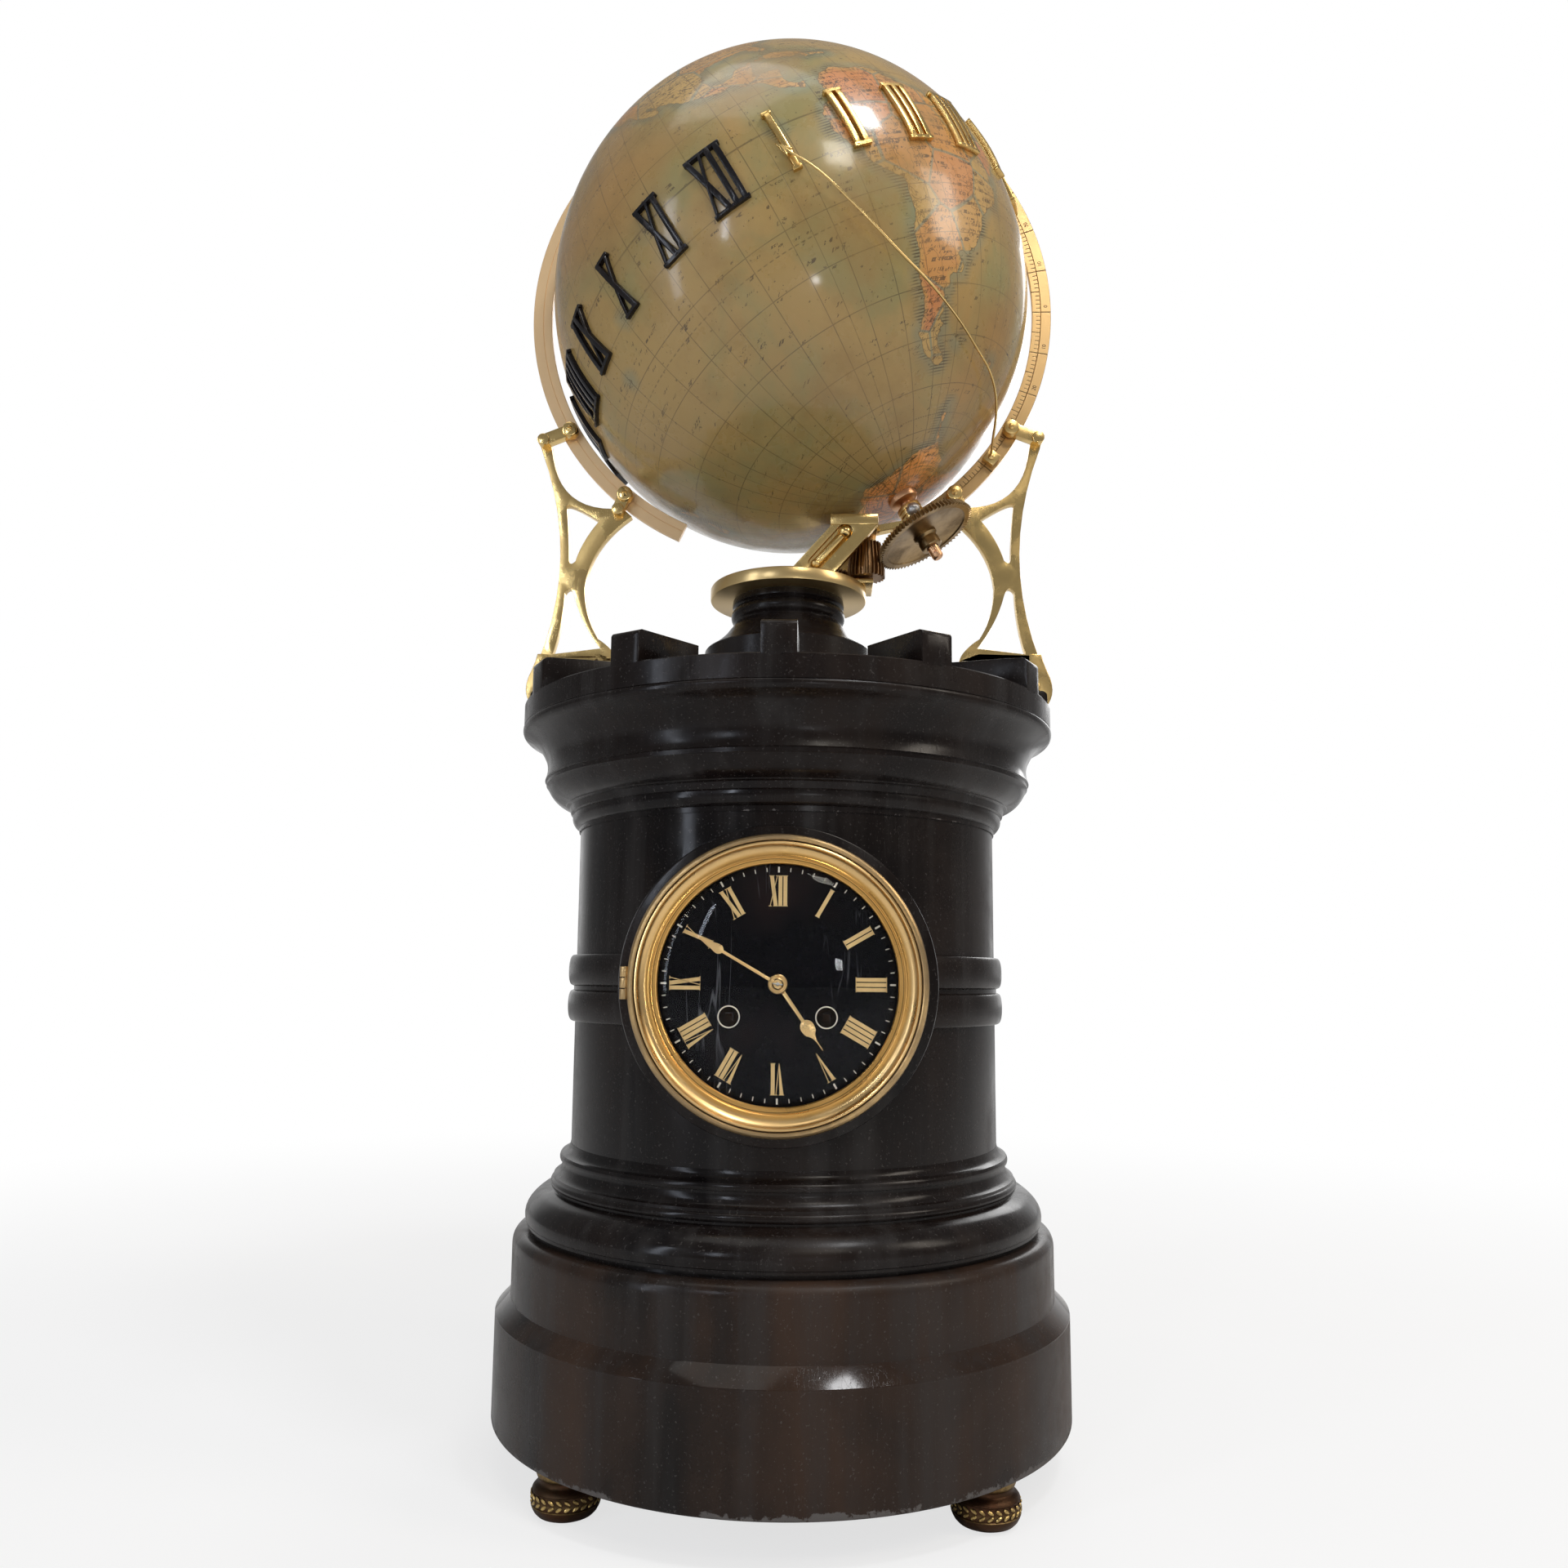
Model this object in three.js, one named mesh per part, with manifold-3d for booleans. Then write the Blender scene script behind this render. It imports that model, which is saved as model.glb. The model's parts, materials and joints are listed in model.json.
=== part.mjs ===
// A globe clock: a black slate tower with a striking movement and a dial carries a geared
// terrestrial globe, whose raised numerals pass a fixed pointer once in 24 hours.
// Millimetres, +Z up, the dial faces -Y. The origin is under the middle of the four feet.
import * as THREE from "three";
import { mergeVertices } from "three/addons/utils/BufferGeometryUtils.js";
import Module from "manifold-3d";

const wasm = await Module();
wasm.setup();

// Heights of the stacked pieces, from the feet up
const footHeight = 19.5;
const plinthHeight = 55.2;
const stepHeight = 30.3;
const mouldingHeight = 40;
const drumHeight = 154.3;
const corniceHeight = 52.2;
const crownFloorHeight = 11.5;
const merlonHeight = 14.5;
const pedestalHeight = 64.6;
const flangeThickness = 6.9;
const globeRise = 29.9;

// Radii of the stacked pieces
const footRadius = 15;
const footSpacing = 178;
const plinthRadius = 141;
const stepRadius = 134;
const mouldingRadius = 129.2;
const drumRadius = 107.2;
const corniceRadius = 137.7;
const crownRadius = 137.4;
const pedestalWall = 11.3;
const pinionOverhang = 1.1;

// Globe, its tilted axis, numerals, ring and drive
const globeRadius = 130;
const polarAxis = new THREE.Vector3(0.468, -0.123, -0.875).normalize();
const numeralHeight = 33;
const numeralRelief = 2.4;
const ringGap = 4.3;
const ringWidth = 10.5;
const ringOuterRadius = globeRadius + ringGap + ringWidth;
const ringThickness = 3;
const wheelRadius = 26;
const wheelThickness = 4;
const wheelDistance = 24;
const wheelTeeth = 72;
const pinionTeeth = 24;
const shaftTeeth = 24;
const polarArborRadius = 3;
const pinionPivotRadius = 1.5;
const shaftRadius = 2.5;

// Dial, bezel and movement
const dialHeightShare = 0.51;
const collarRadius = 69;
const collarProud = 3.3;
const collarFront = drumRadius + collarProud;
const bezelRadius = 64.6;
const bezelDepth = 7.5;
const glassRadius = 53.5;
const dialRadius = 56;
const dialThickness = 1.5;
const motionWorkDepth = 10;
const boreRadius = 52;
const windingSpacing = 41.5;
const windingDrop = 13.9;
const plateRadius = 45;
const plateThickness = 2.5;
const plateGap = 35;

// Clearances and fineness
const runningGap = 0.3;
const toothPlay = 0.3;
const overrun = 1;
const weld = 1e-4;
const stoneSides = 28;
const metalSides = 16;
const smallSides = 8;

// Levels that the stack gives
const plinthBottom = footHeight;
const stepBottom = plinthBottom + plinthHeight;
const mouldingBottom = stepBottom + stepHeight;
const drumBottom = mouldingBottom + mouldingHeight;
const corniceBottom = drumBottom + drumHeight;
const crownBottom = corniceBottom + corniceHeight;
const crownFloor = crownBottom + crownFloorHeight;
const flangeBottom = crownFloor + pedestalHeight;
const flangeTop = flangeBottom + flangeThickness;
const globeCentre = new THREE.Vector3(0, 0, flangeTop + globeRise + globeRadius);
const dialCentreHeight = drumBottom + drumHeight * dialHeightShare;
const dialFront = collarFront - dialThickness;
const frontPlateFront = dialFront - dialThickness - motionWorkDepth;
const backPlateFront = frontPlateFront - plateThickness - plateGap;

// The globe wheel and its pinion are a bevel pair: both cones meet at one point of the polar axis
const shaftAngle = polarAxis.angleTo(new THREE.Vector3(0, 0, -1));
const pinionConeAngle = Math.atan2(
  Math.sin(shaftAngle),
  wheelTeeth / pinionTeeth + Math.cos(shaftAngle),
);
const wheelConeAngle = shaftAngle - pinionConeAngle;
const wheelPlane = globeRadius + wheelDistance;
const coneDistance = wheelRadius / Math.sin(wheelConeAngle);
const apexDistance = wheelRadius / Math.tan(wheelConeAngle);
const apex = globeCentre.clone().addScaledVector(polarAxis, wheelPlane - apexDistance);
const pinionRadius = coneDistance * Math.sin(pinionConeAngle);
const pinionLevel = apex.z - coneDistance * Math.cos(pinionConeAngle);
const driveDirection = new THREE.Vector3(apex.x, apex.y, 0).normalize();
const driveAzimuth = Math.atan2(driveDirection.y, driveDirection.x);
const pinionReach = Math.hypot(apex.x, apex.y);
const spurRise = 3.5;
const spurHeight = 4;
const spurBottom = flangeTop + spurRise;
const spurTop = spurBottom + spurHeight;
const spurRadius = (pinionRadius * (apex.z - spurTop)) / (apex.z - pinionLevel);
const shaftGearRadius = (spurRadius * shaftTeeth) / pinionTeeth;
const shaftReach = pinionReach - spurRadius - shaftGearRadius;
const shaftPlace = driveDirection.clone().multiplyScalar(shaftReach);

// The pedestal carries the shaft inside it, and its flange reaches out under the pinion
const pedestalRadius = shaftReach + pedestalWall;
const flangeRadius = pinionReach - pinionOverhang;

// Materials
const slate = { color: 0x17130f, roughness: 0.18, metalness: 0 };
const brass = { color: 0xc9993f, roughness: 0.25, metalness: 1 };
const darkBrass = { color: 0x6b4f2a, roughness: 0.4, metalness: 1 };
const gilt = { color: 0xd8a848, roughness: 0.3, metalness: 1 };
const steel = { color: 0x8a8f96, roughness: 0.3, metalness: 1 };
const mapPaper = { color: 0xa59062, roughness: 0.3, metalness: 0 };
const blackGloss = { color: 0x0b0b10, roughness: 0.15, metalness: 0 };
const clearGlass = { color: 0xeef4f4, roughness: 0.02, metalness: 0, transparent: true, opacity: 0.2 };

const globeClock = new THREE.Group();

// The closed solid that a geometry bounds.
function solidOf(geometry) {
  const bare = geometry.index ? geometry.toNonIndexed() : geometry.clone();
  bare.deleteAttribute("normal");
  bare.deleteAttribute("uv");
  const merged = mergeVertices(bare, weld);
  return new wasm.Manifold(
    new wasm.Mesh({
      numProp: 3,
      vertProperties: merged.attributes.position.array,
      triVerts: new Uint32Array(merged.index.array),
    }),
  );
}

// The geometry of a joined or cut solid.
function geometryOf(solid) {
  const mesh = solid.getMesh();
  const geometry = new THREE.BufferGeometry();
  geometry.setAttribute("position", new THREE.BufferAttribute(mesh.vertProperties, 3));
  geometry.setIndex(new THREE.BufferAttribute(mesh.triVerts, 1));
  return geometry;
}

function joined(...geometries) {
  return geometryOf(geometries.map(solidOf).reduce((whole, next) => whole.add(next)));
}

function cut(geometry, ...cutters) {
  return geometryOf(cutters.map(solidOf).reduce((whole, next) => whole.subtract(next), solidOf(geometry)));
}

function addPiece(name, geometry, look) {
  const mesh = new THREE.Mesh(geometry, new THREE.MeshStandardMaterial(look));
  mesh.name = name;
  globeClock.add(mesh);
}

// A profile drawn in shares, [radius share, height share], stretched over real sizes.
function stretched(path, curveSteps, innerRadius, outerRadius, bottom, height) {
  return path
    .getPoints(curveSteps)
    .map((p) => new THREE.Vector2(innerRadius + p.x * (outerRadius - innerRadius), bottom + p.y * height));
}

// Turned about Z. The profile runs from the axis at the bottom to the axis at the top.
function turned(profile, sides) {
  return new THREE.LatheGeometry(profile, sides).rotateX(Math.PI / 2);
}

function closedToAxis(profile) {
  const first = profile[0];
  const last = profile[profile.length - 1];
  return [new THREE.Vector2(0, first.y), ...profile, new THREE.Vector2(0, last.y)];
}

// Turned about a line along Y through the middle of the dial.
function turnedOnDialAxis(profile, sides) {
  return new THREE.LatheGeometry(profile, sides).translate(0, 0, dialCentreHeight);
}

function upright(x, y, radius, bottom, top, sides) {
  return new THREE.CylinderGeometry(radius, radius, top - bottom, sides)
    .rotateX(Math.PI / 2)
    .translate(x, y, (bottom + top) / 2);
}

// A rod along Y between two depths in front of the tower's axis.
function frontRod(x, z, radius, front, back, sides) {
  return new THREE.CylinderGeometry(radius, radius, front - back, sides).translate(x, -(front + back) / 2, z);
}

function box(left, right, front, back, bottom, top) {
  return new THREE.BoxGeometry(right - left, back - front, top - bottom).translate(
    (left + right) / 2,
    (front + back) / 2,
    (bottom + top) / 2,
  );
}

// A flat plate drawn in X and Z, from its front at frontY back by its thickness.
function standingPlate(shape, frontY, thickness, curveSegments = smallSides) {
  return new THREE.ExtrudeGeometry(shape, { depth: thickness, bevelEnabled: false, curveSegments })
    .rotateX(Math.PI / 2)
    .translate(0, frontY + thickness, 0);
}

function polygon(points) {
  return new THREE.Shape(points.map(([x, z]) => new THREE.Vector2(x, z)));
}

// A toothed outline with straight-sided teeth, each thinner than its gap by twice the play.
function toothedOutline(teeth, pitchRadius, play, phase) {
  const module = (2 * pitchRadius) / teeth;
  const tipRadius = pitchRadius + module;
  const rootRadius = pitchRadius - module * 1.25;
  const halfTooth = Math.PI / teeth / 2 - play / pitchRadius / 2;
  const tipShare = 0.55;
  const rootShare = 1.5;
  const points = [];
  for (let k = 0; k < teeth; k++) {
    const middle = phase + (k * 2 * Math.PI) / teeth;
    points.push(atAngle(rootRadius, middle - halfTooth * rootShare));
    points.push(atAngle(tipRadius, middle - halfTooth * tipShare));
    points.push(atAngle(tipRadius, middle + halfTooth * tipShare));
    points.push(atAngle(rootRadius, middle + halfTooth * rootShare));
  }
  return new THREE.Shape(points);
}

function atAngle(radius, angle) {
  return new THREE.Vector2(radius * Math.cos(angle), radius * Math.sin(angle));
}

// A toothed ring: straight teeth up to one height, and from there teeth that run towards an apex.
function bevelTeeth(outline, straightHeight, height, apexHeight) {
  const steps = straightHeight > 0 ? 2 : 1;
  const geometry = new THREE.ExtrudeGeometry(outline, { depth: steps, steps, bevelEnabled: false });
  const levels = straightHeight > 0 ? [0, straightHeight, height] : [0, height];
  const position = geometry.attributes.position;
  for (let i = 0; i < position.count; i++) {
    const level = levels[Math.round(position.getZ(i))];
    const scale = level > straightHeight ? (apexHeight - level) / (apexHeight - straightHeight) : 1;
    position.setXYZ(i, position.getX(i) * scale, position.getY(i) * scale, level);
  }
  return geometry;
}

// Four bun feet under the plinth
function buildFeet() {
  const soleShare = 0.66;
  const footSides = 12;
  const bun = new THREE.Path()
    .moveTo(soleShare, 0)
    .quadraticCurveTo(1, 0.02, 1, 0.3)
    .quadraticCurveTo(1, 0.56, 0.82, 0.66)
    .lineTo(0.76, 0.8)
    .lineTo(0.86, 1);
  const places = { front_left: [-1, -1], front_right: [1, -1], rear_left: [-1, 1], rear_right: [1, 1] };
  for (const [place, [side, depth]] of Object.entries(places)) {
    const foot = turned(closedToAxis(stretched(bun, 2, 0, footRadius, 0, footHeight)), footSides);
    foot.translate((side * footSpacing) / 2, (depth * footSpacing) / 2, 0);
    addPiece("foot_" + place, foot, darkBrass);
  }
}

// The round slate slabs at the bottom
function buildBase() {
  const chamfer = 6.8;
  const plinth = [
    new THREE.Vector2(plinthRadius, plinthBottom),
    new THREE.Vector2(plinthRadius, stepBottom - chamfer),
    new THREE.Vector2(plinthRadius - chamfer, stepBottom),
  ];
  addPiece("plinth", turned(closedToAxis(plinth), stoneSides), slate);

  const step = new THREE.Path()
    .moveTo(1, 0)
    .lineTo(0.998, 0.78)
    .quadraticCurveTo(0.995, 1, 0.963, 1);
  addPiece(
    "base_step",
    turned(closedToAxis(stretched(step, 3, 0, stepRadius, stepBottom, stepHeight)), stoneSides),
    slate,
  );

  const ovolo = new THREE.Path()
    .moveTo(0.8, 0)
    .lineTo(0.8, 0.06)
    .lineTo(0.93, 0.1)
    .quadraticCurveTo(1.06, 0.3, 0.62, 0.46)
    .lineTo(0.36, 0.5)
    .lineTo(0.43, 0.57)
    .lineTo(0.36, 0.63)
    .quadraticCurveTo(0.13, 0.7, 0.17, 0.79)
    .quadraticCurveTo(0.24, 0.85, 0.15, 0.92)
    .lineTo(0.01, 0.97)
    .lineTo(0.01, 1);
  const rings = stretched(ovolo, 2, drumRadius, mouldingRadius, mouldingBottom, mouldingHeight);
  addPiece("base_moulding", turned(closedToAxis(rings), stoneSides), slate);
}

// The tower's drum: two half-round bands, flat collars for the dial and the rear door, the bore
// for the movement and the slot in which the pendulum swings
const rearCollarRadius = 62;
const rearCollarProud = 2.3;
const rearCollarBack = drumRadius + rearCollarProud;
const bobRadius = 14;
const bobDrop = 99;
const suspensionHeight = dialCentreHeight + plateRadius * 0.86;
const pendulumGap = 8;
const pendulumDepth = backPlateFront - plateThickness - pendulumGap;

function buildDrum() {
  const bandHeight = 16.4;
  const bandProud = 3.8;
  const bandDrop = 3;
  const bandMiddle = dialCentreHeight - bandDrop;
  const bandPath = new THREE.Path()
    .moveTo(0, -1)
    .quadraticCurveTo(1, -0.95, 1, -0.5)
    .quadraticCurveTo(1, -0.05, 0.35, 0)
    .quadraticCurveTo(1, 0.05, 1, 0.5)
    .quadraticCurveTo(1, 0.95, 0, 1);
  const wall = [
    new THREE.Vector2(drumRadius, drumBottom),
    ...stretched(bandPath, 2, drumRadius, drumRadius + bandProud, bandMiddle, bandHeight),
    new THREE.Vector2(drumRadius, corniceBottom),
  ];
  const frontCollar = frontRod(0, dialCentreHeight, collarRadius, collarFront, 0, stoneSides);
  const rearCollar = frontRod(0, dialCentreHeight, rearCollarRadius, 0, -rearCollarBack, stoneSides);
  const body = joined(turned(closedToAxis(wall), stoneSides), frontCollar, rearCollar);
  const facingDepth = bandProud * 2;
  const frontFacing = frontRod(
    0,
    dialCentreHeight,
    collarRadius,
    collarFront + facingDepth,
    collarFront,
    stoneSides,
  );
  const rearFacing = frontRod(
    0,
    dialCentreHeight,
    rearCollarRadius,
    -rearCollarBack,
    -rearCollarBack - facingDepth,
    stoneSides,
  );
  const bore = frontRod(
    0,
    dialCentreHeight,
    boreRadius,
    collarFront + overrun,
    -rearCollarBack - overrun,
    stoneSides,
  );
  const dialSeat = frontRod(
    0,
    dialCentreHeight,
    dialRadius + runningGap,
    collarFront + overrun,
    dialFront - dialThickness - runningGap,
    stoneSides,
  );
  const slotHalf = bobRadius * 1.6;
  const slotDepthHalf = bobRadius * 0.6;
  const pendulumSlot = box(
    -slotHalf,
    slotHalf,
    -pendulumDepth - slotDepthHalf,
    -pendulumDepth + slotDepthHalf,
    drumBottom - overrun,
    dialCentreHeight,
  );
  const shaftHole = shaftBore(dialCentreHeight, crownBottom);
  const drum = cut(body, frontFacing, rearFacing, bore, dialSeat, pendulumSlot, shaftHole);
  addPiece("tower_drum", drum, slate);
}

// The hole that the vertical drive shaft runs through, with air around it
function shaftBore(bottom, top) {
  const air = 2;
  return upright(shaftPlace.x, shaftPlace.y, shaftRadius + air, bottom - overrun, top + overrun, smallSides);
}

function shaftBearing(bottom, top) {
  return upright(
    shaftPlace.x,
    shaftPlace.y,
    shaftRadius + runningGap,
    bottom - overrun,
    top + overrun,
    smallSides,
  );
}

function buildCornice() {
  const path = new THREE.Path()
    .moveTo(0, 0)
    .lineTo(0.03, 0.045)
    .quadraticCurveTo(0.15, 0.1, 0.14, 0.17)
    .lineTo(0.2, 0.245)
    .lineTo(0.26, 0.25)
    .quadraticCurveTo(0.44, 0.35, 0.57, 0.44)
    .lineTo(0.59, 0.51)
    .quadraticCurveTo(0.53, 0.64, 0.64, 0.76)
    .quadraticCurveTo(0.74, 0.87, 0.97, 0.93)
    .quadraticCurveTo(1.02, 0.97, 0.99, 1);
  const profile = stretched(path, 2, drumRadius, corniceRadius, corniceBottom, corniceHeight);
  const bore = shaftBore(corniceBottom, crownBottom);
  addPiece("cornice", cut(turned(closedToAxis(profile), stoneSides), bore), slate);
}

// The battlement: a floor disc with twelve merlons whose tops rise inwards
const merlonCount = 12;
const merlonWidth = 15.6;
const merlonLength = 45;
const merlonRise = 3.1;
const merlonTop = crownFloor + merlonHeight;

function buildBattlement() {
  const floor = upright(0, 0, crownRadius, crownBottom, crownFloor, stoneSides);
  const inner = crownRadius - merlonLength;
  const ring = turned(
    [
      new THREE.Vector2(inner, crownBottom + overrun),
      new THREE.Vector2(crownRadius, crownBottom + overrun),
      new THREE.Vector2(crownRadius, merlonTop),
      new THREE.Vector2(inner, merlonTop + merlonRise),
      new THREE.Vector2(inner, crownBottom + overrun),
    ],
    stoneSides,
  );
  let spokes = null;
  for (let k = 0; k < merlonCount / 2; k++) {
    const spoke = new THREE.BoxGeometry(merlonWidth, crownRadius * 2 + overrun, pedestalHeight * 2)
      .rotateZ((k * 2 * Math.PI) / merlonCount)
      .translate(0, 0, crownFloor);
    spokes = spokes ? spokes.add(solidOf(spoke)) : solidOf(spoke);
  }
  const merlons = solidOf(ring).intersect(spokes);
  const crown = geometryOf(solidOf(floor).add(merlons));
  addPiece("battlement", cut(crown, shaftBearing(crownBottom, crownFloor)), slate);
}

function buildPedestal() {
  const path = new THREE.Path()
    .moveTo(1, 0)
    .lineTo(1, 0.56)
    .quadraticCurveTo(0.995, 0.66, 0.955, 0.77)
    .lineTo(0.9, 0.86)
    .quadraticCurveTo(0.955, 0.885, 0.91, 0.91)
    .quadraticCurveTo(0.955, 0.93, 0.9, 0.95)
    .lineTo(0.865, 0.96)
    .lineTo(0.865, 1);
  const profile = stretched(path, 2, 0, pedestalRadius, crownFloor, pedestalHeight);
  const bore = shaftBore(crownFloor, flangeBottom);
  addPiece("pedestal", cut(turned(closedToAxis(profile), metalSides + smallSides), bore), slate);

  const disc = upright(0, 0, flangeRadius, flangeBottom, flangeTop, stoneSides);
  addPiece("pedestal_flange", cut(disc, shaftBearing(flangeBottom, flangeTop)), brass);
}

// Dial plate, on three feet that stand on the movement
function buildDial() {
  const back = dialFront - dialThickness;
  const arborHoleRadius = 4;
  const windingHoleRadius = 4.35;
  const holes = [
    [0, 0, arborHoleRadius],
    [-windingSpacing / 2, -windingDrop, windingHoleRadius],
    [windingSpacing / 2, -windingDrop, windingHoleRadius],
  ].map(([x, z, radius]) =>
    frontRod(x, dialCentreHeight + z, radius, dialFront + overrun, back - overrun, metalSides),
  );
  const plate = cut(frontRod(0, dialCentreHeight, dialRadius, dialFront, back, stoneSides), ...holes);
  const footPostRadius = 1.6;
  const footCircle = plateRadius * 0.84;
  const posts = [0, 1, 2].map((k) => {
    const angle = Math.PI / 2 + (k * 2 * Math.PI) / 3;
    return frontRod(
      footCircle * Math.cos(angle),
      dialCentreHeight + footCircle * Math.sin(angle),
      footPostRadius,
      dialFront - dialThickness / 2,
      frontPlateFront,
      smallSides,
    );
  });
  addPiece("dial", joined(plate, ...posts), blackGloss);
}

// The bezel and its convex glass, hinged at the left of the dial
function buildBezel() {
  const rebate = 2;
  const back = -collarFront;
  const front = back - bezelDepth;
  const section = [
    [glassRadius - rebate, back - bezelDepth * 0.45],
    [glassRadius + rebate, back - bezelDepth * 0.92],
    [(glassRadius + bezelRadius) / 2, back - bezelDepth * 0.72],
    [bezelRadius - rebate, front],
    [bezelRadius, back - bezelDepth * 0.8],
    [bezelRadius, back],
    [glassRadius + runningGap, back],
    [glassRadius + runningGap, back - bezelDepth * 0.3],
    [glassRadius - rebate, back - bezelDepth * 0.3],
    [glassRadius - rebate, back - bezelDepth * 0.45],
  ].map(([radius, y]) => new THREE.Vector2(radius, y));
  const ring = turnedOnDialAxis(section, stoneSides);
  const lugRadius = 2;
  const lugHalf = 7;
  const lugX = -(bezelRadius + lugRadius * 0.6);
  const lug = upright(
    lugX,
    back - lugRadius - runningGap * 2,
    lugRadius,
    dialCentreHeight - lugHalf,
    dialCentreHeight + lugHalf,
    smallSides,
  );
  addPiece("bezel", joined(ring, lug), gilt);

  const glassThickness = 1.6;
  const rise = bezelDepth * 0.93;
  const seat = back - bezelDepth * 0.3 + runningGap;
  const outer = new THREE.Path().moveTo(1, 0).lineTo(0.955, 0).quadraticCurveTo(0.72, 1, 0, 1);
  const steps = 4;
  const outside = outer
    .getPoints(steps)
    .map((p) => new THREE.Vector2(p.x * glassRadius, seat - p.y * rise));
  const inside = outer
    .getPoints(steps)
    .map((p) => new THREE.Vector2(p.x * glassRadius, seat + glassThickness - p.y * rise));
  addPiece("dial_glass", turnedOnDialAxis([...outside.reverse(), ...inside], stoneSides), clearGlass);
}

// The hands, each a tapered blade with a teardrop and a collet
const handThickness = 0.7;
const handGap = 0.5;
const hourHandBack = dialFront + handGap;
const minuteHandBack = hourHandBack + handThickness + handGap;
const handArborRadius = 2;

function handShape({ length, teardropPlace, teardropHalf }, rootHalf, colletRadius) {
  const shape = new THREE.Shape();
  const tipHalf = rootHalf * 0.35;
  shape.moveTo(-rootHalf, colletRadius * 0.8);
  shape.lineTo(-rootHalf * 0.6, teardropPlace - teardropHalf * 2);
  shape.quadraticCurveTo(-teardropHalf * 1.6, teardropPlace, -tipHalf, teardropPlace + teardropHalf * 2);
  shape.lineTo(0, length);
  shape.lineTo(tipHalf, teardropPlace + teardropHalf * 2);
  shape.quadraticCurveTo(teardropHalf * 1.6, teardropPlace, rootHalf * 0.6, teardropPlace - teardropHalf * 2);
  shape.lineTo(rootHalf, colletRadius * 0.8);
  return shape;
}

function buildHand(name, outline, back, boreSize, clockAngle) {
  const colletRadius = 4.2;
  const rootHalf = 0.9;
  const shape = handShape(outline, rootHalf, colletRadius);
  const curveSteps = 5;
  const blade = standingPlate(shape, -back - handThickness, handThickness, curveSteps);
  const collet = frontRod(0, 0, colletRadius, back + handThickness, back, metalSides);
  const bore = frontRod(0, 0, boreSize, back + handThickness + overrun, back - overrun, smallSides);
  const hand = cut(joined(blade, collet), bore).rotateY(clockAngle);
  addPiece(name, hand.translate(0, 0, dialCentreHeight), gilt);
}

function buildHands() {
  const minuteLength = 44.5;
  const minuteTeardrop = 31;
  const minuteTeardropHalf = 1.9;
  const hourLength = 33;
  const hourTeardrop = 22.7;
  const hourTeardropHalf = 2.6;
  const minutes = 50;
  const hours = 4 + minutes / 60;
  const boreSize = handArborRadius + runningGap;
  const minuteAngle = (minutes / 60) * Math.PI * 2;
  const hourAngle = (hours / 12) * Math.PI * 2;
  const minuteHand = {
    length: minuteLength,
    teardropPlace: minuteTeardrop,
    teardropHalf: minuteTeardropHalf,
  };
  const hourHand = { length: hourLength, teardropPlace: hourTeardrop, teardropHalf: hourTeardropHalf };
  buildHand("minute_hand", minuteHand, minuteHandBack, boreSize, minuteAngle);
  buildHand("hour_hand", hourHand, hourHandBack, boreSize, hourAngle);
}

// The movement: two round plates on pillars, two barrels, the centre arbor, pendulum and bell
const barrelRadius = 17;
const pivotRadius = 1.6;
const suspensionPinRadius = 1;

function movementPlate(front) {
  return frontRod(0, dialCentreHeight, plateRadius, front, front - plateThickness, metalSides + smallSides);
}

function pivotHole(x, z, radius, front) {
  return frontRod(x, z, radius + runningGap, front + overrun, front - plateThickness - overrun, smallSides);
}

function movementPivotHoles(front) {
  const z = dialCentreHeight;
  return [
    pivotHole(0, z, handArborRadius, front),
    pivotHole(-windingSpacing / 2, z - windingDrop, pivotRadius, front),
    pivotHole(windingSpacing / 2, z - windingDrop, pivotRadius, front),
  ];
}

function buildPlates() {
  const front = cut(movementPlate(frontPlateFront), ...movementPivotHoles(frontPlateFront));
  addPiece("front_plate", front, brass);

  const pillarRadius = 3;
  const pillarCircle = plateRadius - pillarRadius * 2;
  const pillarAngles = [12, 90, 168, 270].map(THREE.MathUtils.degToRad);
  const pillars = pillarAngles.map((angle) =>
    frontRod(
      pillarCircle * Math.cos(angle),
      dialCentreHeight + pillarCircle * Math.sin(angle),
      pillarRadius,
      frontPlateFront - plateThickness,
      backPlateFront - plateThickness / 2,
      smallSides,
    ),
  );
  const suspensionPin = frontRod(
    0,
    suspensionHeight,
    suspensionPinRadius,
    backPlateFront - plateThickness / 2,
    pendulumDepth - barrelRadius / 6,
    smallSides,
  );
  const back = joined(movementPlate(backPlateFront), ...pillars, suspensionPin);
  addPiece("back_plate", cut(back, ...movementPivotHoles(backPlateFront)), brass);
}

function buildBarrel(name, side) {
  const x = (side * windingSpacing) / 2;
  const z = dialCentreHeight - windingDrop;
  const inside = frontPlateFront - plateThickness;
  const endPlay = 2;
  const rimThickness = 2.5;
  const drumFront = inside - endPlay;
  const drumBack = backPlateFront + endPlay * 2;
  const squareSize = pivotRadius * 1.9;
  const squareFront = dialFront - dialThickness;
  const squareLength = squareFront - frontPlateFront - runningGap;
  const square = new THREE.BoxGeometry(squareSize, squareLength, squareSize).translate(
    x,
    -(squareFront - squareLength / 2),
    z,
  );
  const barrel = joined(
    frontRod(x, z, barrelRadius, drumFront, drumBack, metalSides),
    frontRod(x, z, barrelRadius + endPlay, drumBack + rimThickness, drumBack, metalSides),
    frontRod(x, z, pivotRadius, squareFront - squareLength / 2, backPlateFront - plateThickness, smallSides),
    square,
  );
  addPiece(name, barrel, brass);
}

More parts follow.
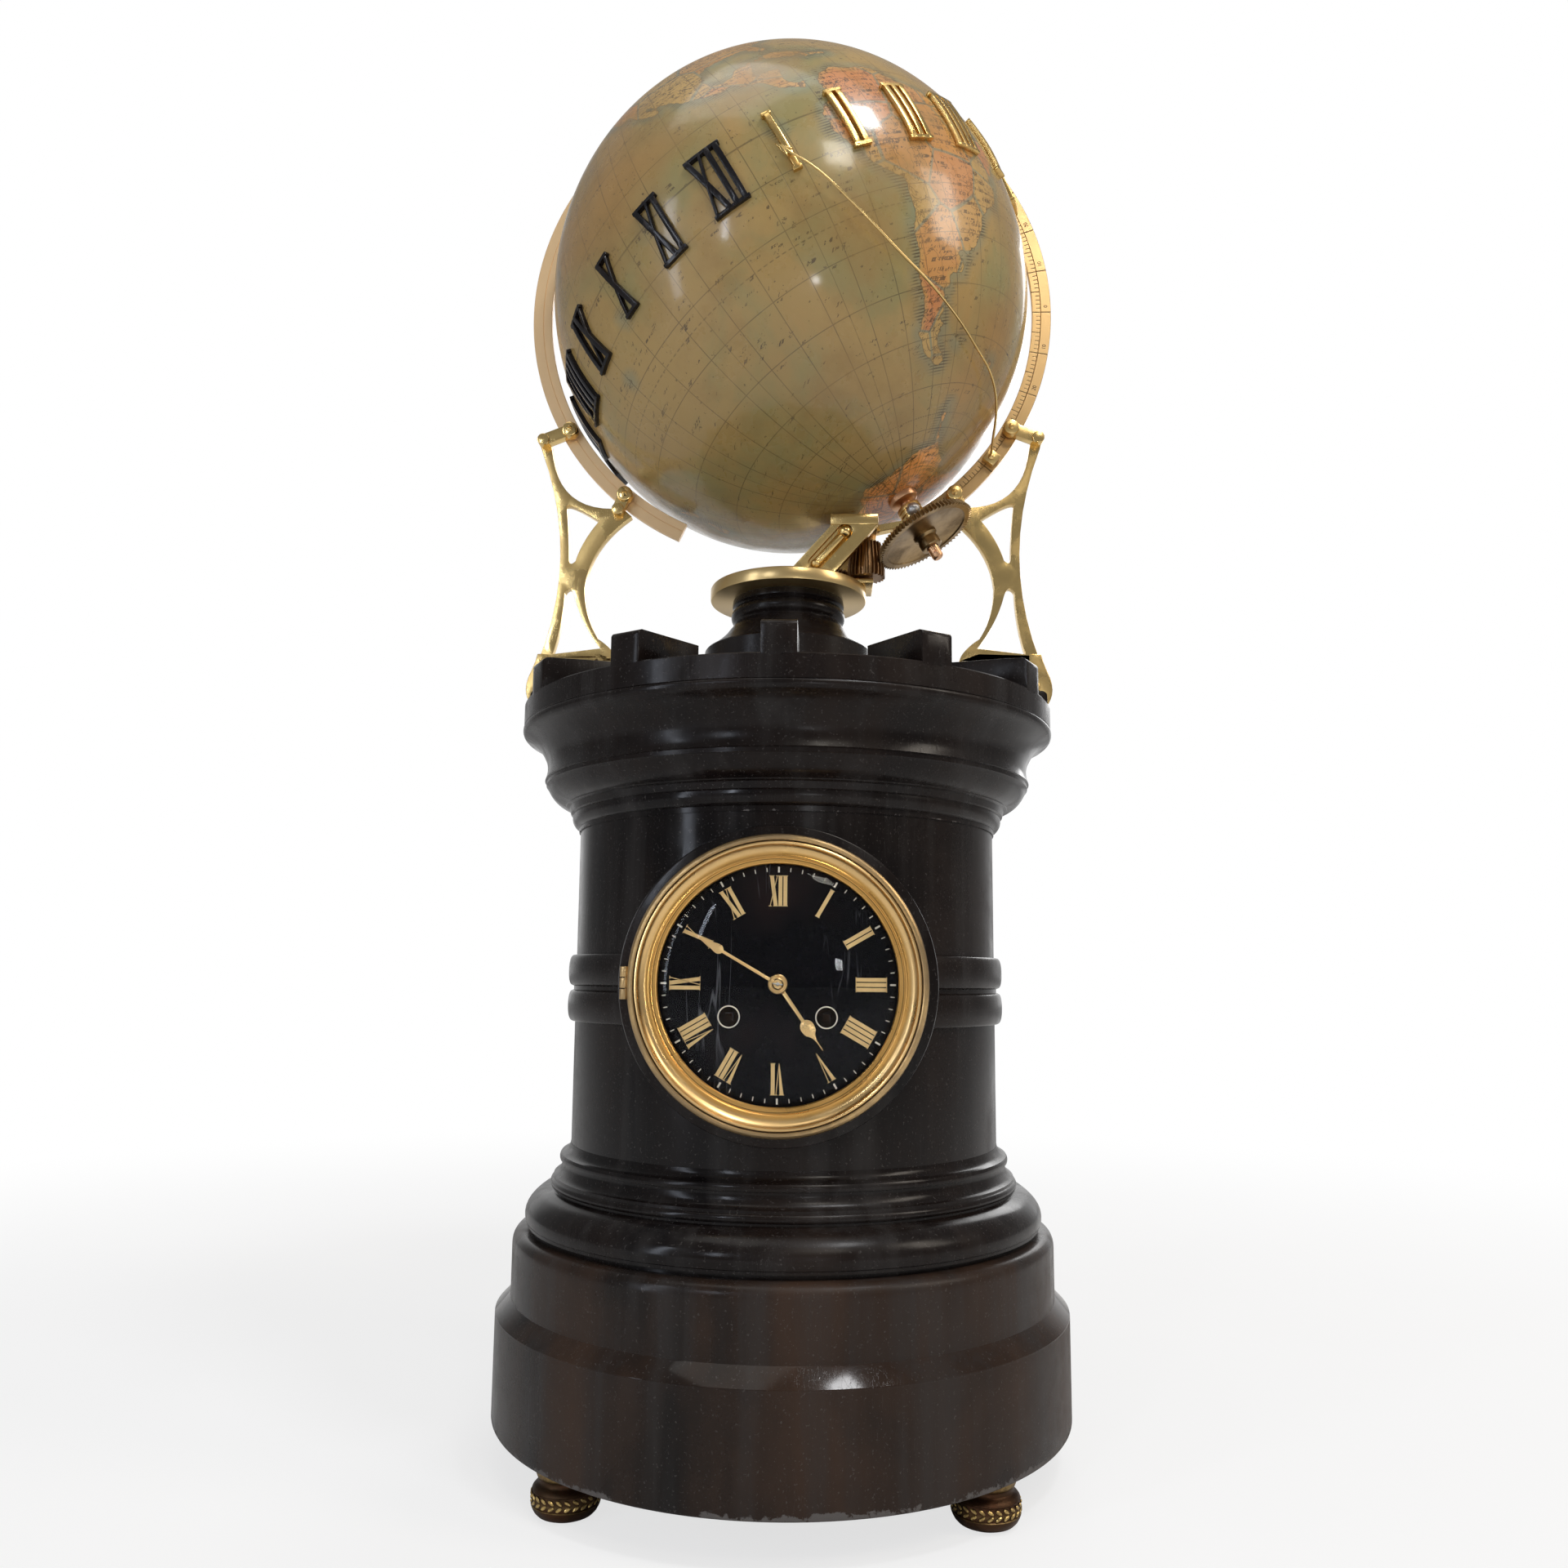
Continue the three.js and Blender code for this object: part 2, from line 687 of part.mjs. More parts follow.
function buildCentreArbor() {
  const endProud = 1;
  const frontEnd = minuteHandBack + handThickness + endProud;
  const pinionLength = plateGap / 3;
  const centrePinionRadius = 3.4;
  const middle = backPlateFront + plateGap / 2;
  const arbor = joined(
    frontRod(0, dialCentreHeight, handArborRadius, frontEnd, backPlateFront - plateThickness, smallSides),
    frontRod(
      0,
      dialCentreHeight,
      centrePinionRadius,
      middle + pinionLength / 2,
      middle - pinionLength / 2,
      smallSides,
    ),
  );
  addPiece("centre_arbor", arbor, steel);
}

function buildPendulum() {
  const eyeRadius = 3.6;
  const eyeThickness = 3;
  const rodRadius = 1;
  const bobThickness = 9;
  const bobMiddle = suspensionHeight - bobDrop;
  const eyeFront = pendulumDepth + eyeThickness / 2;
  const rodOverlap = eyeRadius * 0.8;
  const bob = new THREE.Path()
    .moveTo(0, -1)
    .quadraticCurveTo(0.95, -0.8, 1, 0)
    .quadraticCurveTo(0.95, 0.8, 0, 1);
  const profile = stretched(bob, 4, 0, bobRadius, -pendulumDepth, bobThickness / 2);
  const lens = new THREE.LatheGeometry(profile, metalSides).translate(0, 0, bobMiddle);
  const pendulum = joined(
    frontRod(0, suspensionHeight, eyeRadius, eyeFront, eyeFront - eyeThickness, metalSides),
    upright(0, -pendulumDepth, rodRadius, bobMiddle, suspensionHeight - rodOverlap, smallSides),
    lens,
  );
  const eye = frontRod(
    0,
    suspensionHeight,
    suspensionPinRadius + runningGap,
    eyeFront + overrun,
    eyeFront - eyeThickness - overrun,
    smallSides,
  );
  addPiece("pendulum", cut(pendulum, eye), brass);
}

// A thin bell behind the pendulum, on a post that stands on the back plate
function buildBell() {
  const bellRadius = 30;
  const bellDepth = 18;
  const wall = 1.4;
  const postRadius = 2;
  const bellX = 14;
  const bellRise = 11;
  const bellGap = 9;
  const bellHeight = dialCentreHeight + bellRise;
  const mouthDepth = pendulumDepth - bellGap;
  const crownDepth = mouthDepth - bellDepth;
  const dome = new THREE.Path().moveTo(1, 0).quadraticCurveTo(0.95, 0.9, 0, 1);
  const steps = 3;
  const outside = dome
    .getPoints(steps)
    .map((p) => new THREE.Vector2(p.x * bellRadius, -mouthDepth + p.y * bellDepth));
  const inside = dome
    .getPoints(steps)
    .map((p) => new THREE.Vector2(p.x * (bellRadius - wall), -mouthDepth + p.y * (bellDepth - wall)));
  const shell = new THREE.LatheGeometry([...inside.reverse(), ...outside], metalSides);
  const post = frontRod(0, 0, postRadius, backPlateFront - plateThickness, crownDepth - wall, smallSides);
  addPiece("bell", joined(shell, post).translate(bellX, 0, bellHeight), brass);
}

// The round door at the back of the tower
function buildRearDoor() {
  const doorRadius = 57;
  const doorThickness = 2.2;
  const knobRadius = 3;
  const knobLength = 7;
  const lugRadius = 2;
  const lugHalf = 7;
  const face = rearCollarBack + runningGap;
  const knobX = -doorRadius * 0.82;
  const door = joined(
    frontRod(0, dialCentreHeight, doorRadius, -face, -face - doorThickness, stoneSides),
    frontRod(knobX, dialCentreHeight, knobRadius, -face, -face - doorThickness - knobLength, smallSides),
    upright(
      doorRadius + lugRadius * 0.6,
      face + lugRadius + runningGap,
      lugRadius,
      dialCentreHeight - lugHalf,
      dialCentreHeight + lugHalf,
      smallSides,
    ),
  );
  addPiece("rear_door", door, brass);
}

// The inclined bracket on the flange: front plate, rear cheek, top plate, lower bearing and the
// arm that ends in the bearing of the polar arbor
const bracketFront = -30;
const bracketBack = 11;
const plateDepth = 4;
const lugRise = 2;
const lugHeight = 5.8;
const lugProud = 3;
const lugTop = globeCentre.z - globeRadius + lugRise;
const lugBottom = lugTop - lugHeight;
const topPlateTop = lugTop - lugProud;
const topPlateBottom = topPlateTop - plateDepth;
const pinionCover = 5.3;
const bracketRight = apex.x + pinionCover;
const bearingRadius = 6.5;
const bearingGap = 6;
const bearingLength = 12;
const bearingTop = globeRadius + bearingGap;
const bearingBottom = bearingTop + bearingLength;

function buildGlobeBracket() {
  const plateWidth = 24;
  const lean = 23;
  const leftFoot = bracketRight - plateWidth - lean;
  const plateOutline = polygon([
    [leftFoot, flangeTop],
    [leftFoot + plateWidth, flangeTop],
    [bracketRight, lugBottom],
    [bracketRight, lugTop],
    [bracketRight - plateWidth, lugTop],
    [bracketRight - plateWidth, lugBottom],
  ]);
  const frontPlate = standingPlate(plateOutline, bracketFront, plateDepth);
  const cheekStep = 8;
  const cheekFoot = bracketRight - cheekStep;
  const cheekRise = 9;
  const cheekOutline = polygon([
    [leftFoot + plateWidth / 2, flangeTop],
    [cheekFoot, flangeTop],
    [bracketRight, flangeTop + cheekRise],
    [bracketRight, topPlateTop],
    [bracketRight - plateWidth / 2, topPlateTop],
  ]);
  const cheek = standingPlate(cheekOutline, bracketBack - plateDepth, plateDepth);
  const topPlate = box(
    bracketRight - plateWidth / 2,
    bracketRight,
    bracketFront + plateDepth / 2,
    bracketBack - plateDepth / 2,
    topPlateBottom,
    topPlateTop,
  );
  const lowerBearing = box(
    apex.x - bearingRadius,
    apex.x + pinionPivotRadius * 2.5,
    apex.y - pinionPivotRadius * 2.5,
    bracketBack - plateDepth / 2,
    flangeTop,
    flangeTop + (spurBottom - flangeTop) * 0.75,
  );
  const slotHalf = 4;
  const slotLength = lean;
  const slotAngle = Math.atan2(lugBottom - flangeTop, lean);
  const slotShape = new THREE.Shape()
    .absarc(0, 0, slotHalf, Math.PI / 2, (Math.PI * 3) / 2)
    .absarc(slotLength, 0, slotHalf, -Math.PI / 2, Math.PI / 2);
  const slot = standingPlate(slotShape, bracketFront - overrun, plateDepth * 0.7 + overrun, smallSides / 2)
    .rotateY(-slotAngle)
    .translate(leftFoot + plateWidth * 0.62, 0, flangeTop + slotHalf * 1.3);
  const polarBearing = alongPolarAxis(bearingRadius, bearingTop, bearingBottom, metalSides);
  const armHalf = 3;
  const bearingMiddle = pointOnPolarAxis((bearingTop + bearingBottom) / 2);
  const armRoot = bracketRight - plateDepth;
  const armTip = bearingMiddle.x - polarArborRadius;
  const armOutline = polygon([
    [armRoot, topPlateBottom],
    [armTip, bearingMiddle.z - bearingRadius],
    [armTip, bearingMiddle.z - polarArborRadius],
    [armRoot, topPlateTop],
  ]);
  const arm = standingPlate(armOutline, bearingMiddle.y - armHalf, armHalf * 2);
  const body = joined(frontPlate, cheek, topPlate, lowerBearing, arm, polarBearing);
  const pivotBore = upright(
    apex.x,
    apex.y,
    pinionPivotRadius + runningGap,
    flangeTop - overrun,
    lugTop + overrun,
    smallSides,
  );
  const arborBore = alongPolarAxis(
    polarArborRadius + runningGap,
    bearingTop - overrun,
    bearingBottom + overrun,
    metalSides,
  );
  addPiece("globe_bracket", cut(body, slot, pivotBore, arborBore), brass);
}

function pointOnPolarAxis(distance) {
  return globeCentre.clone().addScaledVector(polarAxis, distance);
}

// A round bar on the polar axis between two distances from the middle of the globe.
function alongPolarAxis(radius, near, far, sides) {
  const bar = new THREE.CylinderGeometry(radius, radius, far - near, sides);
  bar.rotateX(Math.PI / 2).translate(0, 0, (near + far) / 2);
  return setOnPolarAxis(bar);
}

// Turns a geometry made about +Z so that +Z points along the polar axis from the globe's middle.
// Its +X then points to the pinion's side.
function setOnPolarAxis(geometry) {
  const towards = driveDirection
    .clone()
    .addScaledVector(polarAxis, -driveDirection.dot(polarAxis))
    .normalize()
    .negate();
  const side = new THREE.Vector3().crossVectors(polarAxis, towards);
  const frame = new THREE.Matrix4().makeBasis(towards, side, polarAxis).setPosition(globeCentre);
  return geometry.applyMatrix4(frame);
}

// The vertical shaft from the movement bay to the bracket, with a wheel at each end
function buildDriveShaft() {
  const lowerWheelRadius = 7;
  const lowerWheelHeight = 3;
  const roofGap = 2;
  const wheelReach = shaftPlace.x + lowerWheelRadius;
  const roof = dialCentreHeight + Math.sqrt(boreRadius ** 2 - wheelReach ** 2);
  const bottom = roof - roofGap - lowerWheelHeight;
  const teeth = toothedOutline(shaftTeeth, shaftGearRadius, toothPlay, driveAzimuth);
  const wheel = new THREE.ExtrudeGeometry(teeth, { depth: spurHeight, bevelEnabled: false }).translate(
    shaftPlace.x,
    shaftPlace.y,
    spurBottom,
  );
  const shaft = joined(
    upright(shaftPlace.x, shaftPlace.y, shaftRadius, bottom, spurTop + overrun, smallSides),
    upright(shaftPlace.x, shaftPlace.y, lowerWheelRadius, bottom, bottom + lowerWheelHeight, metalSides),
    wheel,
  );
  addPiece("drive_shaft", shaft, brass);
}

// The pinion: straight teeth at the foot, which the shaft drives, and leaves that run to the apex
function buildDrivePinion() {
  const leafHeight = 15;
  const phase = driveAzimuth + Math.PI / pinionTeeth;
  const leaves = bevelTeeth(
    toothedOutline(pinionTeeth, spurRadius, toothPlay, phase),
    spurHeight,
    spurHeight + leafHeight,
    apex.z - spurBottom,
  ).translate(apex.x, apex.y, spurBottom);
  const pivot = upright(
    apex.x,
    apex.y,
    pinionPivotRadius,
    flangeTop + runningGap,
    topPlateTop - runningGap,
    smallSides,
  );
  addPiece("drive_pinion", joined(leaves, pivot), steel);
}

// The wheel under the globe, with a hub on both sides and a dished web
function buildGlobeWheel() {
  const bore = polarArborRadius + runningGap;
  const hubRadius = 5.6;
  const far = wheelPlane + wheelThickness / 2;
  const near = wheelPlane - wheelThickness / 2;
  const hubLength = near - bearingBottom - runningGap;
  const lowerHub = 7;
  const webDepth = wheelThickness * 0.25;
  const rimWidth = 3.2;
  const farApex = far - (wheelPlane - apexDistance);
  const farRadius = (wheelRadius * farApex) / apexDistance;
  const teeth = bevelTeeth(toothedOutline(wheelTeeth, farRadius, toothPlay, 0), 0, wheelThickness, farApex)
    .rotateX(Math.PI)
    .translate(0, 0, far);
  const hubHeight = hubLength + wheelThickness + lowerHub;
  const hub = new THREE.CylinderGeometry(hubRadius, hubRadius, hubHeight, metalSides)
    .rotateX(Math.PI / 2)
    .translate(0, 0, (near - hubLength + far + lowerHub) / 2);
  const dish = new THREE.CylinderGeometry(
    farRadius - rimWidth,
    farRadius - rimWidth,
    webDepth + overrun,
    metalSides,
  )
    .rotateX(Math.PI / 2)
    .translate(0, 0, far - webDepth + (webDepth + overrun) / 2);
  const arborHole = new THREE.CylinderGeometry(bore, bore, lowerHub * 4 + wheelThickness, smallSides)
    .rotateX(Math.PI / 2)
    .translate(0, 0, wheelPlane);
  const disc = cut(teeth, dish);
  const wheel = cut(joined(disc, hub), arborHole);
  addPiece("globe_wheel", setOnPolarAxis(wheel), brass);
}

// The rod through the globe from pole to pole, which carries the globe and the wheel
function buildPolarArbor() {
  const collarHeight = 3.4;
  const southCollarRadius = 8;
  const nutRadius = 5;
  const southTail = 40;
  const southEnd = globeRadius + southTail;
  const poleSeat = globeRadius + runningGap;
  const northEnd = -(poleSeat + collarHeight);
  const crossHoleRadius = 0.9;
  const crossHolePlace = southEnd - polarArborRadius;
  const arbor = joined(
    alongPolarAxis(polarArborRadius, northEnd, southEnd, metalSides),
    alongPolarAxis(southCollarRadius, poleSeat, poleSeat + collarHeight, metalSides),
    alongPolarAxis(nutRadius, northEnd, -poleSeat, metalSides / 4),
  );
  const crossHole = setOnPolarAxis(
    new THREE.CylinderGeometry(crossHoleRadius, crossHoleRadius, polarArborRadius * 4, smallSides).translate(
      0,
      0,
      crossHolePlace,
    ),
  );
  addPiece("polar_arbor", cut(arbor, crossHole), brass);
}

// The globe's ball with the bore for its arbor
const globeSides = 32;

function buildGlobe() {
  const ball = new THREE.SphereGeometry(globeRadius, globeSides, globeSides / 2).rotateX(Math.PI / 2);
  const bore = new THREE.CylinderGeometry(
    polarArborRadius + runningGap,
    polarArborRadius + runningGap,
    globeRadius * 2 + overrun * 2,
    metalSides,
  ).rotateX(Math.PI / 2);
  addPiece("globe", setOnPolarAxis(cut(ball, bore)), mapPaper);
}

// Raised Roman numerals round the globe: twelve black ones for the night, twelve gilt ones for
// the day. Each stroke is [foot, top] in shares of the numeral's height.
const strokeShare = 0.085;
const glyphShares = {
  I: { width: 0.14, strokes: [[0, 0, strokeShare]] },
  V: { width: 0.3, strokes: [[0, -0.11, strokeShare], [0, 0.11, strokeShare * 0.6]] },
  X: { width: 0.3, strokes: [[0.11, -0.11, strokeShare], [-0.11, 0.11, strokeShare * 0.6]] },
};
const numeralNames = ["I", "II", "III", "IIII", "V", "VI", "VII", "VIII", "IX", "X", "XI", "XII"];
const numeralLatitude = THREE.MathUtils.degToRad(-3.5);
const firstLongitude = THREE.MathUtils.degToRad(1.3);

// A bar of the numeral in the flat: x to the east, y to the north, z outwards.
function numeralBar(footX, topX, foot, top, width) {
  const lengthSteps = 2;
  const bar = new THREE.BoxGeometry(width, top - foot, numeralRelief, 1, lengthSteps, 1);
  const position = bar.attributes.position;
  for (let i = 0; i < position.count; i++) {
    const share = (position.getY(i) + (top - foot) / 2) / (top - foot);
    position.setX(i, position.getX(i) + footX + (topX - footX) * share);
  }
  return bar.translate(0, (foot + top) / 2, 0);
}

function numeralSolid(letters) {
  const half = numeralHeight / 2;
  const serif = numeralHeight * 0.055;
  const total = [...letters].reduce((sum, letter) => sum + glyphShares[letter].width, 0);
  const bars = [];
  let place = -total / 2;
  for (const letter of letters) {
    const glyph = glyphShares[letter];
    const middle = place + glyph.width / 2;
    for (const [foot, top, width] of glyph.strokes) {
      const footX = (middle + foot) * numeralHeight;
      const topX = (middle + top) * numeralHeight;
      bars.push(numeralBar(footX, topX, -half, half, width * numeralHeight));
    }
    place += glyph.width;
  }
  const serifLength = total * numeralHeight;
  const serifSteps = letters.length > 2 ? 2 : 1;
  for (const side of [-1, 1]) {
    const bar = new THREE.BoxGeometry(serifLength, serif, numeralRelief, serifSteps, 1, 1);
    bars.push(bar.translate(0, side * (half - serif / 2), 0));
  }
  return joined(...bars);
}

// Bends a flat numeral on to the globe at a longitude and latitude.
function bentOnGlobe(geometry, longitude, latitude) {
  const position = geometry.attributes.position;
  const seat = globeRadius + runningGap + numeralRelief / 2;
  const point = new THREE.Vector3();
  for (let i = 0; i < position.count; i++) {
    const radius = seat + position.getZ(i);
    const east = longitude + position.getX(i) / globeRadius / Math.cos(latitude);
    const north = latitude + position.getY(i) / globeRadius;
    point.set(Math.cos(north) * Math.cos(east), Math.cos(north) * Math.sin(east), Math.sin(north));
    position.setXYZ(i, point.x * radius, point.y * radius, point.z * radius);
  }
  return geometry;
}

// From the frame of longitude and latitude, with the south pole along the polar axis, to the clock.
function setOnGlobe(geometry) {
  const north = polarAxis.clone().negate();
  const facing = new THREE.Vector3(0, -1, 0);
  const meridian = facing.clone().addScaledVector(north, -facing.dot(north)).normalize();
  const east = new THREE.Vector3().crossVectors(north, meridian);
  const frame = new THREE.Matrix4().makeBasis(meridian, east, north).setPosition(globeCentre);
  return geometry.applyMatrix4(frame);
}

function buildNumerals() {
  const step = Math.PI / 12;
  for (const [half, look, start] of [["day", gilt, 0], ["night", blackGloss, 12]]) {
    numeralNames.forEach((letters, k) => {
      const longitude = firstLongitude + (start + k) * step;
      const numeral = setOnGlobe(bentOnGlobe(numeralSolid(letters), longitude, numeralLatitude));
      addPiece("numeral_" + half + "_" + String(k + 1).padStart(2, "0"), numeral, look);
    });
  }
}

// The graduated ring stands upright round the globe and is open at the bottom. The clamp screws
// go through it.
const ringMiddleRadius = ringOuterRadius - ringWidth / 2;
const clampAngles = [-30, -50].map(THREE.MathUtils.degToRad);
const clampScrewRadius = 1.6;

function ringPoint(radius, angle) {
  return new THREE.Vector2(radius * Math.cos(angle), globeCentre.z + radius * Math.sin(angle));
}

function buildRing() {
  const rightEnd = THREE.MathUtils.degToRad(-60);
  const leftEnd = THREE.MathUtils.degToRad(245.4);
  const steps = 44;
  const outer = [];
  const inner = [];
  for (let k = 0; k <= steps; k++) {
    const angle = rightEnd + ((leftEnd - rightEnd) * k) / steps;
    outer.push(ringPoint(ringOuterRadius, angle));
    inner.push(ringPoint(ringOuterRadius - ringWidth, angle));
  }
  const shape = new THREE.Shape([...outer, ...inner.reverse()]);
  const ring = standingPlate(shape, -ringThickness / 2, ringThickness);
  const holes = [];
  for (const side of [-1, 1]) {
    for (const angle of clampAngles) {
      const place = ringPoint(ringMiddleRadius, angle);
      const radius = clampScrewRadius + runningGap;
      holes.push(frontRod(side * place.x, place.y, radius, ringThickness, -ringThickness, smallSides));
    }
  }
  addPiece("graduated_ring", cut(ring, ...holes), brass);
}

// The openwork brackets beside the pedestal. Their outlines are drawn for the right side, in
// shares of the bracket's width inwards from its outermost point and of its height from the foot.
const clampReach = 17.15;
const clampDrop = 2.6;
const clampOverhang = 22.85;
const bracketHeightShare = 3.42;
const upperClamp = ringPoint(ringMiddleRadius, clampAngles[0]);
const lowerClamp = ringPoint(ringMiddleRadius, clampAngles[1]);
const bracketWidth = upperClamp.x - lowerClamp.x + clampOverhang;
const bracketHeight = (upperClamp.y - lowerClamp.y) * bracketHeightShare;
const bracketOuter = upperClamp.x + clampReach;
const bracketFoot = upperClamp.y - clampDrop - bracketHeight;
const sideBracketThickness = 5;

function bracketPoint([inShare, upShare]) {
  return new THREE.Vector2(bracketOuter - inShare * bracketWidth, bracketFoot + upShare * bracketHeight);
}

function bracketShape() {
  const at = (inShare, upShare) => Object.values(bracketPoint([inShare, upShare]));
  const shape = new THREE.Shape();
  shape.moveTo(...at(0.06, 0));
  shape.quadraticCurveTo(...at(0.45, 0.46), ...at(0.02, 0.94));
  shape.quadraticCurveTo(...at(-0.02, 1), ...at(0.1, 1));
  shape.lineTo(...at(0.14, 0.9));
  shape.quadraticCurveTo(...at(0.24, 0.675), ...at(0.76, 0.675));
  shape.lineTo(...at(0.83, 0.69));
  shape.lineTo(...at(0.96, 0.64));
  shape.quadraticCurveTo(...at(0.54, 0.51), ...at(0.5, 0.32));
  shape.quadraticCurveTo(...at(0.51, 0.17), ...at(0.77, 0.04));
  shape.lineTo(...at(0.77, 0));
  const upper = new THREE.Path();
  upper.moveTo(...at(0.29, 0.69));
  upper.quadraticCurveTo(...at(0.34, 0.7), ...at(0.63, 0.62));
  upper.quadraticCurveTo(...at(0.46, 0.53), ...at(0.4, 0.44));
  upper.quadraticCurveTo(...at(0.33, 0.41), ...at(0.33, 0.46));
  upper.quadraticCurveTo(...at(0.32, 0.6), ...at(0.29, 0.69));
  const lower = new THREE.Path();
  lower.moveTo(...at(0.3, 0.3));
  lower.quadraticCurveTo(...at(0.37, 0.35), ...at(0.42, 0.26));
  lower.quadraticCurveTo(...at(0.5, 0.15), ...at(0.68, 0.055));
  lower.lineTo(...at(0.2, 0.03));
  lower.quadraticCurveTo(...at(0.29, 0.16), ...at(0.3, 0.3));
  shape.holes.push(upper, lower);
  return shape;
}

function clampLink(from, to) {
  const linkHalf = 3.4;
  const linkSteps = 3;
  const headRadius = 4.4;
  const front = -ringThickness / 2 - runningGap;
  const linkDepth = 5;
  const length = from.distanceTo(to);
  const angle = Math.atan2(to.y - from.y, to.x - from.x);
  const shape = new THREE.Shape()
    .absarc(0, 0, linkHalf, Math.PI / 2, (Math.PI * 3) / 2)
    .absarc(length, 0, linkHalf, -Math.PI / 2, Math.PI / 2);
  const link = standingPlate(shape, front - linkDepth, linkDepth, linkSteps)
    .rotateY(-angle)
    .translate(from.x, 0, from.y);
  const knuckleBack = -sideBracketThickness / 2;
  const knuckle = frontRod(from.x, from.y, linkHalf, linkDepth - front, knuckleBack, smallSides);
  const head = frontRod(to.x, to.y, headRadius, linkDepth - front + overrun, -front, smallSides);
  const nutDepth = 2.4;
  const screw = frontRod(to.x, to.y, clampScrewRadius, linkDepth / 2 - front, front, smallSides);
  const nut = frontRod(to.x, to.y, clampScrewRadius * 2, front, front - nutDepth, smallSides / 2);
  return joined(link, knuckle, head, screw, nut);
}

function buildSideBrackets() {
  const curveSteps = 5;
  const plate = standingPlate(bracketShape(), -sideBracketThickness / 2, sideBracketThickness, curveSteps);
  const upperKnuckle = bracketPoint([0.05, 0.975]);
  const lowerKnuckle = bracketPoint([0.83, 0.66]);
  const links = [upperKnuckle, lowerKnuckle].map((from, k) =>
    clampLink(from, ringPoint(ringMiddleRadius, clampAngles[k])),
  );
  const footInner = bracketOuter - bracketWidth * 0.77;
  const baseThickness = 3;
  const tabThickness = 3.5;
  const tabDrop = 6;
  const slope = merlonRise / merlonLength;
  const seatAt = (x) => merlonTop + (crownRadius - x) * slope + runningGap;
  const tabInner = crownRadius + runningGap;
  const foot = standingPlate(
    polygon([
      [footInner, seatAt(footInner) + baseThickness / 2],
      [tabInner - tabThickness, seatAt(tabInner) + baseThickness / 2],
      [bracketOuter - bracketWidth * 0.06, bracketFoot + overrun],
      [bracketOuter - bracketWidth * 0.06, bracketFoot + bracketHeight * 0.03],
      [footInner, bracketFoot + bracketHeight * 0.04],
    ]),
    -sideBracketThickness / 2,
    sideBracketThickness,
  );
  const base = standingPlate(
    polygon([
      [footInner, seatAt(footInner)],
      [tabInner, seatAt(tabInner)],
      [tabInner, merlonTop - tabDrop],
      [tabInner + tabThickness, merlonTop - tabDrop],
      [tabInner + tabThickness, seatAt(tabInner) + baseThickness],
      [footInner, seatAt(footInner) + baseThickness],
    ]),
    -merlonWidth / 2,
    merlonWidth,
  );
  const right = joined(plate, foot, base, ...links);
  addPiece("right_ring_bracket", right, brass);
  addPiece("left_ring_bracket", mirrored(right), brass);
}

// A copy mirrored in X, with its faces turned round again.
function mirrored(geometry) {
  const copy = geometry.clone().applyMatrix4(new THREE.Matrix4().makeScale(-1, 1, 1));
  const index = copy.index.array;
  for (let i = 0; i < index.length; i += 3) {
    [index[i + 1], index[i + 2]] = [index[i + 2], index[i + 1]];
  }
  return copy;
}

// The wire pointer, from its slider on the ring round to the front of the globe
function buildPointer() {
  const wireRadius = 0.9;
  const clearance = 5;
  const sliderAngle = THREE.MathUtils.degToRad(-38);
  const sliderHalf = 3.6;
  const sliderDepth = 4;
  const sliderFront = -ringThickness / 2 - runningGap - sliderDepth;
  const place = ringPoint(ringMiddleRadius, sliderAngle);
  const pathShares = [
    [-0.001, -1, 0.008],
    [0.094, -0.994, -0.049],
    [0.232, -0.959, -0.161],
    [0.39, -0.876, -0.282],
    [0.529, -0.767, -0.363],
    [0.67, -0.594, -0.446],
    [0.785, -0.353, -0.509],
  ];
  const points = pathShares.map(([x, y, z]) =>
    new THREE.Vector3(x, y, z)
      .normalize()
      .multiplyScalar(globeRadius + clearance)
      .add(globeCentre),
  );
  points.push(new THREE.Vector3(place.x, sliderFront + sliderDepth / 2, place.y));
  const curve = new THREE.CatmullRomCurve3(points);
  const section = new THREE.Shape().absarc(0, 0, wireRadius, 0, Math.PI * 2);
  const steps = 20;
  const wire = new THREE.ExtrudeGeometry(section, {
    steps,
    extrudePath: curve,
    curveSegments: 3,
    bevelEnabled: false,
  });
  const arrowLength = 9;
  const arrowRadius = 2;
  const arrow = new THREE.ConeGeometry(arrowRadius, arrowLength, smallSides / 2);
  arrow.applyQuaternion(
    new THREE.Quaternion().setFromUnitVectors(
      new THREE.Vector3(0, 1, 0),
      curve.getTangentAt(0).negate(),
    ),
  );
  arrow.translate(points[0].x, points[0].y, points[0].z);
  const slider = box(-sliderHalf, sliderHalf, sliderFront, sliderFront + sliderDepth, -sliderHalf, sliderHalf)
    .rotateY(-sliderAngle)
    .translate(place.x, 0, place.y);
  addPiece("hour_pointer", joined(wire, arrow, slider), brass);
}

buildFeet();
buildBase();
buildDrum();
buildCornice();
buildBattlement();
buildPedestal();
buildDial();
buildBezel();
buildHands();
buildPlates();
buildBarrel("going_barrel", 1);
buildBarrel("strike_barrel", -1);
buildCentreArbor();
buildPendulum();
buildBell();
buildRearDoor();
buildGlobeBracket();
buildDriveShaft();
buildDrivePinion();
buildGlobeWheel();
buildPolarArbor();
buildGlobe();
buildNumerals();
buildRing();
buildSideBrackets();
buildPointer();

export default globeClock;
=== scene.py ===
"""Looks of a globe clock: a round black slate tower that carries a geared terrestrial globe.

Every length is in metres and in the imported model's own frame: +Z is up, the dial faces -Y and the
origin is on the ground under the middle of the four feet.
"""

import json
import logging
import math
from dataclasses import dataclass, field
from enum import Enum
from typing import Callable, Iterable, Sequence

import bpy
import numpy as np
from mathutils import Matrix, Vector

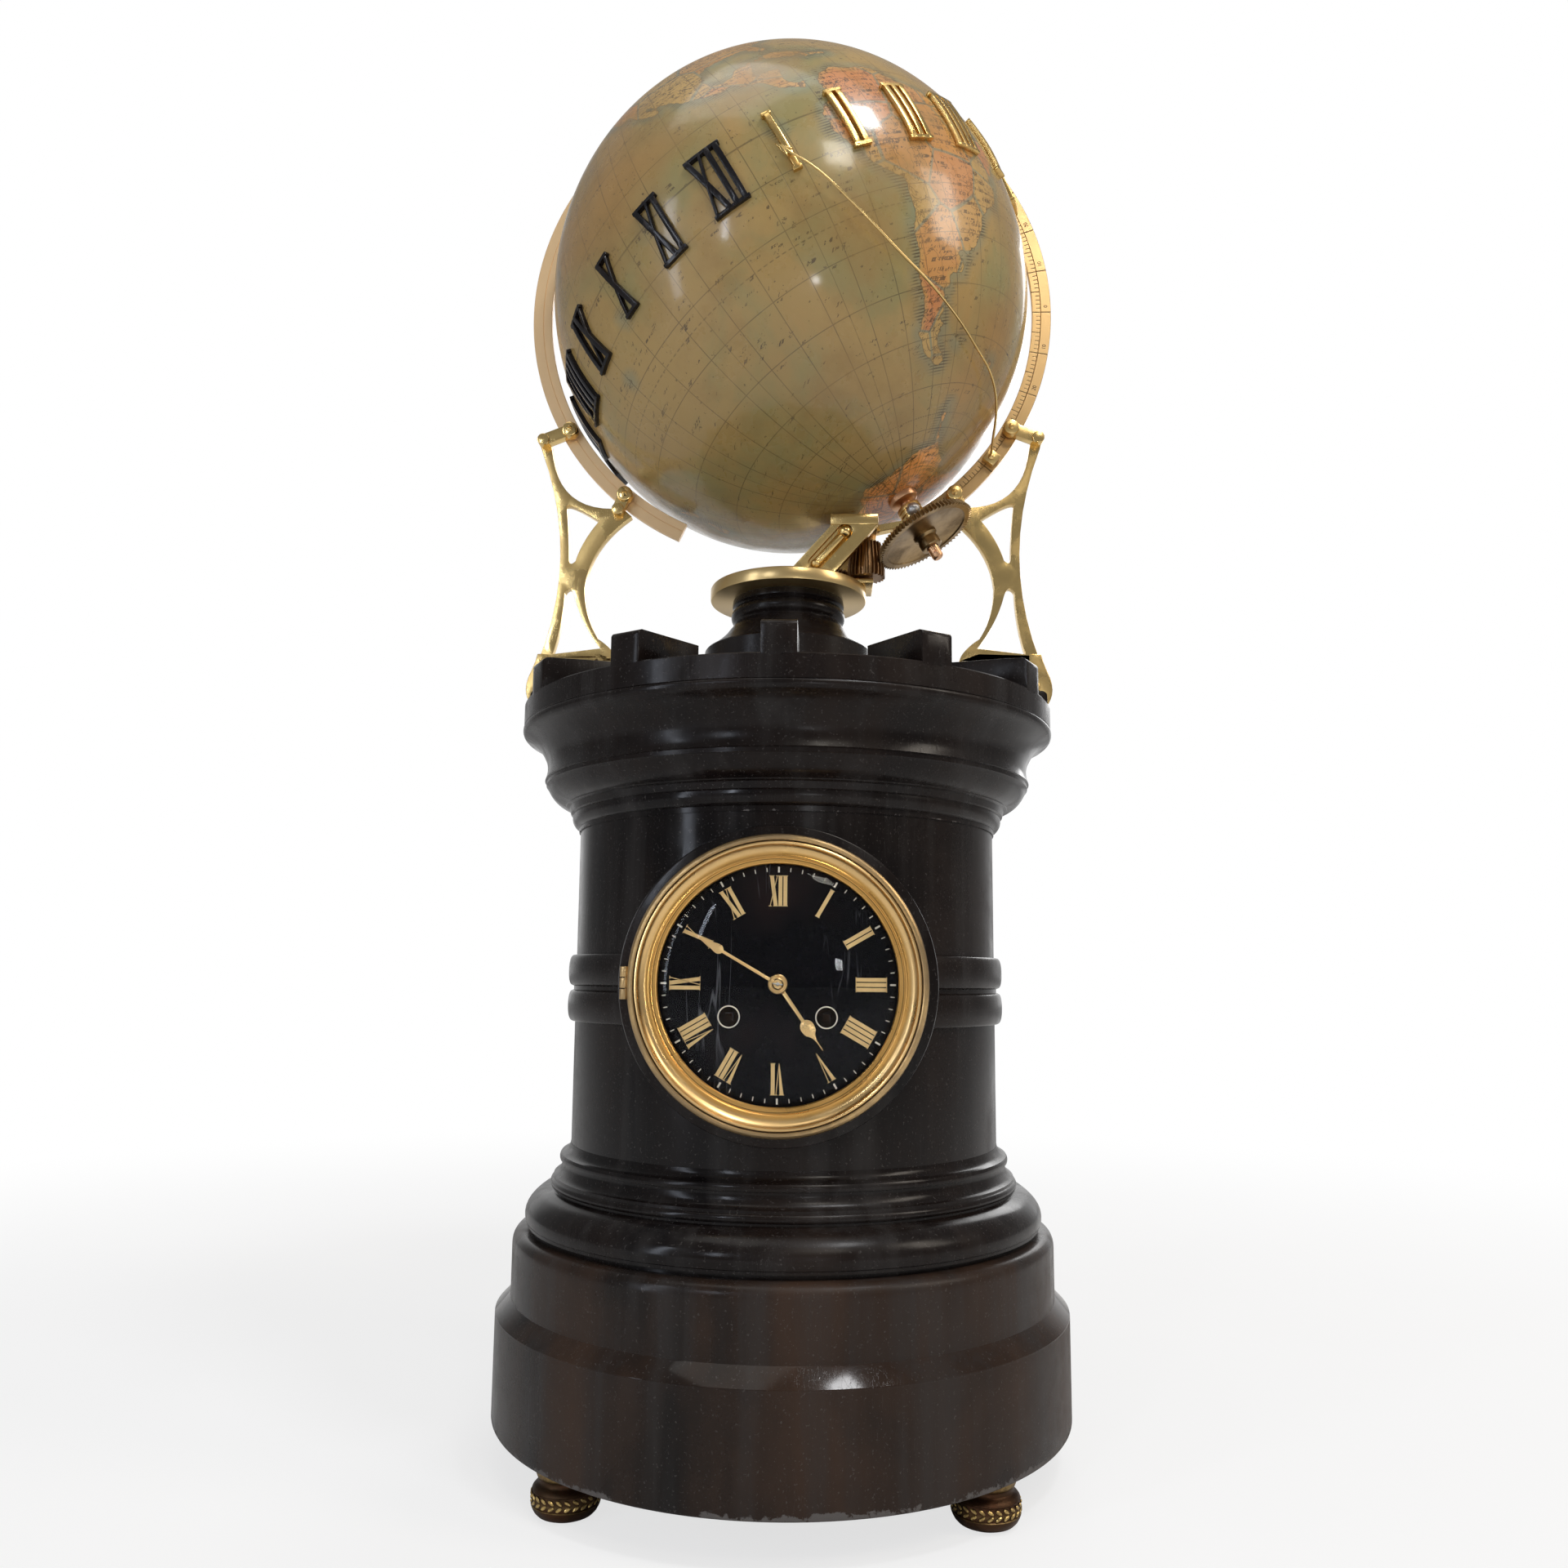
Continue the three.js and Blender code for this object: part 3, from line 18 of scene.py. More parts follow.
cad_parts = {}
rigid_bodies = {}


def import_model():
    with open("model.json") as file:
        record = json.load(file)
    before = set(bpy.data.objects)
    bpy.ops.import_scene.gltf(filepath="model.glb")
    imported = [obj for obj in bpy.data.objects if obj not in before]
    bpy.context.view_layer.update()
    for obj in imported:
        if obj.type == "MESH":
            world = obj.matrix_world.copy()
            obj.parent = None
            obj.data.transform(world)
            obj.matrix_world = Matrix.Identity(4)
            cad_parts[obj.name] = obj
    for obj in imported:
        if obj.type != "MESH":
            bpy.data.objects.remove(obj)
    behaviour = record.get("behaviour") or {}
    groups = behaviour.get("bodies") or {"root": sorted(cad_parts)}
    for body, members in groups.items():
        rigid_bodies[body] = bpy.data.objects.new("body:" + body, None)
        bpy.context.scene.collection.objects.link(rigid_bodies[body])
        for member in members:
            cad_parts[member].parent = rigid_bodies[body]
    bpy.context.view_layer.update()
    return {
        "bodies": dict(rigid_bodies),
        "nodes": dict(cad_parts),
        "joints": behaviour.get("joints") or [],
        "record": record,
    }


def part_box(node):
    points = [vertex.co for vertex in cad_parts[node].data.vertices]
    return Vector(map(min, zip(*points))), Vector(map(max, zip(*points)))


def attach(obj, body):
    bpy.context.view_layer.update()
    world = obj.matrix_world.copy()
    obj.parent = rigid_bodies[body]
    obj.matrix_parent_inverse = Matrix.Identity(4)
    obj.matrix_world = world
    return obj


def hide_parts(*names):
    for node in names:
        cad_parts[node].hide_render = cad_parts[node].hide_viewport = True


LOG = logging.getLogger("globe_clock")

Colour = tuple[float, float, float]
Outline = Sequence[tuple[float, float]]
Points = list[tuple[float, float]]
Point = tuple[float, float, float]
Piece = bpy.types.Object

TURN = 2 * math.pi
MERGE = 1e-6
DIAL_HEIGHT = 0.22369
GLOBE_CENTRE = (0.0, 0.0, 0.5944)
UP: Point = (0.0, 0.0, 1.0)
BACK: Point = (0.0, 1.0, 0.0)


# The bench: how a piece is modelled


class Bench:
    """Modelling steps that are shared by all pieces. Each works on the active object."""

    @staticmethod
    def clear() -> None:
        """Deselects every object."""
        bpy.ops.object.select_all(action="DESELECT")

    @staticmethod
    def take(piece: Piece) -> None:
        """Makes one object the only selected and the active one.

        Args:
            piece: the piece to work on.
        """
        Bench.clear()
        piece.select_set(True)
        bpy.context.view_layer.objects.active = piece

    @staticmethod
    def named(name: str) -> Piece:
        """Names the active object and its mesh.

        Args:
            name: the piece's name.

        Returns:
            The active object.
        """
        piece = bpy.context.view_layer.objects.active
        piece.name = name
        piece.data.name = name
        return piece

    @staticmethod
    def settle(piece: Piece) -> Piece:
        """Applies a piece's place, turn and size, so that its object ends at the origin.

        Args:
            piece: the piece.

        Returns:
            The same piece.
        """
        Bench.take(piece)
        bpy.ops.object.transform_apply(location=True, rotation=True, scale=True)
        return piece

    @staticmethod
    def moved(piece: Piece, place: Matrix) -> Piece:
        """Moves a settled piece and settles it again.

        Args:
            piece: the piece.
            place: where it goes.

        Returns:
            The same piece.
        """
        piece.matrix_world = place
        bpy.context.view_layer.update()
        return Bench.settle(piece)

    @staticmethod
    def edit() -> None:
        """Goes into edit mode with all selected."""
        bpy.ops.object.mode_set(mode="EDIT")
        bpy.ops.mesh.select_all(action="SELECT")

    @staticmethod
    def leave() -> None:
        """Goes back to object mode."""
        bpy.ops.object.mode_set(mode="OBJECT")

    @staticmethod
    def modify(piece: Piece, kind: str, **settings: object) -> Piece:
        """Adds a modifier, sets it and applies it.

        Args:
            piece: the object to change.
            kind: the modifier's type.
            settings: the modifier's own settings.

        Returns:
            The same object.
        """
        Bench.take(piece)
        modifier = piece.modifiers.new(kind.lower(), kind)
        for key, value in settings.items():
            setattr(modifier, key, value)
        bpy.ops.object.modifier_apply(modifier=modifier.name)
        return piece

    @staticmethod
    def bevel(piece: Piece, width: float, segments: int = 2, angle: float = 35) -> Piece:
        """Rounds the edges that are sharper than an angle in degrees.

        Args:
            piece: the piece.
            width: the bevel's width.
            segments: faces round each edge.
            angle: the least angle that is rounded.

        Returns:
            The same piece.
        """
        return Bench.modify(
            piece, "BEVEL", width=width, segments=segments, limit_method="ANGLE",
            angle_limit=math.radians(angle), harden_normals=False,
        )

    @staticmethod
    def boolean(piece: Piece, tool: Piece, operation: str = "DIFFERENCE") -> Piece:
        """Cuts a tool out of a piece, or adds it, and removes the tool.

        Args:
            piece: the piece.
            tool: what is cut out or added.
            operation: the modifier's operation.

        Returns:
            The same piece.
        """
        Bench.modify(piece, "BOOLEAN", object=tool, operation=operation, solver="EXACT")
        bpy.data.objects.remove(tool)
        return piece

    @staticmethod
    def join(name: str, pieces: Iterable[Piece]) -> Piece:
        """Makes one object of several.

        Args:
            name: the name of the joined piece.
            pieces: the objects to join.

        Returns:
            The joined object.
        """
        pieces = list(pieces)
        Bench.clear()
        for piece in pieces:
            piece.select_set(True)
        bpy.context.view_layer.objects.active = pieces[0]
        if len(pieces) > 1:
            bpy.ops.object.join()
        return Bench.named(name)

    @staticmethod
    def copy(piece: Piece, name: str, place: Matrix) -> Piece:
        """Copies a settled piece, mesh and all, to a new place.

        Args:
            piece: the object to copy.
            name: the copy's name.
            place: where the copy goes.

        Returns:
            The copy, settled.
        """
        Bench.take(piece)
        bpy.ops.object.duplicate(linked=False)
        twin = Bench.named(name)
        Bench.moved(twin, place)
        if place.determinant() < 0:
            Bench.outward(twin)
        return twin

    @staticmethod
    def outward(piece: Piece) -> Piece:
        """Merges doubled points and turns every face outwards.

        Args:
            piece: the piece.

        Returns:
            The same piece.
        """
        Bench.take(piece)
        Bench.edit()
        bpy.ops.mesh.remove_doubles(threshold=MERGE)
        bpy.ops.mesh.normals_make_consistent(inside=False)
        Bench.leave()
        return piece

    @staticmethod
    def smooth(piece: Piece, angle: float = 32) -> Piece:
        """Shades smoothly over edges that are flatter than an angle in degrees.

        Args:
            piece: the piece.
            angle: the least angle that stays sharp.

        Returns:
            The same piece.
        """
        Bench.take(piece)
        bpy.ops.object.shade_smooth_by_angle(angle=math.radians(angle))
        return piece

    @staticmethod
    def traced(points: Sequence[Point], closed: bool) -> None:
        """Draws a chain of edges in a new object and stays in edit mode with all selected.

        Args:
            points: the chain's points.
            closed: whether the last point is joined to the first.
        """
        Bench.clear()
        bpy.ops.mesh.primitive_plane_add(size=1e-3, location=points[0])
        bpy.ops.object.transform_apply(location=True, rotation=False, scale=False)
        Bench.edit()
        bpy.ops.mesh.merge(type="CENTER")
        for before, after in zip(points, points[1:]):
            step = tuple(b - a for a, b in zip(before, after))
            bpy.ops.mesh.extrude_region_move(TRANSFORM_OT_translate={"value": step})
        bpy.ops.mesh.select_all(action="SELECT")
        if closed:
            Bench.close_chain()

    @staticmethod
    def close_chain() -> None:
        """Joins the two loose ends of the chain that is being edited."""
        mesh = bpy.context.edit_object.data
        Bench.leave()
        uses = [0] * len(mesh.vertices)
        for edge in mesh.edges:
            for corner in edge.vertices:
                uses[corner] += 1
        for vertex in mesh.vertices:
            vertex.select = uses[vertex.index] == 1
        for edge in mesh.edges:
            edge.select = False
        bpy.ops.object.mode_set(mode="EDIT")
        bpy.ops.mesh.select_mode(type="VERT")
        bpy.ops.mesh.edge_face_add()
        bpy.ops.mesh.select_all(action="SELECT")

    @staticmethod
    def spun(
        name: str, outline: Outline, axis: Point = UP, centre: Point = (0, 0, 0), steps: int = 128,
        closed: bool = False,
    ) -> Piece:
        """Turns an outline round an axis.

        Args:
            name: the piece's name.
            outline: pairs of radius and distance along the axis.
            axis: UP for a piece turned about a vertical line, BACK for one about a line along Y.
            centre: a point of the axis, from which the distances are counted.
            steps: how many steps one turn takes.
            closed: whether the outline closes on itself, as a ring's does.

        Returns:
            The turned piece.
        """
        x, y, z = centre
        if axis == UP:
            points = [(x + r, y, z + h) for r, h in outline]
        else:
            points = [(x + r, y + h, z) for r, h in outline]
        Bench.traced(points, closed)
        bpy.ops.mesh.spin(steps=steps, angle=TURN, center=centre, axis=axis)
        Bench.leave()
        return Bench.outward(Bench.named(name))

    @staticmethod
    def plate(
        name: str, loops: Sequence[Outline], front: float, thickness: float, bevel: float = 0.0,
        segments: int = 2,
    ) -> Piece:
        """Cuts a plate that stands in X and Z.

        Args:
            name: the piece's name.
            loops: the outline, then any holes, as pairs of X and Z.
            front: the Y of the front face.
            thickness: how far the plate goes back from there.
            bevel: the width of its rounded edges.
            segments: how many faces round each edge.

        Returns:
            The plate.
        """
        parts = []
        for loop in loops:
            Bench.traced([(x, front, z) for x, z in loop], True)
            Bench.leave()
            parts.append(bpy.context.view_layer.objects.active)
        piece = Bench.join(name, parts)
        Bench.edit()
        bpy.ops.mesh.fill(use_beauty=True)
        bpy.ops.mesh.select_all(action="SELECT")
        bpy.ops.mesh.extrude_region_move(TRANSFORM_OT_translate={"value": (0, thickness, 0)})
        Bench.leave()
        Bench.outward(piece)
        if bevel:
            Bench.bevel(piece, bevel, segments, 50)
        return piece

    @staticmethod
    def rod(
        name: str, start: Point, end: Point, radius: float, sides: int = 48, bevel: float = 2e-4,
    ) -> Piece:
        """Makes a round rod with rounded ends between two points.

        Args:
            name: the piece's name.
            start: the middle of one end.
            end: the middle of the other.
            radius: its radius.
            sides: its faces.
            bevel: the width of its rounded edges.

        Returns:
            The rod.
        """
        a, b = Vector(start), Vector(end)
        Bench.clear()
        bpy.ops.mesh.primitive_cylinder_add(vertices=sides, radius=radius, depth=(b - a).length)
        turn = (b - a).to_track_quat("Z", "Y").to_matrix().to_4x4()
        piece = Bench.moved(Bench.named(name), Matrix.Translation((a + b) / 2) @ turn)
        if bevel:
            Bench.bevel(piece, bevel, 2, 50)
        return piece

    @staticmethod
    def block(name: str, low: Point, high: Point, bevel: float = 2e-4) -> Piece:
        """Makes a block with rounded edges between two corners.

        Args:
            name: the piece's name.
            low: its lowest corner.
            high: its highest corner.
            bevel: the width of its rounded edges.

        Returns:
            The block.
        """
        Bench.clear()
        middle = [(a + b) / 2 for a, b in zip(low, high)]
        bpy.ops.mesh.primitive_cube_add(size=1, location=middle)
        piece = Bench.named(name)
        piece.scale = [b - a for a, b in zip(low, high)]
        Bench.settle(piece)
        if bevel:
            Bench.bevel(piece, bevel, 2, 50)
        return piece

    @staticmethod
    def ball(name: str, spot: Point, radius: float, segments: int = 40) -> Piece:
        """Makes a ball with half as many rings as segments.

        Args:
            name: the piece's name.
            spot: its middle.
            radius: its radius.
            segments: its faces round.

        Returns:
            The ball.
        """
        Bench.clear()
        bpy.ops.mesh.primitive_uv_sphere_add(
            segments=segments, ring_count=segments // 2, radius=radius, location=spot)
        return Bench.settle(Bench.named(name))


def arc(
    x: float, z: float, radius: float, start: float, end: float, steps: int,
) -> Points:
    """Points on an arc between two angles in degrees.

    Args:
        x: the middle's X.
        z: its Z.
        radius: the arc's radius.
        start: where it starts.
        end: where it ends.
        steps: how many steps it takes.

    Returns:
        The points.
    """
    return [
        (
            x + radius * math.cos(math.radians(start + (end - start) * k / steps)),
            z + radius * math.sin(math.radians(start + (end - start) * k / steps)),
        )
        for k in range(steps + 1)
    ]


def mm(points: Outline) -> Points:
    """An outline of millimetres in metres."""
    return [(a / 1000, b / 1000) for a, b in points]


def bar(x0: float, z0: float, x1: float, z1: float) -> Points:
    """The four corners of an upright rectangle."""
    return [(x0, z0), (x1, z0), (x1, z1), (x0, z1)]


def curve(start: Sequence[float], *legs: Sequence[float], steps: int = 8) -> Points:
    """Points along legs that are straight (2 numbers) or bend once (4 numbers, a pull and an end).

    Args:
        start: the first point.
        legs: each leg's own numbers.
        steps: how many points a bent leg gets.

    Returns:
        The points of the whole line.
    """
    points = [(start[0], start[1])]
    for leg in legs:
        x0, z0 = points[-1]
        if len(leg) == 2:
            points.append((leg[0], leg[1]))
            continue
        px, pz, x1, z1 = leg
        for k in range(1, steps + 1):
            t = k / steps
            points.append((
                (1 - t) ** 2 * x0 + 2 * t * (1 - t) * px + t * t * x1,
                (1 - t) ** 2 * z0 + 2 * t * (1 - t) * pz + t * t * z1,
            ))
    return points


# Finishes


class Value:
    """A node's output, on which sums are written as on a number; | gives the larger of two."""

    def __init__(self, sheet: "Sheet", socket: bpy.types.NodeSocket) -> None:
        """Keeps the output and the sheet that it is on."""
        self.sheet, self.socket = sheet, socket

    def __add__(self, other: object) -> "Value":
        """The sum."""
        return self.sheet.sum("ADD", self, other)

    def __sub__(self, other: object) -> "Value":
        """This less the other."""
        return self.sheet.sum("SUBTRACT", self, other)

    def __rsub__(self, other: object) -> "Value":
        """The other less this."""
        return self.sheet.sum("SUBTRACT", other, self)

    def __mul__(self, other: object) -> "Value":
        """The product."""
        return self.sheet.sum("MULTIPLY", self, other)

    def __truediv__(self, other: object) -> "Value":
        """This over the other."""
        return self.sheet.sum("DIVIDE", self, other)

    def __rtruediv__(self, other: object) -> "Value":
        """The other over this."""
        return self.sheet.sum("DIVIDE", other, self)

    def __or__(self, other: object) -> "Value":
        """The larger of the two."""
        return self.sheet.sum("MAXIMUM", self, other)

    def __lt__(self, other: object) -> "Value":
        """1 where this is below the other."""
        return self.sheet.sum("LESS_THAN", self, other)

    def __gt__(self, other: object) -> "Value":
        """1 where this is above the other."""
        return self.sheet.sum("GREATER_THAN", self, other)

    def __abs__(self) -> "Value":
        """Its size without its sign."""
        return self.sheet.sum("ABSOLUTE", self)


class Sheet:
    """A node tree that is being laid out."""

    def __init__(self, tree: bpy.types.NodeTree) -> None:
        """Starts on an empty tree."""
        self.tree = tree
        tree.nodes.clear()

    def put(self, kind: str, settings: dict | None = None, **inputs: object) -> bpy.types.Node:
        """Adds a node, sets it and feeds its inputs.

        Args:
            kind: the node's type, without the ShaderNode that it starts with.
            settings: the node's own properties.
            inputs: numbers or Values by input name, with _ for a blank, or i0, i1 by place.

        Returns:
            The node.
        """
        node = self.tree.nodes.new(kind if kind.startswith("NodeGroup") else "ShaderNode" + kind)
        for key, value in (settings or {}).items():
            setattr(node, key, value)
        for key, value in inputs.items():
            by_place = key[0] == "i" and key[1:].isdigit()
            socket = node.inputs[int(key[1:])] if by_place else node.inputs[key.replace("_", " ")]
            if isinstance(value, Value):
                self.tree.links.new(value.socket, socket)
            else:
                socket.default_value = value
        return node

    def outs(self, node: bpy.types.Node, *names: str) -> list[Value]:
        """A node's outputs of the given names, or else all of them."""
        return [Value(self, node.outputs[name]) for name in names or range(len(node.outputs))]

    def get(self, kind: str, settings: dict | None = None, out: str | int = 0, **inputs: object) -> Value:
        """Adds a node as put does, and gives one of its outputs."""
        return Value(self, self.put(kind, settings, **inputs).outputs[out])

    def sum(self, operation: str, *values: object) -> Value:
        """A Math node's output."""
        return self.get("Math", {"operation": operation}, **{f"i{k}": value for k, value in enumerate(values)})

    def vector(self, operation: str, *values: object) -> Value:
        """A Vector Math node's output: a number for a length or a dot product, or else a vector."""
        out = "Value" if operation in ("LENGTH", "DOT_PRODUCT") else "Vector"
        return self.get(
            "VectorMath", {"operation": operation}, out, **{f"i{k}": value for k, value in enumerate(values)})

    def spread(self, value: Value, low: float, high: float, bottom: float = 0.0, top: float = 1.0) -> Value:
        """Maps a value smoothly from one range to another.

        Args:
            value: the value.
            low: where the first range starts.
            high: where it ends.
            bottom: what low and all below it becomes.
            top: what high and all above it becomes.

        Returns:
            The mapped value.
        """
        return self.get(
            "MapRange", {"interpolation_type": "SMOOTHSTEP", "clamp": True},
            Value=value, From_Min=low, From_Max=high, To_Min=bottom, To_Max=top)

    def mix(self, share: Value, first: Colour | Value, second: Colour | Value) -> Value:
        """Mixes two colours.

        Args:
            share: how much of the second there is, 0 to 1.
            first: the first colour.
            second: the second colour.

        Returns:
            The mixed colour.
        """
        first, second = (c if isinstance(c, Value) else (*c, 1.0) for c in (first, second))
        return self.get("Mix", {"data_type": "RGBA", "clamp_factor": True}, 2, i0=share, i6=first, i7=second)

    def noise(self, scale: float | Value, detail: float = 3, roughness: float = 0.55, **inputs: object) -> Value:
        """A Noise Texture's value, on the given vector or else on Object coordinates.

        Args:
            scale: the noise's scale.
            detail: its detail.
            roughness: its roughness.
            inputs: its other inputs.

        Returns:
            The noise.
        """
        if "Vector" not in inputs:
            inputs["Vector"] = self.place()
        return self.get("TexNoise", Scale=scale, Detail=detail, Roughness=roughness, **inputs)

    def bump(self, strength: float, distance: float, height: Value) -> Value:
        """The normals that a height in metres gives the surface."""
        return self.get("Bump", Strength=strength, Distance=distance, Height=height)

    def place(self) -> Value:
        """The Object coordinates, in metres."""
        return self.get("TexCoord", out="Object")

    def parts(self, vector: Value) -> list[Value]:
        """The X, Y and Z of a vector."""
        return self.outs(self.put("SeparateXYZ", Vector=vector))

    def group(self, tree: bpy.types.NodeTree, **inputs: object) -> list[Value]:
        """Places a node group and gives its outputs."""
        return self.outs(self.put("Group", {"node_tree": tree}, **inputs))

    def rays(self) -> tuple[Value, Value, Value]:
        """Masks of what the camera sees, what it sees through glass, and what gloss mirrors.

        Returns:
            The three masks.
        """
        names = ("Is Camera Ray", "Is Transmission Ray", "Is Glossy Ray", "Glossy Depth", "Diffuse Depth")
        camera, clear, glossy, mirrored, scattered = self.outs(self.put("LightPath"), *names)
        return camera, (mirrored + scattered < 0.5) * clear, glossy


def grouped(
    name: str, inputs: dict[str, float], outputs: Sequence[str], lay: Callable[[Sheet, dict], dict],
) -> bpy.types.NodeTree:
    """Makes a shader node group once and returns it afterwards.

    Args:
        name: the group's name.
        inputs: each input's name and usual value.
        outputs: the names of its outputs, all of them plain values.
        lay: lays the nodes out and returns a Value for each output.

    Returns:
        The group.
    """
    if name in bpy.data.node_groups:
        return bpy.data.node_groups[name]
    tree = bpy.data.node_groups.new(name, "ShaderNodeTree")
    for key, value in inputs.items():
        socket = tree.interface.new_socket(key, in_out="INPUT", socket_type="NodeSocketFloat")
        socket.default_value = value
    for key in outputs:
        tree.interface.new_socket(key, in_out="OUTPUT", socket_type="NodeSocketFloat")
    sheet = Sheet(tree)
    given = dict(zip(inputs, sheet.outs(sheet.put("NodeGroupInput"), *inputs)))
    leave = sheet.put("NodeGroupOutput")
    for key, value in lay(sheet, given).items():
        tree.links.new(value.socket, leave.inputs[key])
    return tree


def scratch_group() -> bpy.types.NodeTree:
    """Fine straight scratches in three directions: a mask of them.

    Returns:
        The group.
    """

    def lay(sheet: Sheet, given: dict) -> dict:
        """Lays the scratches of each direction, then keeps them in patches.

        Args:
            sheet: the group's nodes.
            given: its inputs by name.

        Returns:
            Its outputs by name.
        """
        marks = []
        for turn, stretch in ((0.4, (12, 5, 1)), (1.2, (9, 7, 1.3)), (2.7, (14, 4, 0.8))):
            mapped = sheet.get("Mapping", Vector=sheet.place(), Rotation=(turn * 0.1, turn, 0), Scale=stretch)
            line = abs(sheet.noise(given["Scale"], 2, 0.5, Vector=mapped) - 0.5)
            marks.append(sheet.spread(line, 0.0, given["Width"], 1.0, 0.0))
        here = sheet.spread(sheet.noise(given["Patches"], 2), 0.5, 0.62)
        return {"Mask": (marks[0] | marks[1] | marks[2]) * here}

    return grouped("scratches", {"Scale": 30.0, "Width": 0.004, "Patches": 25.0}, ["Mask"], lay)


def blotch_group() -> bpy.types.NodeTree:
    """Uneven patches in two sizes: a broad mask and a fine one.

    Returns:
        The group.
    """

    def lay(sheet: Sheet, given: dict) -> dict:
        """Lays both masks.

        Args:
            sheet: the group's nodes.
            given: its inputs by name.

        Returns:
            Its outputs by name.
        """
        broad = sheet.spread(sheet.noise(given["Broad"], 4, 0.6, Distortion=0.4), 0.36, 0.66)
        fine = sheet.spread(sheet.noise(given["Fine"], 5, 0.65), 0.35, 0.7)
        return {"Broad": broad, "Fine": fine}

    return grouped("blotches", {"Broad": 12.0, "Fine": 90.0}, ["Broad", "Fine"], lay)


def lathe_group() -> bpy.types.NodeTree:
    """Fine turning marks round the dial's axis: their height.

    Returns:
        The group.
    """

    def lay(sheet: Sheet, given: dict) -> dict:
        """Lays noise that depends on the distance from the axis alone.

        Args:
            sheet: the group's nodes.
            given: its inputs by name.

        Returns:
            Its outputs by name.
        """
        x, _, z = sheet.parts(sheet.place())
        up = z - given["Axis Height"]
        line = sheet.get("CombineXYZ", X=sheet.sum("SQRT", x * x + up * up))
        return {"Height": sheet.noise(given["Scale"], 3, 0.7, Vector=line)}

    return grouped("turning marks", {"Axis Height": DIAL_HEIGHT, "Scale": 4000.0}, ["Height"], lay)


class Finish:
    """A finish that can be laid on any number of pieces."""

    name: str = "finish"

    def lay(self, sheet: Sheet) -> Value:
        """Lays the nodes out and returns the surface's shader socket."""
        raise NotImplementedError

    def material(self) -> bpy.types.Material:
        """The finish's material, made the first time.

        Returns:
            The material.
        """
        if self.name in bpy.data.materials:
            return bpy.data.materials[self.name]
        material = bpy.data.materials.new(self.name)
        material.use_nodes = True
        sheet = Sheet(material.node_tree)
        surface = self.lay(sheet)
        sheet.put("OutputMaterial", Surface=surface)
        return material

    def dress(self, *pieces: Piece) -> None:
        """Puts the finish on pieces, as their only one.

        Args:
            pieces: the pieces.
        """
        material = self.material()
        for piece in pieces:
            piece.data.materials.clear()
            piece.data.materials.append(material)


@dataclass(frozen=True)
class PolishedSlate(Finish):
    """Black slate, polished and waxed and duller where it is worn, with painted reflections: a brownish tint in
    patches and vertical streaks, and pale streaks of sheen.
    """

    name: str = "polished slate"
    deep: Colour = (0.0045, 0.0038, 0.0042)
    # painted reflection: the brownish room mirrored in the polished stone
    brown: Colour = (0.026, 0.015, 0.010)
    chip: Colour = (0.11, 0.10, 0.095)
    gloss: float = 0.10
    dull: float = 0.24
    brownness: float = 0.5
    chip_level: float = -1.0
    chip_reach: float = 0.004
    chip_from: float = 0.44
    # painted reflection: the pale grey of light mirrored in vertical streaks
    bloom: Colour = (0.034, 0.031, 0.030)
    polished: tuple[float, float] = (-1.0, -1.0)

    def lay(self, sheet: Sheet) -> Value:
        """Mixes black stone with a painted brownish reflection, pale painted streaks of sheen, hairlines and pale
        chips.

        Args:
            sheet: the material's nodes.

        Returns:
            The surface's shader.
        """
        broad, fine = sheet.group(blotch_group(), Broad=9.0, Fine=110.0)
        # Painted reflection: a brownish tint in broad patches and vertical streaks stands in for the room mirrored in
        # the stone; the streaks also vary the roughness.
        upright = sheet.get("Mapping", Vector=sheet.place(), Scale=(30.0, 30.0, 2.2))
        reflection_streak = sheet.spread(sheet.noise(1.0, 3, 0.55, Vector=upright), 0.35, 0.68)
        brown = (broad * 0.55 + reflection_streak * 0.45) * self.brownness
        colour = sheet.mix(brown, self.deep, self.brown)
        # Painted reflection: pale vertical streaks stand in for light mirrored on the polished walls.
        sheen_streak = sheet.spread(sheet.noise(1.7, 4, 0.6, Vector=upright), 0.45, 0.72, 0.0, 0.55)
        colour = sheet.mix(sheen_streak, colour, self.bloom)
        speck = sheet.spread(sheet.noise(900.0, 2, 0.5), 0.62, 0.74)
        colour = sheet.mix(speck * 0.35, colour, self.chip)
        scratches = sheet.group(scratch_group(), Scale=26.0, Width=0.003, Patches=16.0)[0]
        colour = sheet.mix(scratches * 0.12, colour, self.chip)
        rough = sheet.spread(fine, 0, 1, self.gloss, self.gloss + 0.05) + sheet.spread(
            broad, 0, 1, 0.0, self.dull - self.gloss)
        rough = rough + scratches * 0.15
        rough = rough + reflection_streak * 0.10
        if self.polished[0] >= 0:
            off = abs(sheet.parts(sheet.place())[2] - sum(self.polished) / 2)
            reach = (self.polished[1] - self.polished[0]) / 2
            rough = rough * sheet.spread(off, reach, reach + 0.0002, 0.3, 1.0)
        height = scratches * -0.4
        if self.chip_level >= 0:
            mask = self.chips(sheet)
            colour = sheet.mix(mask, colour, self.chip)
            rough = rough + mask * 0.4
            height = height - mask
        ripple = sheet.noise(55.0, 3, 0.5)
        height = height + ripple * 0.6
        bump = sheet.bump(0.10, 0.0006, height)
        return sheet.get(
            "BsdfPrincipled", Base_Color=colour, Roughness=rough, Normal=bump, Specular_IOR_Level=0.17, IOR=1.5)

    def chips(self, sheet: Sheet) -> Value:
        """A mask of small chips near one level.

        Args:
            sheet: the material's nodes.

        Returns:
            The mask.
        """
        near = abs(sheet.parts(sheet.place())[2] - self.chip_level)
        edge = sheet.spread(near, 0.0, self.chip_reach, 1.0, 0.0)
        grain = sheet.noise(160.0, 5, 0.7)
        where = sheet.noise(14.0, 2, 0.5)
        total = grain * edge * (where + 0.35)
        return sheet.spread(total, self.chip_from, self.chip_from + 0.06)


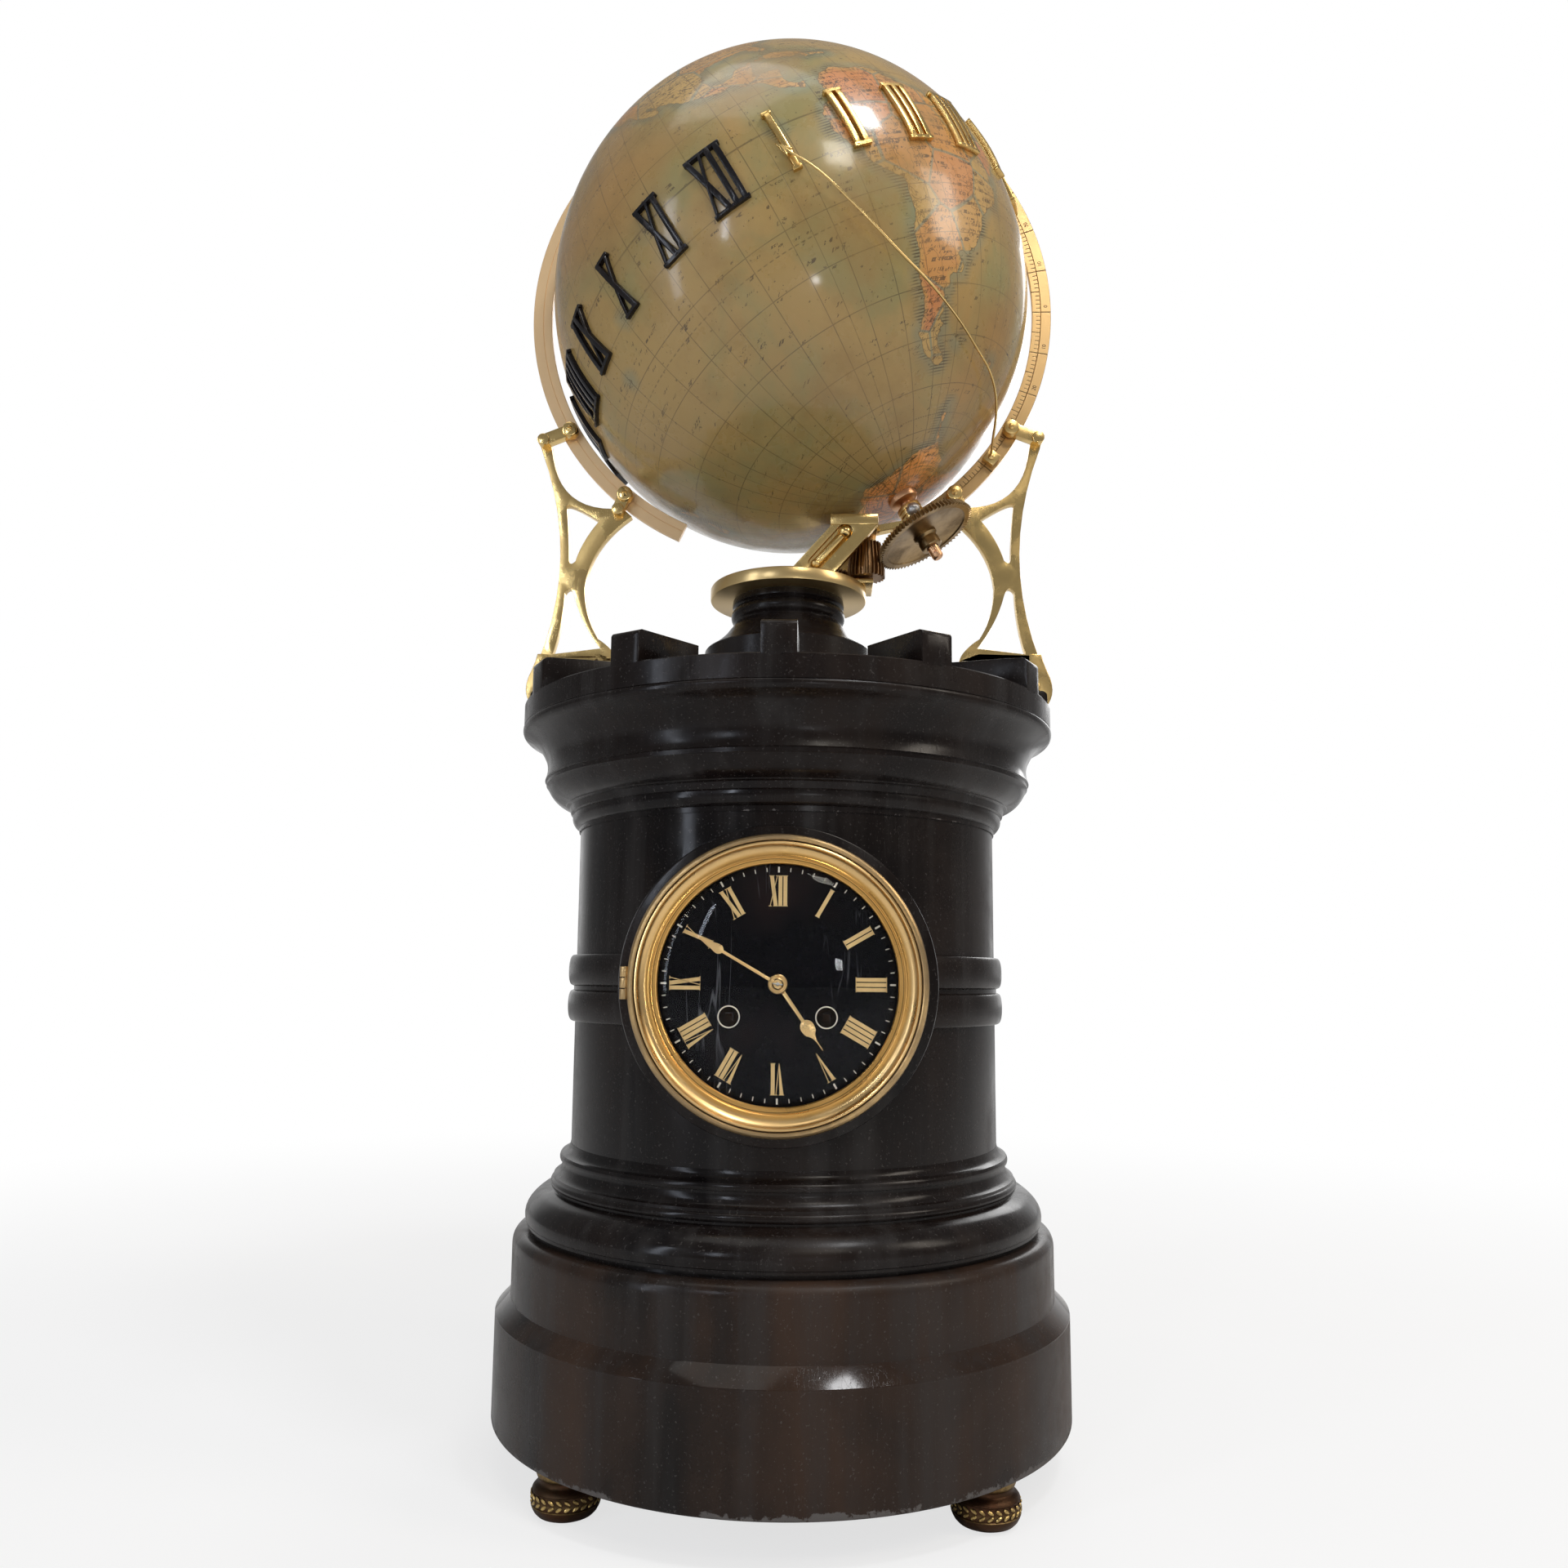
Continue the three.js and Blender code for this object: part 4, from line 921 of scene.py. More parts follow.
@dataclass(frozen=True)
class Brass(Finish):
    """Lacquered brass with tarnish, smudges and fine rubbing."""

    name: str = "brass"
    bright: Colour = (0.78, 0.55, 0.22)
    tarnish: Colour = (0.42, 0.24, 0.09)
    amount: float = 0.35
    gloss: float = 0.16
    dull: float = 0.36
    grain: float = 0.04

    def lay(self, sheet: Sheet) -> Value:
        """Mixes bright and tarnished metal and roughens it unevenly.

        Args:
            sheet: the material's nodes.

        Returns:
            The surface's shader.
        """
        broad, fine = sheet.group(blotch_group(), Broad=38.0, Fine=420.0)
        share = (broad * 0.7 + fine * 0.3) * self.amount
        colour = sheet.mix(share, self.bright, self.tarnish)
        scratches = sheet.group(scratch_group(), Scale=60.0, Width=0.006, Patches=60.0)[0]
        rough = sheet.spread(broad, 0, 1, self.gloss, self.dull) + scratches * 0.1
        height = fine * (self.grain * 4) - scratches * 0.5
        bump = sheet.bump(0.12, 0.0002, height)
        return sheet.get("BsdfPrincipled", Base_Color=colour, Roughness=rough, Metallic=1.0, Normal=bump)


@dataclass(frozen=True)
class SatinGilt(Finish):
    """Gilt brass turned on a lathe, with its light and shade painted in by band: an outer rim darkened as painted
    shade and by wear, a flat band lightened as a painted highlight, a deeper golden slope as painted shade, and dark
    painted shade in its grooves.
    """

    name: str = "satin gilt"
    # painted highlight: the lit tone of the flat band
    bright: Colour = (0.82, 0.55, 0.24)
    # painted shade: the deeper tone of the inner slope
    deep: Colour = (0.72, 0.40, 0.11)
    # painted shade of the outer rim, also used for real wear in patches
    worn: Colour = (0.34, 0.24, 0.13)
    # painted shade in the turned grooves
    dirt: Colour = (0.05, 0.03, 0.015)
    gloss: float = 0.24
    dull: float = 0.36
    height: float = DIAL_HEIGHT

    def lay(self, sheet: Sheet) -> Value:
        """Colours each turned band by its distance from the dial's axis, painting in each band's light and shade.

        Args:
            sheet: the material's nodes.

        Returns:
            The surface's shader.
        """
        away = sheet.vector("MULTIPLY", sheet.vector("SUBTRACT", sheet.place(), (0, 0, self.height)), (1, 0, 1))
        radius = sheet.vector("LENGTH", away)
        marks = sheet.group(lathe_group())[0]
        broad, fine = sheet.group(blotch_group(), Broad=28.0, Fine=500.0)
        # Painted light: the flat band lighter as if lit, the inner slope deeper as if shaded.
        colour = sheet.mix(sheet.spread(radius, 0.0560, 0.0575, 1.0, 0.0), self.bright, self.deep)
        # Painted shade darkens the outer rim; the next line adds real wear in broad patches.
        rim = sheet.spread(radius, 0.0612, 0.0618)
        colour = sheet.mix(rim * sheet.spread(broad, 0, 1, 0.45, 0.95), colour, self.worn)
        colour = sheet.mix(broad * 0.18, colour, self.worn)
        # Painted shade: dark lines in the groove by the rim and at the edge of the inner slope.
        line = sheet.spread(abs(radius - 0.06150), 0.00010, 0.00028, 1.0, 0.0)
        inner = sheet.spread(abs(radius - 0.05365), 0.00008, 0.00022, 0.8, 0.0)
        colour = sheet.mix(line | inner, colour, self.dirt)
        rough = sheet.spread(broad, 0, 1, self.gloss, self.dull) + rim * 0.10
        colour = sheet.mix(fine * sheet.spread(rim, 0, 1, 0.08, 0.45), colour, self.worn)
        bump = sheet.bump(0.02, 0.00005, marks)
        return sheet.get("BsdfPrincipled", Base_Color=colour, Roughness=rough, Metallic=1.0, Normal=bump)


@dataclass(frozen=True)
class Enamel(Finish):
    """Gloss black, on the dial and on the night numerals."""

    name: str = "gloss black"
    deep: Colour = (0.004, 0.004, 0.006)
    # painted reflection: a reddish tint in clouds, for the room mirrored in the gloss
    cloud: Colour = (0.008, 0.005, 0.005)
    worn: Colour = (0.05, 0.035, 0.03)
    gloss: float = 0.08
    wear: float = 0.15
    hair: float = 0.5
    shine: float = 0.3

    def lay(self, sheet: Sheet) -> Value:
        """Lays black lacquer with hairlines, faint wear and reddish clouds painted in as reflections.

        Args:
            sheet: the material's nodes.

        Returns:
            The surface's shader.
        """
        broad, fine = sheet.group(blotch_group(), Broad=40.0, Fine=500.0)
        scratches = sheet.group(scratch_group(), Scale=5.0, Width=0.005, Patches=30.0)[0]
        worn = fine * self.wear + scratches * self.hair
        # Painted reflection: reddish clouds in the black stand in for the room mirrored in the gloss.
        reflected_tone = sheet.mix(sheet.spread(sheet.noise(16.0, 3, 0.5), 0.45, 0.66), self.deep, self.cloud)
        colour = sheet.mix(worn, reflected_tone, self.worn)
        rough = sheet.spread(broad, 0, 1, self.gloss, self.gloss + 0.12)
        bump = sheet.bump(0.02, 0.0001, fine)
        return sheet.get(
            "BsdfPrincipled", Base_Color=colour, Roughness=rough, Normal=bump, Specular_IOR_Level=self.shine)


@dataclass(frozen=True)
class ClearGlass(Finish):
    """The convex glass of the dial, with faint smears."""

    name: str = "clear glass"

    def lay(self, sheet: Sheet) -> Value:
        """Lays clear glass whose shadow stays light.

        Args:
            sheet: the material's nodes.

        Returns:
            The surface's shader.
        """
        smear = sheet.spread(sheet.noise(30.0, 4, 0.6), 0.5, 0.8, 0.0, 0.05)
        glass = sheet.get(
            "BsdfPrincipled", Base_Color=(0.97, 0.98, 0.98, 1), Roughness=smear, Transmission_Weight=1.0, IOR=1.16)
        clear = sheet.get("BsdfTransparent", Color=(0.93, 0.94, 0.94, 1))
        shadow = sheet.get("LightPath", out="Is Shadow Ray")
        return sheet.get("MixShader", i0=shadow, i1=glass, i2=clear)


@dataclass(frozen=True)
class PlainFloor(Finish):
    """A pale floor that is white to the eye and keeps the shadow."""

    name: str = "pale floor"
    near: float = 0.35
    far: float = 1.3
    share: float = 0.72

    def lay(self, sheet: Sheet) -> Value:
        """Lays a plain pale surface that fades into the white surround.

        Args:
            sheet: the material's nodes.

        Returns:
            The surface's shader.
        """
        grain = sheet.noise(8.0, 2, 0.5)
        colour = sheet.mix(grain, (0.80, 0.80, 0.80), (0.84, 0.84, 0.84))
        floor = sheet.get("BsdfPrincipled", Base_Color=colour, Roughness=0.9, Specular_IOR_Level=0.1)
        white = sheet.get("Emission", Color=(1, 1, 1, 1), Strength=1.0)
        camera, through, glossy = sheet.rays()
        away = sheet.vector("LENGTH", sheet.place())
        fade = sheet.spread(away, self.near, self.far, self.share, 1.0)
        mirrored = glossy * sheet.spread(away, self.near, self.far)
        mixed = (camera | through) * fade | mirrored * 0.25
        return sheet.get("MixShader", i0=mixed, i1=floor, i2=white)


@dataclass(frozen=True)
class MapPaper(Finish):
    """Printed paper gores under old varnish: seas, lands, net of degrees, print and stains."""

    name: str = "map paper"
    centre: Point = GLOBE_CENTRE
    sea: Colour = (0.410, 0.270, 0.095)
    green_sea: Colour = (0.300, 0.250, 0.100)
    brown_sea: Colour = (0.430, 0.230, 0.070)
    land: Colour = (0.560, 0.270, 0.080)
    yellow_land: Colour = (0.520, 0.330, 0.110)
    rose_land: Colour = (0.580, 0.230, 0.090)
    # Antarctica's pale print, pushed paler still as painted light to lift the shade under the globe.
    ice: Colour = (0.950, 0.400, 0.115)
    shore: Colour = (0.190, 0.230, 0.160)
    ink: Colour = (0.075, 0.050, 0.028)
    varnish: Colour = (0.300, 0.180, 0.060)

    def line(self, sheet: Sheet, value: object, spacing: float, half: object) -> Value:
        """A mask of thin lines at even spacings of a value in degrees.

        Args:
            sheet: the material's nodes.
            value: the value.
            spacing: degrees between lines.
            half: half a line's width, in degrees.

        Returns:
            The mask.
        """
        share = value / spacing + 0.5
        off = abs(sheet.sum("FRACT", share) - 0.5)
        near = off * spacing
        edge = near / half
        return sheet.spread(edge, 0.5, 1.5, 1.0, 0.0)

    def lay(self, sheet: Sheet) -> Value:
        """Lays out the map from longitude, latitude and the distance from the coast.

        Args:
            sheet: the material's nodes.

        Returns:
            The surface's shader.
        """
        frame = Globe.frame().transposed().to_3x3()
        away = sheet.vector("SUBTRACT", sheet.place(), self.centre)
        x, y, z = (sheet.vector("DOT_PRODUCT", away, tuple(row)) for row in frame)
        size = sheet.vector("LENGTH", away)
        level = sheet.sum("ARCSINE", z / size)
        lat = sheet.sum("DEGREES", level)
        lon = sheet.sum("DEGREES", sheet.sum("ARCTAN2", y, x)) - Globe.map_turn
        narrow = sheet.sum("COSINE", level) | 0.06
        east = lon * narrow
        here = sheet.get("CombineXYZ", X=x, Y=y, Z=z)

        coarse = sheet.noise(30.0, 6, 0.62, Vector=here)
        fine = sheet.noise(160.0, 4, 0.6, Vector=here)
        coast = sheet.get("Attribute", {"attribute_name": "coast"}, out="Fac")
        coast = coast + (coarse - 0.5) * 5.0
        coast = coast + (fine - 0.5) * 1.6
        on_land = sheet.spread(coast, -0.06, 0.06)

        stain = sheet.noise(14.0, 5, 0.6, Vector=here, Distortion=0.5)
        wash = sheet.noise(7.0, 3, 0.5, Vector=here)
        sea = sheet.mix(sheet.spread(stain, 0.42, 0.62), self.sea, self.green_sea)
        sea = sheet.mix(sheet.spread(wash, 0.5, 0.66, 0.0, 0.8), sea, self.brown_sea)
        states = sheet.get("TexVoronoi", {"feature": "F1"}, Vector=here, Scale=34.0, out="Color")
        red, green, _ = sheet.outs(sheet.put("SeparateColor", Color=states))
        land = sheet.mix(sheet.spread(red, 0.3, 0.6), self.land, self.yellow_land)
        land = sheet.mix(sheet.spread(green, 0.5, 0.8, 0.0, 0.8), land, self.rose_land)
        # Antarctica: pale print pushed paler as painted light on the shaded underside.
        land = sheet.mix(sheet.spread(lat, -66.0, -63.0, 1.0, 0.0), land, self.ice)
        shore_in = sheet.spread(coast, 0.0, 1.8, 0.6, 0.0)
        land = sheet.mix(shore_in, land, self.yellow_land)
        colour = sheet.mix(on_land, sea, land)

        halo = sheet.spread(abs(coast), 0.1, 3.4, 1.0, 0.0)
        off_shore = halo * (1.0 - on_land)
        colour = sheet.mix(off_shore * 0.5, colour, self.shore)
        strokes = self.line(sheet, lat, 0.62, 0.13)
        worn = sheet.spread(sheet.noise(75.0, 3, 0.6, Vector=here), 0.42, 0.56)
        hatch = strokes * off_shore * worn
        marks = hatch * 0.95

        rim = sheet.spread(abs(coast), 0.05, 0.17, 0.55, 0.0)
        marks = marks | rim
        half = 0.10 / narrow
        net = self.line(sheet, lat, 10.0, 0.10) | self.line(sheet, lon, 10.0, half)
        marks = marks | net * 0.6
        strong = self.line(sheet, lat, 90.0, 0.2) | self.line(
            sheet, lon + 17.66, 180.0, 0.16 / narrow)
        marks = marks | strong * 0.6
        for circle in (23.45, 66.55):
            band = abs(lat) - circle
            dash = self.line(sheet, lon, 1.6, 0.5)
            ring = sheet.spread(abs(band), 0.05, 0.2, 0.6, 0.0)
            marks = marks | ring * dash

        print_marks = self.print_rows(sheet, lat, east, on_land)
        marks = marks | print_marks
        ridge = sheet.noise(95.0, 3, 0.5, Vector=here, Distortion=1.0)
        river = sheet.spread(abs(ridge - 0.5), 0.004, 0.016, 0.75, 0.0)
        marks = marks | river * on_land
        border = sheet.get("TexVoronoi", {"feature": "DISTANCE_TO_EDGE"}, Vector=here, Scale=34.0)
        edge = sheet.spread(border, 0.01, 0.03, 0.7, 0.0) * on_land
        colour = sheet.mix(edge, colour, self.shore)
        rubbed = sheet.spread(sheet.noise(48.0, 4, 0.6, Vector=here), 0.36, 0.6, 0.7, 1.0)
        colour = sheet.mix(marks * rubbed, colour, self.ink)

        aged = sheet.spread(sheet.noise(17.0, 6, 0.66, Vector=here), 0.44, 0.70, 0.0, 0.72)
        colour = sheet.mix(aged, colour, self.varnish)
        speck = sheet.spread(sheet.noise(520.0, 2, 0.5, Vector=here), 0.67, 0.75, 0.0, 0.6)
        colour = sheet.mix(speck, colour, self.ink)
        seam = self.line(sheet, lon + 5.0, 30.0, 0.09 / narrow)
        colour = sheet.mix(seam * 0.35, colour, self.ink)

        craze = sheet.noise(300.0, 4, 0.65, Vector=here)
        wave = sheet.noise(26.0, 3, 0.55, Vector=here)
        height = craze * 0.35 + wave * 3.0
        height = height - seam * 0.5
        bump = sheet.bump(0.16, 0.0012, height)
        rough = sheet.spread(sheet.noise(60.0, 4, 0.6, Vector=here), 0.35, 0.65, 0.24, 0.42)
        coat = sheet.spread(wave, 0.3, 0.7, 0.35, 0.55)
        return sheet.get(
            "BsdfPrincipled", Base_Color=colour, Roughness=rough, Coat_Weight=coat, Coat_Roughness=0.11,
            Specular_IOR_Level=0.3, Normal=bump)

    def print_rows(self, sheet: Sheet, lat: object, east: object, on_land: object) -> Value:
        """Rows of small broken marks, dense on land and rare at sea.

        Args:
            sheet: the material's nodes.
            lat: the latitude.
            east: degrees east at true length.
            on_land: 1 on land.

        Returns:
            The mask.
        """
        total = None
        for row, size, amount in ((1.15, 3.1, 0.50), (1.9, 1.7, 0.46)):
            level = lat / row
            step = sheet.sum("FLOOR", level)
            off = abs(sheet.sum("FRACT", level) - 0.5)
            inside = sheet.spread(off, 0.15, 0.24, 1.0, 0.0)
            letters = sheet.get("CombineXYZ", X=east * size, Y=step * 7.31, Z=off * 3.0)
            words = sheet.get("CombineXYZ", X=east * 0.22, Y=step * 3.77)
            letter = sheet.spread(sheet.noise(1.0, 2, 0.6, Vector=letters), 0.5, 0.56)
            wanted = 0.66 - on_land * (0.66 - amount)
            word = sheet.noise(1.0, 1, 0.5, Vector=words) > wanted
            mark = letter * word * inside
            total = mark if total is None else total | mark
        return total * 0.9


@dataclass(frozen=True)
class RingBrass(Finish):
    """The ring's brass: golden and divided into degrees on the right, coppery and plain on the left."""

    name: str = "ring brass"
    centre: Point = GLOBE_CENTRE
    gold: Colour = (0.66, 0.44, 0.20)
    copper: Colour = (0.96, 0.68, 0.38)
    stain: Colour = (0.40, 0.22, 0.11)
    ink: Colour = (0.035, 0.022, 0.012)
    inner: float = 0.1343
    middle: float = 0.1390

    def lay(self, sheet: Sheet) -> Value:
        """Lays brass with ink-filled divisions over the right half.

        Args:
            sheet: the material's nodes.

        Returns:
            The surface's shader.
        """
        away = sheet.vector("SUBTRACT", sheet.place(), self.centre)
        x, y, z = sheet.parts(away)
        radius = sheet.sum("SQRT", x * x + z * z)
        angle = sheet.sum("DEGREES", sheet.sum("ARCTAN2", z, x))
        low = radius < self.middle
        high = 1.0 - low
        outer_half = radius > self.inner + 0.0022
        one = MapPaper().line(sheet, angle, 1.0, 0.09)
        one = one * low * outer_half
        five = MapPaper().line(sheet, angle, 5.0, 0.11) * low
        ten = MapPaper().line(sheet, angle, 10.0, 0.12) * high
        groove = sheet.spread(abs(radius - self.middle), 0.0001, 0.00028, 1.0, 0.0)
        marks = one | five | (ten | groove)
        front = y < -0.00135
        right = x > 0.0
        marks = marks * front * right
        broad, fine = sheet.group(blotch_group(), Broad=16.0, Fine=420.0)
        colour = sheet.mix(sheet.spread(x, -0.02, 0.02), self.copper, self.gold)
        colour = sheet.mix(broad * 0.15, colour, self.stain)
        colour = sheet.mix(marks * 0.85, colour, self.ink)
        side = sheet.spread(x, -0.02, 0.02)
        rough = sheet.spread(broad, 0, 1, 0.28, 0.36) + marks * 0.2
        metal = sheet.spread(side, 0, 1, 0.45, 0.8)
        height = fine * 0.03 - marks
        bump = sheet.bump(0.2, 0.0002, height)
        return sheet.get("BsdfPrincipled", Base_Color=colour, Roughness=rough, Metallic=metal, Normal=bump)


@dataclass(frozen=True)
class RubbedBronze(Finish):
    """Dark bronze feet whose laurel leaves are rubbed golden."""

    name: str = "rubbed bronze"
    bright: Colour = (0.62, 0.44, 0.17)
    dark: Colour = (0.060, 0.036, 0.020)
    red: Colour = (0.085, 0.040, 0.022)
    spacing: float = 0.089

    def lay(self, sheet: Sheet) -> Value:
        """Lays gold where a foot stands out furthest and patina in its hollows.

        Args:
            sheet: the material's nodes.

        Returns:
            The surface's shader.
        """
        x, y, z = sheet.parts(sheet.place())
        across = abs(x) - self.spacing
        along = abs(y) - self.spacing
        radius = sheet.sum("SQRT", across * across + along * along)
        broad, fine = sheet.group(blotch_group(), Broad=60.0, Fine=420.0)
        band = sheet.spread(z, 0.0048, 0.0060) * sheet.spread(z, 0.0106, 0.0116, 1.0, 0.0)
        proud = sheet.spread(radius, 0.01440, 0.01478) * band
        lip = sheet.spread(z, 0.0152, 0.0166) * 0.35
        rubbed = (proud | lip) * sheet.spread(fine, 0.2, 0.8, 1.0, 0.55)
        colour = sheet.mix(broad, self.dark, self.red)
        colour = sheet.mix(rubbed, colour, self.bright)
        rough = sheet.spread(rubbed, 0.0, 1.0, 0.46, 0.28)
        bump = sheet.bump(0.2, 0.0002, fine)
        return sheet.get("BsdfPrincipled", Base_Color=colour, Roughness=rough, Metallic=1.0, Normal=bump)


# The studio


@dataclass
class Camera:
    """The photograph's view point, from low in front, looking slightly up."""

    distance: float = 0.6289
    height: float = 0.2265
    azimuth: float = 1.6
    yaw: float = 0.117
    pitch: float = 7.36
    roll: float = 0.5
    focal_share: float = 1465.8 / 1920
    sensor: float = 36.0
    shift: float = 47.7 / 1920

    def build(self) -> Piece:
        """Adds the camera and makes it the scene's own.

        Returns:
            The camera object.
        """
        around = math.radians(self.azimuth)
        spot = Vector((self.distance * math.sin(around), -self.distance * math.cos(around), self.height))
        heading = around + math.radians(self.yaw)
        rise = math.radians(self.pitch)
        forward = Vector((
            -math.sin(heading) * math.cos(rise), math.cos(heading) * math.cos(rise), math.sin(rise)))
        right = forward.cross(Vector(UP)).normalized()
        down = forward.cross(right).normalized()
        lean = math.radians(self.roll)
        right, down = (
            right * math.cos(lean) - down * math.sin(lean),
            right * math.sin(lean) + down * math.cos(lean),
        )
        bpy.ops.object.camera_add(location=spot)
        camera = bpy.context.view_layer.objects.active
        camera.name = "camera"
        turn = Matrix((right, -down, -forward)).transposed().to_4x4()
        camera.matrix_world = Matrix.Translation(spot) @ turn
        camera.data.sensor_width = self.sensor
        camera.data.lens = self.focal_share * self.sensor
        camera.data.shift_y = self.shift
        camera.data.clip_start = 0.01
        bpy.context.scene.camera = camera
        return camera


@dataclass
class Studio:
    """A pale floor, a white surround and soft lamps."""

    room: float = 0.25
    backdrop: float = 1.0
    lamps: Sequence[tuple] = (
        ("window", (-1.70, -1.40, 0.80), (0, 0, 0.32), (0.18, 1.50), 7.5, (0.80, 0.87, 1.0)),
        ("narrow_window", (-0.90, -1.85, 0.95), (0, 0, 0.35), (0.09, 0.50), 3.2, (0.80, 0.87, 1.0)),
        ("front", (0.66, -1.60, 1.95), (0, 0, 0.5), (0.40, 0.40), 7.0, (1.0, 0.94, 0.84)),
        ("overhead", (0.58, -0.66, 1.93), (0, 0, 0.4), (0.26, 0.26), 10.0, (0.97, 0.98, 1.0)),
        ("low", (0.22, -1.00, 0.30), (0, 0, 0.45), (0.045, 0.045), 0.35, (0.95, 0.97, 1.0)),
        ("fill", (1.75, -0.60, 1.55), (0, 0, 0.45), (0.50, 0.90), 11.0, (1.0, 0.90, 0.78)),
        ("rear", (0.8, 2.2, 1.5), (0, 0, 0.45), (1.4, 1.2), 18.0, (1.0, 1.0, 1.0)),
        ("top", (-0.4, -0.4, 2.3), (0, 0, 0.5), (1.0, 1.0), 5.0, (1.0, 0.97, 0.92)),
    )

    def build(self) -> None:
        """Adds the floor, the world and the lamps."""
        Bench.clear()
        bpy.ops.mesh.primitive_plane_add(size=30)
        floor = Bench.named("floor")
        PlainFloor().dress(floor)
        self.world()
        for lamp in self.lamps:
            self.lamp(*lamp)

    def world(self) -> None:
        """Makes the surround white to the eye, with a white backdrop behind the clock in its reflections."""
        world = bpy.data.worlds.new("surround")
        world.use_nodes = True
        bpy.context.scene.world = world
        sheet = Sheet(world.node_tree)
        camera, through, glossy = sheet.rays()
        way = sheet.parts(sheet.get("TexCoord", out="Generated"))[1]
        share = camera | (through | sheet.spread(way, 0.62, 0.95) * glossy)
        strength = sheet.get(
            "MapRange", Value=share, From_Min=0.0, From_Max=1.0, To_Min=self.room, To_Max=self.backdrop)
        white = sheet.get("Background", Color=(1, 1, 1, 1), Strength=strength)
        sheet.put("OutputWorld", Surface=white)

    @staticmethod
    def lamp(name: str, spot: Point, aim: Point, size: tuple[float, float], power: float, colour: Colour) -> None:
        """Adds one soft rectangular lamp.

        Args:
            name: the lamp's name.
            spot: where it hangs.
            aim: the point that it faces.
            size: its width and height.
            power: its power in watts.
            colour: its colour.
        """
        Bench.clear()
        bpy.ops.object.light_add(type="AREA", location=spot)
        lamp = bpy.context.view_layer.objects.active
        lamp.name = "lamp_" + name
        lamp.data.shape = "RECTANGLE"
        lamp.data.size, lamp.data.size_y = size
        lamp.data.energy = power
        lamp.data.color = colour
        lamp.rotation_euler = (Vector(aim) - Vector(spot)).to_track_quat("-Z", "Y").to_euler()


# The clock


SLATE = PolishedSlate()
# The plinth and step get the painted brownish reflection at full strength.
PLAIN_SLATE = PolishedSlate(
    name="plain slate", deep=(0.008, 0.0065, 0.006), brown=(0.045, 0.025, 0.016), brownness=1.0, gloss=0.17,
    dull=0.33, chip_level=0.0200, chip_reach=0.0085, chip_from=0.375, polished=(0.0676, 0.0746))
CORNICE_SLATE = PolishedSlate(name="cornice slate", chip_level=0.2995, chip_reach=0.003, chip_from=0.50)
BRASS = Brass()
RED_BRASS = Brass(name="coppery brass", bright=(0.72, 0.43, 0.24), tarnish=(0.48, 0.24, 0.13), gloss=0.22, dull=0.4)
OLD_BRASS = Brass(
    name="old brass", bright=(0.50, 0.33, 0.13), tarnish=(0.16, 0.09, 0.04), amount=0.7, gloss=0.24, dull=0.45)
STEEL = Brass(name="steel", bright=(0.36, 0.34, 0.32), tarnish=(0.16, 0.13, 0.11), amount=0.5, gloss=0.2, dull=0.4)
GILT = SatinGilt()
BLACK = Enamel()
GLASS = ClearGlass()
GILT_NUMERAL = Brass(
    name="gilt numerals", bright=(0.80, 0.55, 0.20), tarnish=(0.45, 0.27, 0.09), gloss=0.2, dull=0.34)
BLACK_NUMERAL = Enamel(name="black numerals", gloss=0.18, wear=0.12)

BRIGHT_BRASS = Brass(
    name="bright brass", bright=(0.83, 0.60, 0.25), tarnish=(0.50, 0.31, 0.11), amount=0.4, gloss=0.18, dull=0.34)
WHEEL_BRASS = Brass(
    name="wheel brass", bright=(0.40, 0.27, 0.13), tarnish=(0.15, 0.10, 0.05), amount=0.8, gloss=0.3, dull=0.5)
GILT_HAND = Brass(
    name="gilt hands", bright=(0.86, 0.58, 0.26), tarnish=(0.60, 0.36, 0.14), amount=0.4, gloss=0.26, dull=0.4)
PAINTED_GOLD = Brass(
    name="painted gold", bright=(0.80, 0.56, 0.26), tarnish=(0.55, 0.36, 0.15), amount=0.5, gloss=0.36, dull=0.5)
PALE_LINE = Brass(
    name="pale gold line", bright=(0.80, 0.74, 0.62), tarnish=(0.50, 0.44, 0.34), amount=0.5, gloss=0.34, dull=0.5)
# Painted shade: brass made nearly black so that the front plate and barrels, seen through the winding holes, stay as
# dark as shade.
SHADE_DARK_BRASS = Brass(
    name="shade dark brass", bright=(0.020, 0.011, 0.007), tarnish=(0.008, 0.005, 0.004), gloss=0.35, dull=0.5)
PINION_BRASS = Brass(
    name="pinion brass", bright=(0.42, 0.25, 0.12), tarnish=(0.14, 0.075, 0.035), amount=0.8, gloss=0.22, dull=0.4)
DIAL_BLACK = Enamel(
    name="dial black", deep=(0.0012, 0.0012, 0.0022), cloud=(0.012, 0.006, 0.006), worn=(0.24, 0.24, 0.26),
    gloss=0.10, wear=0.004, hair=0.30, shine=0.08)
INK_FILL = Enamel(name="black filling", deep=(0.02, 0.014, 0.01), gloss=0.4, wear=0.3)


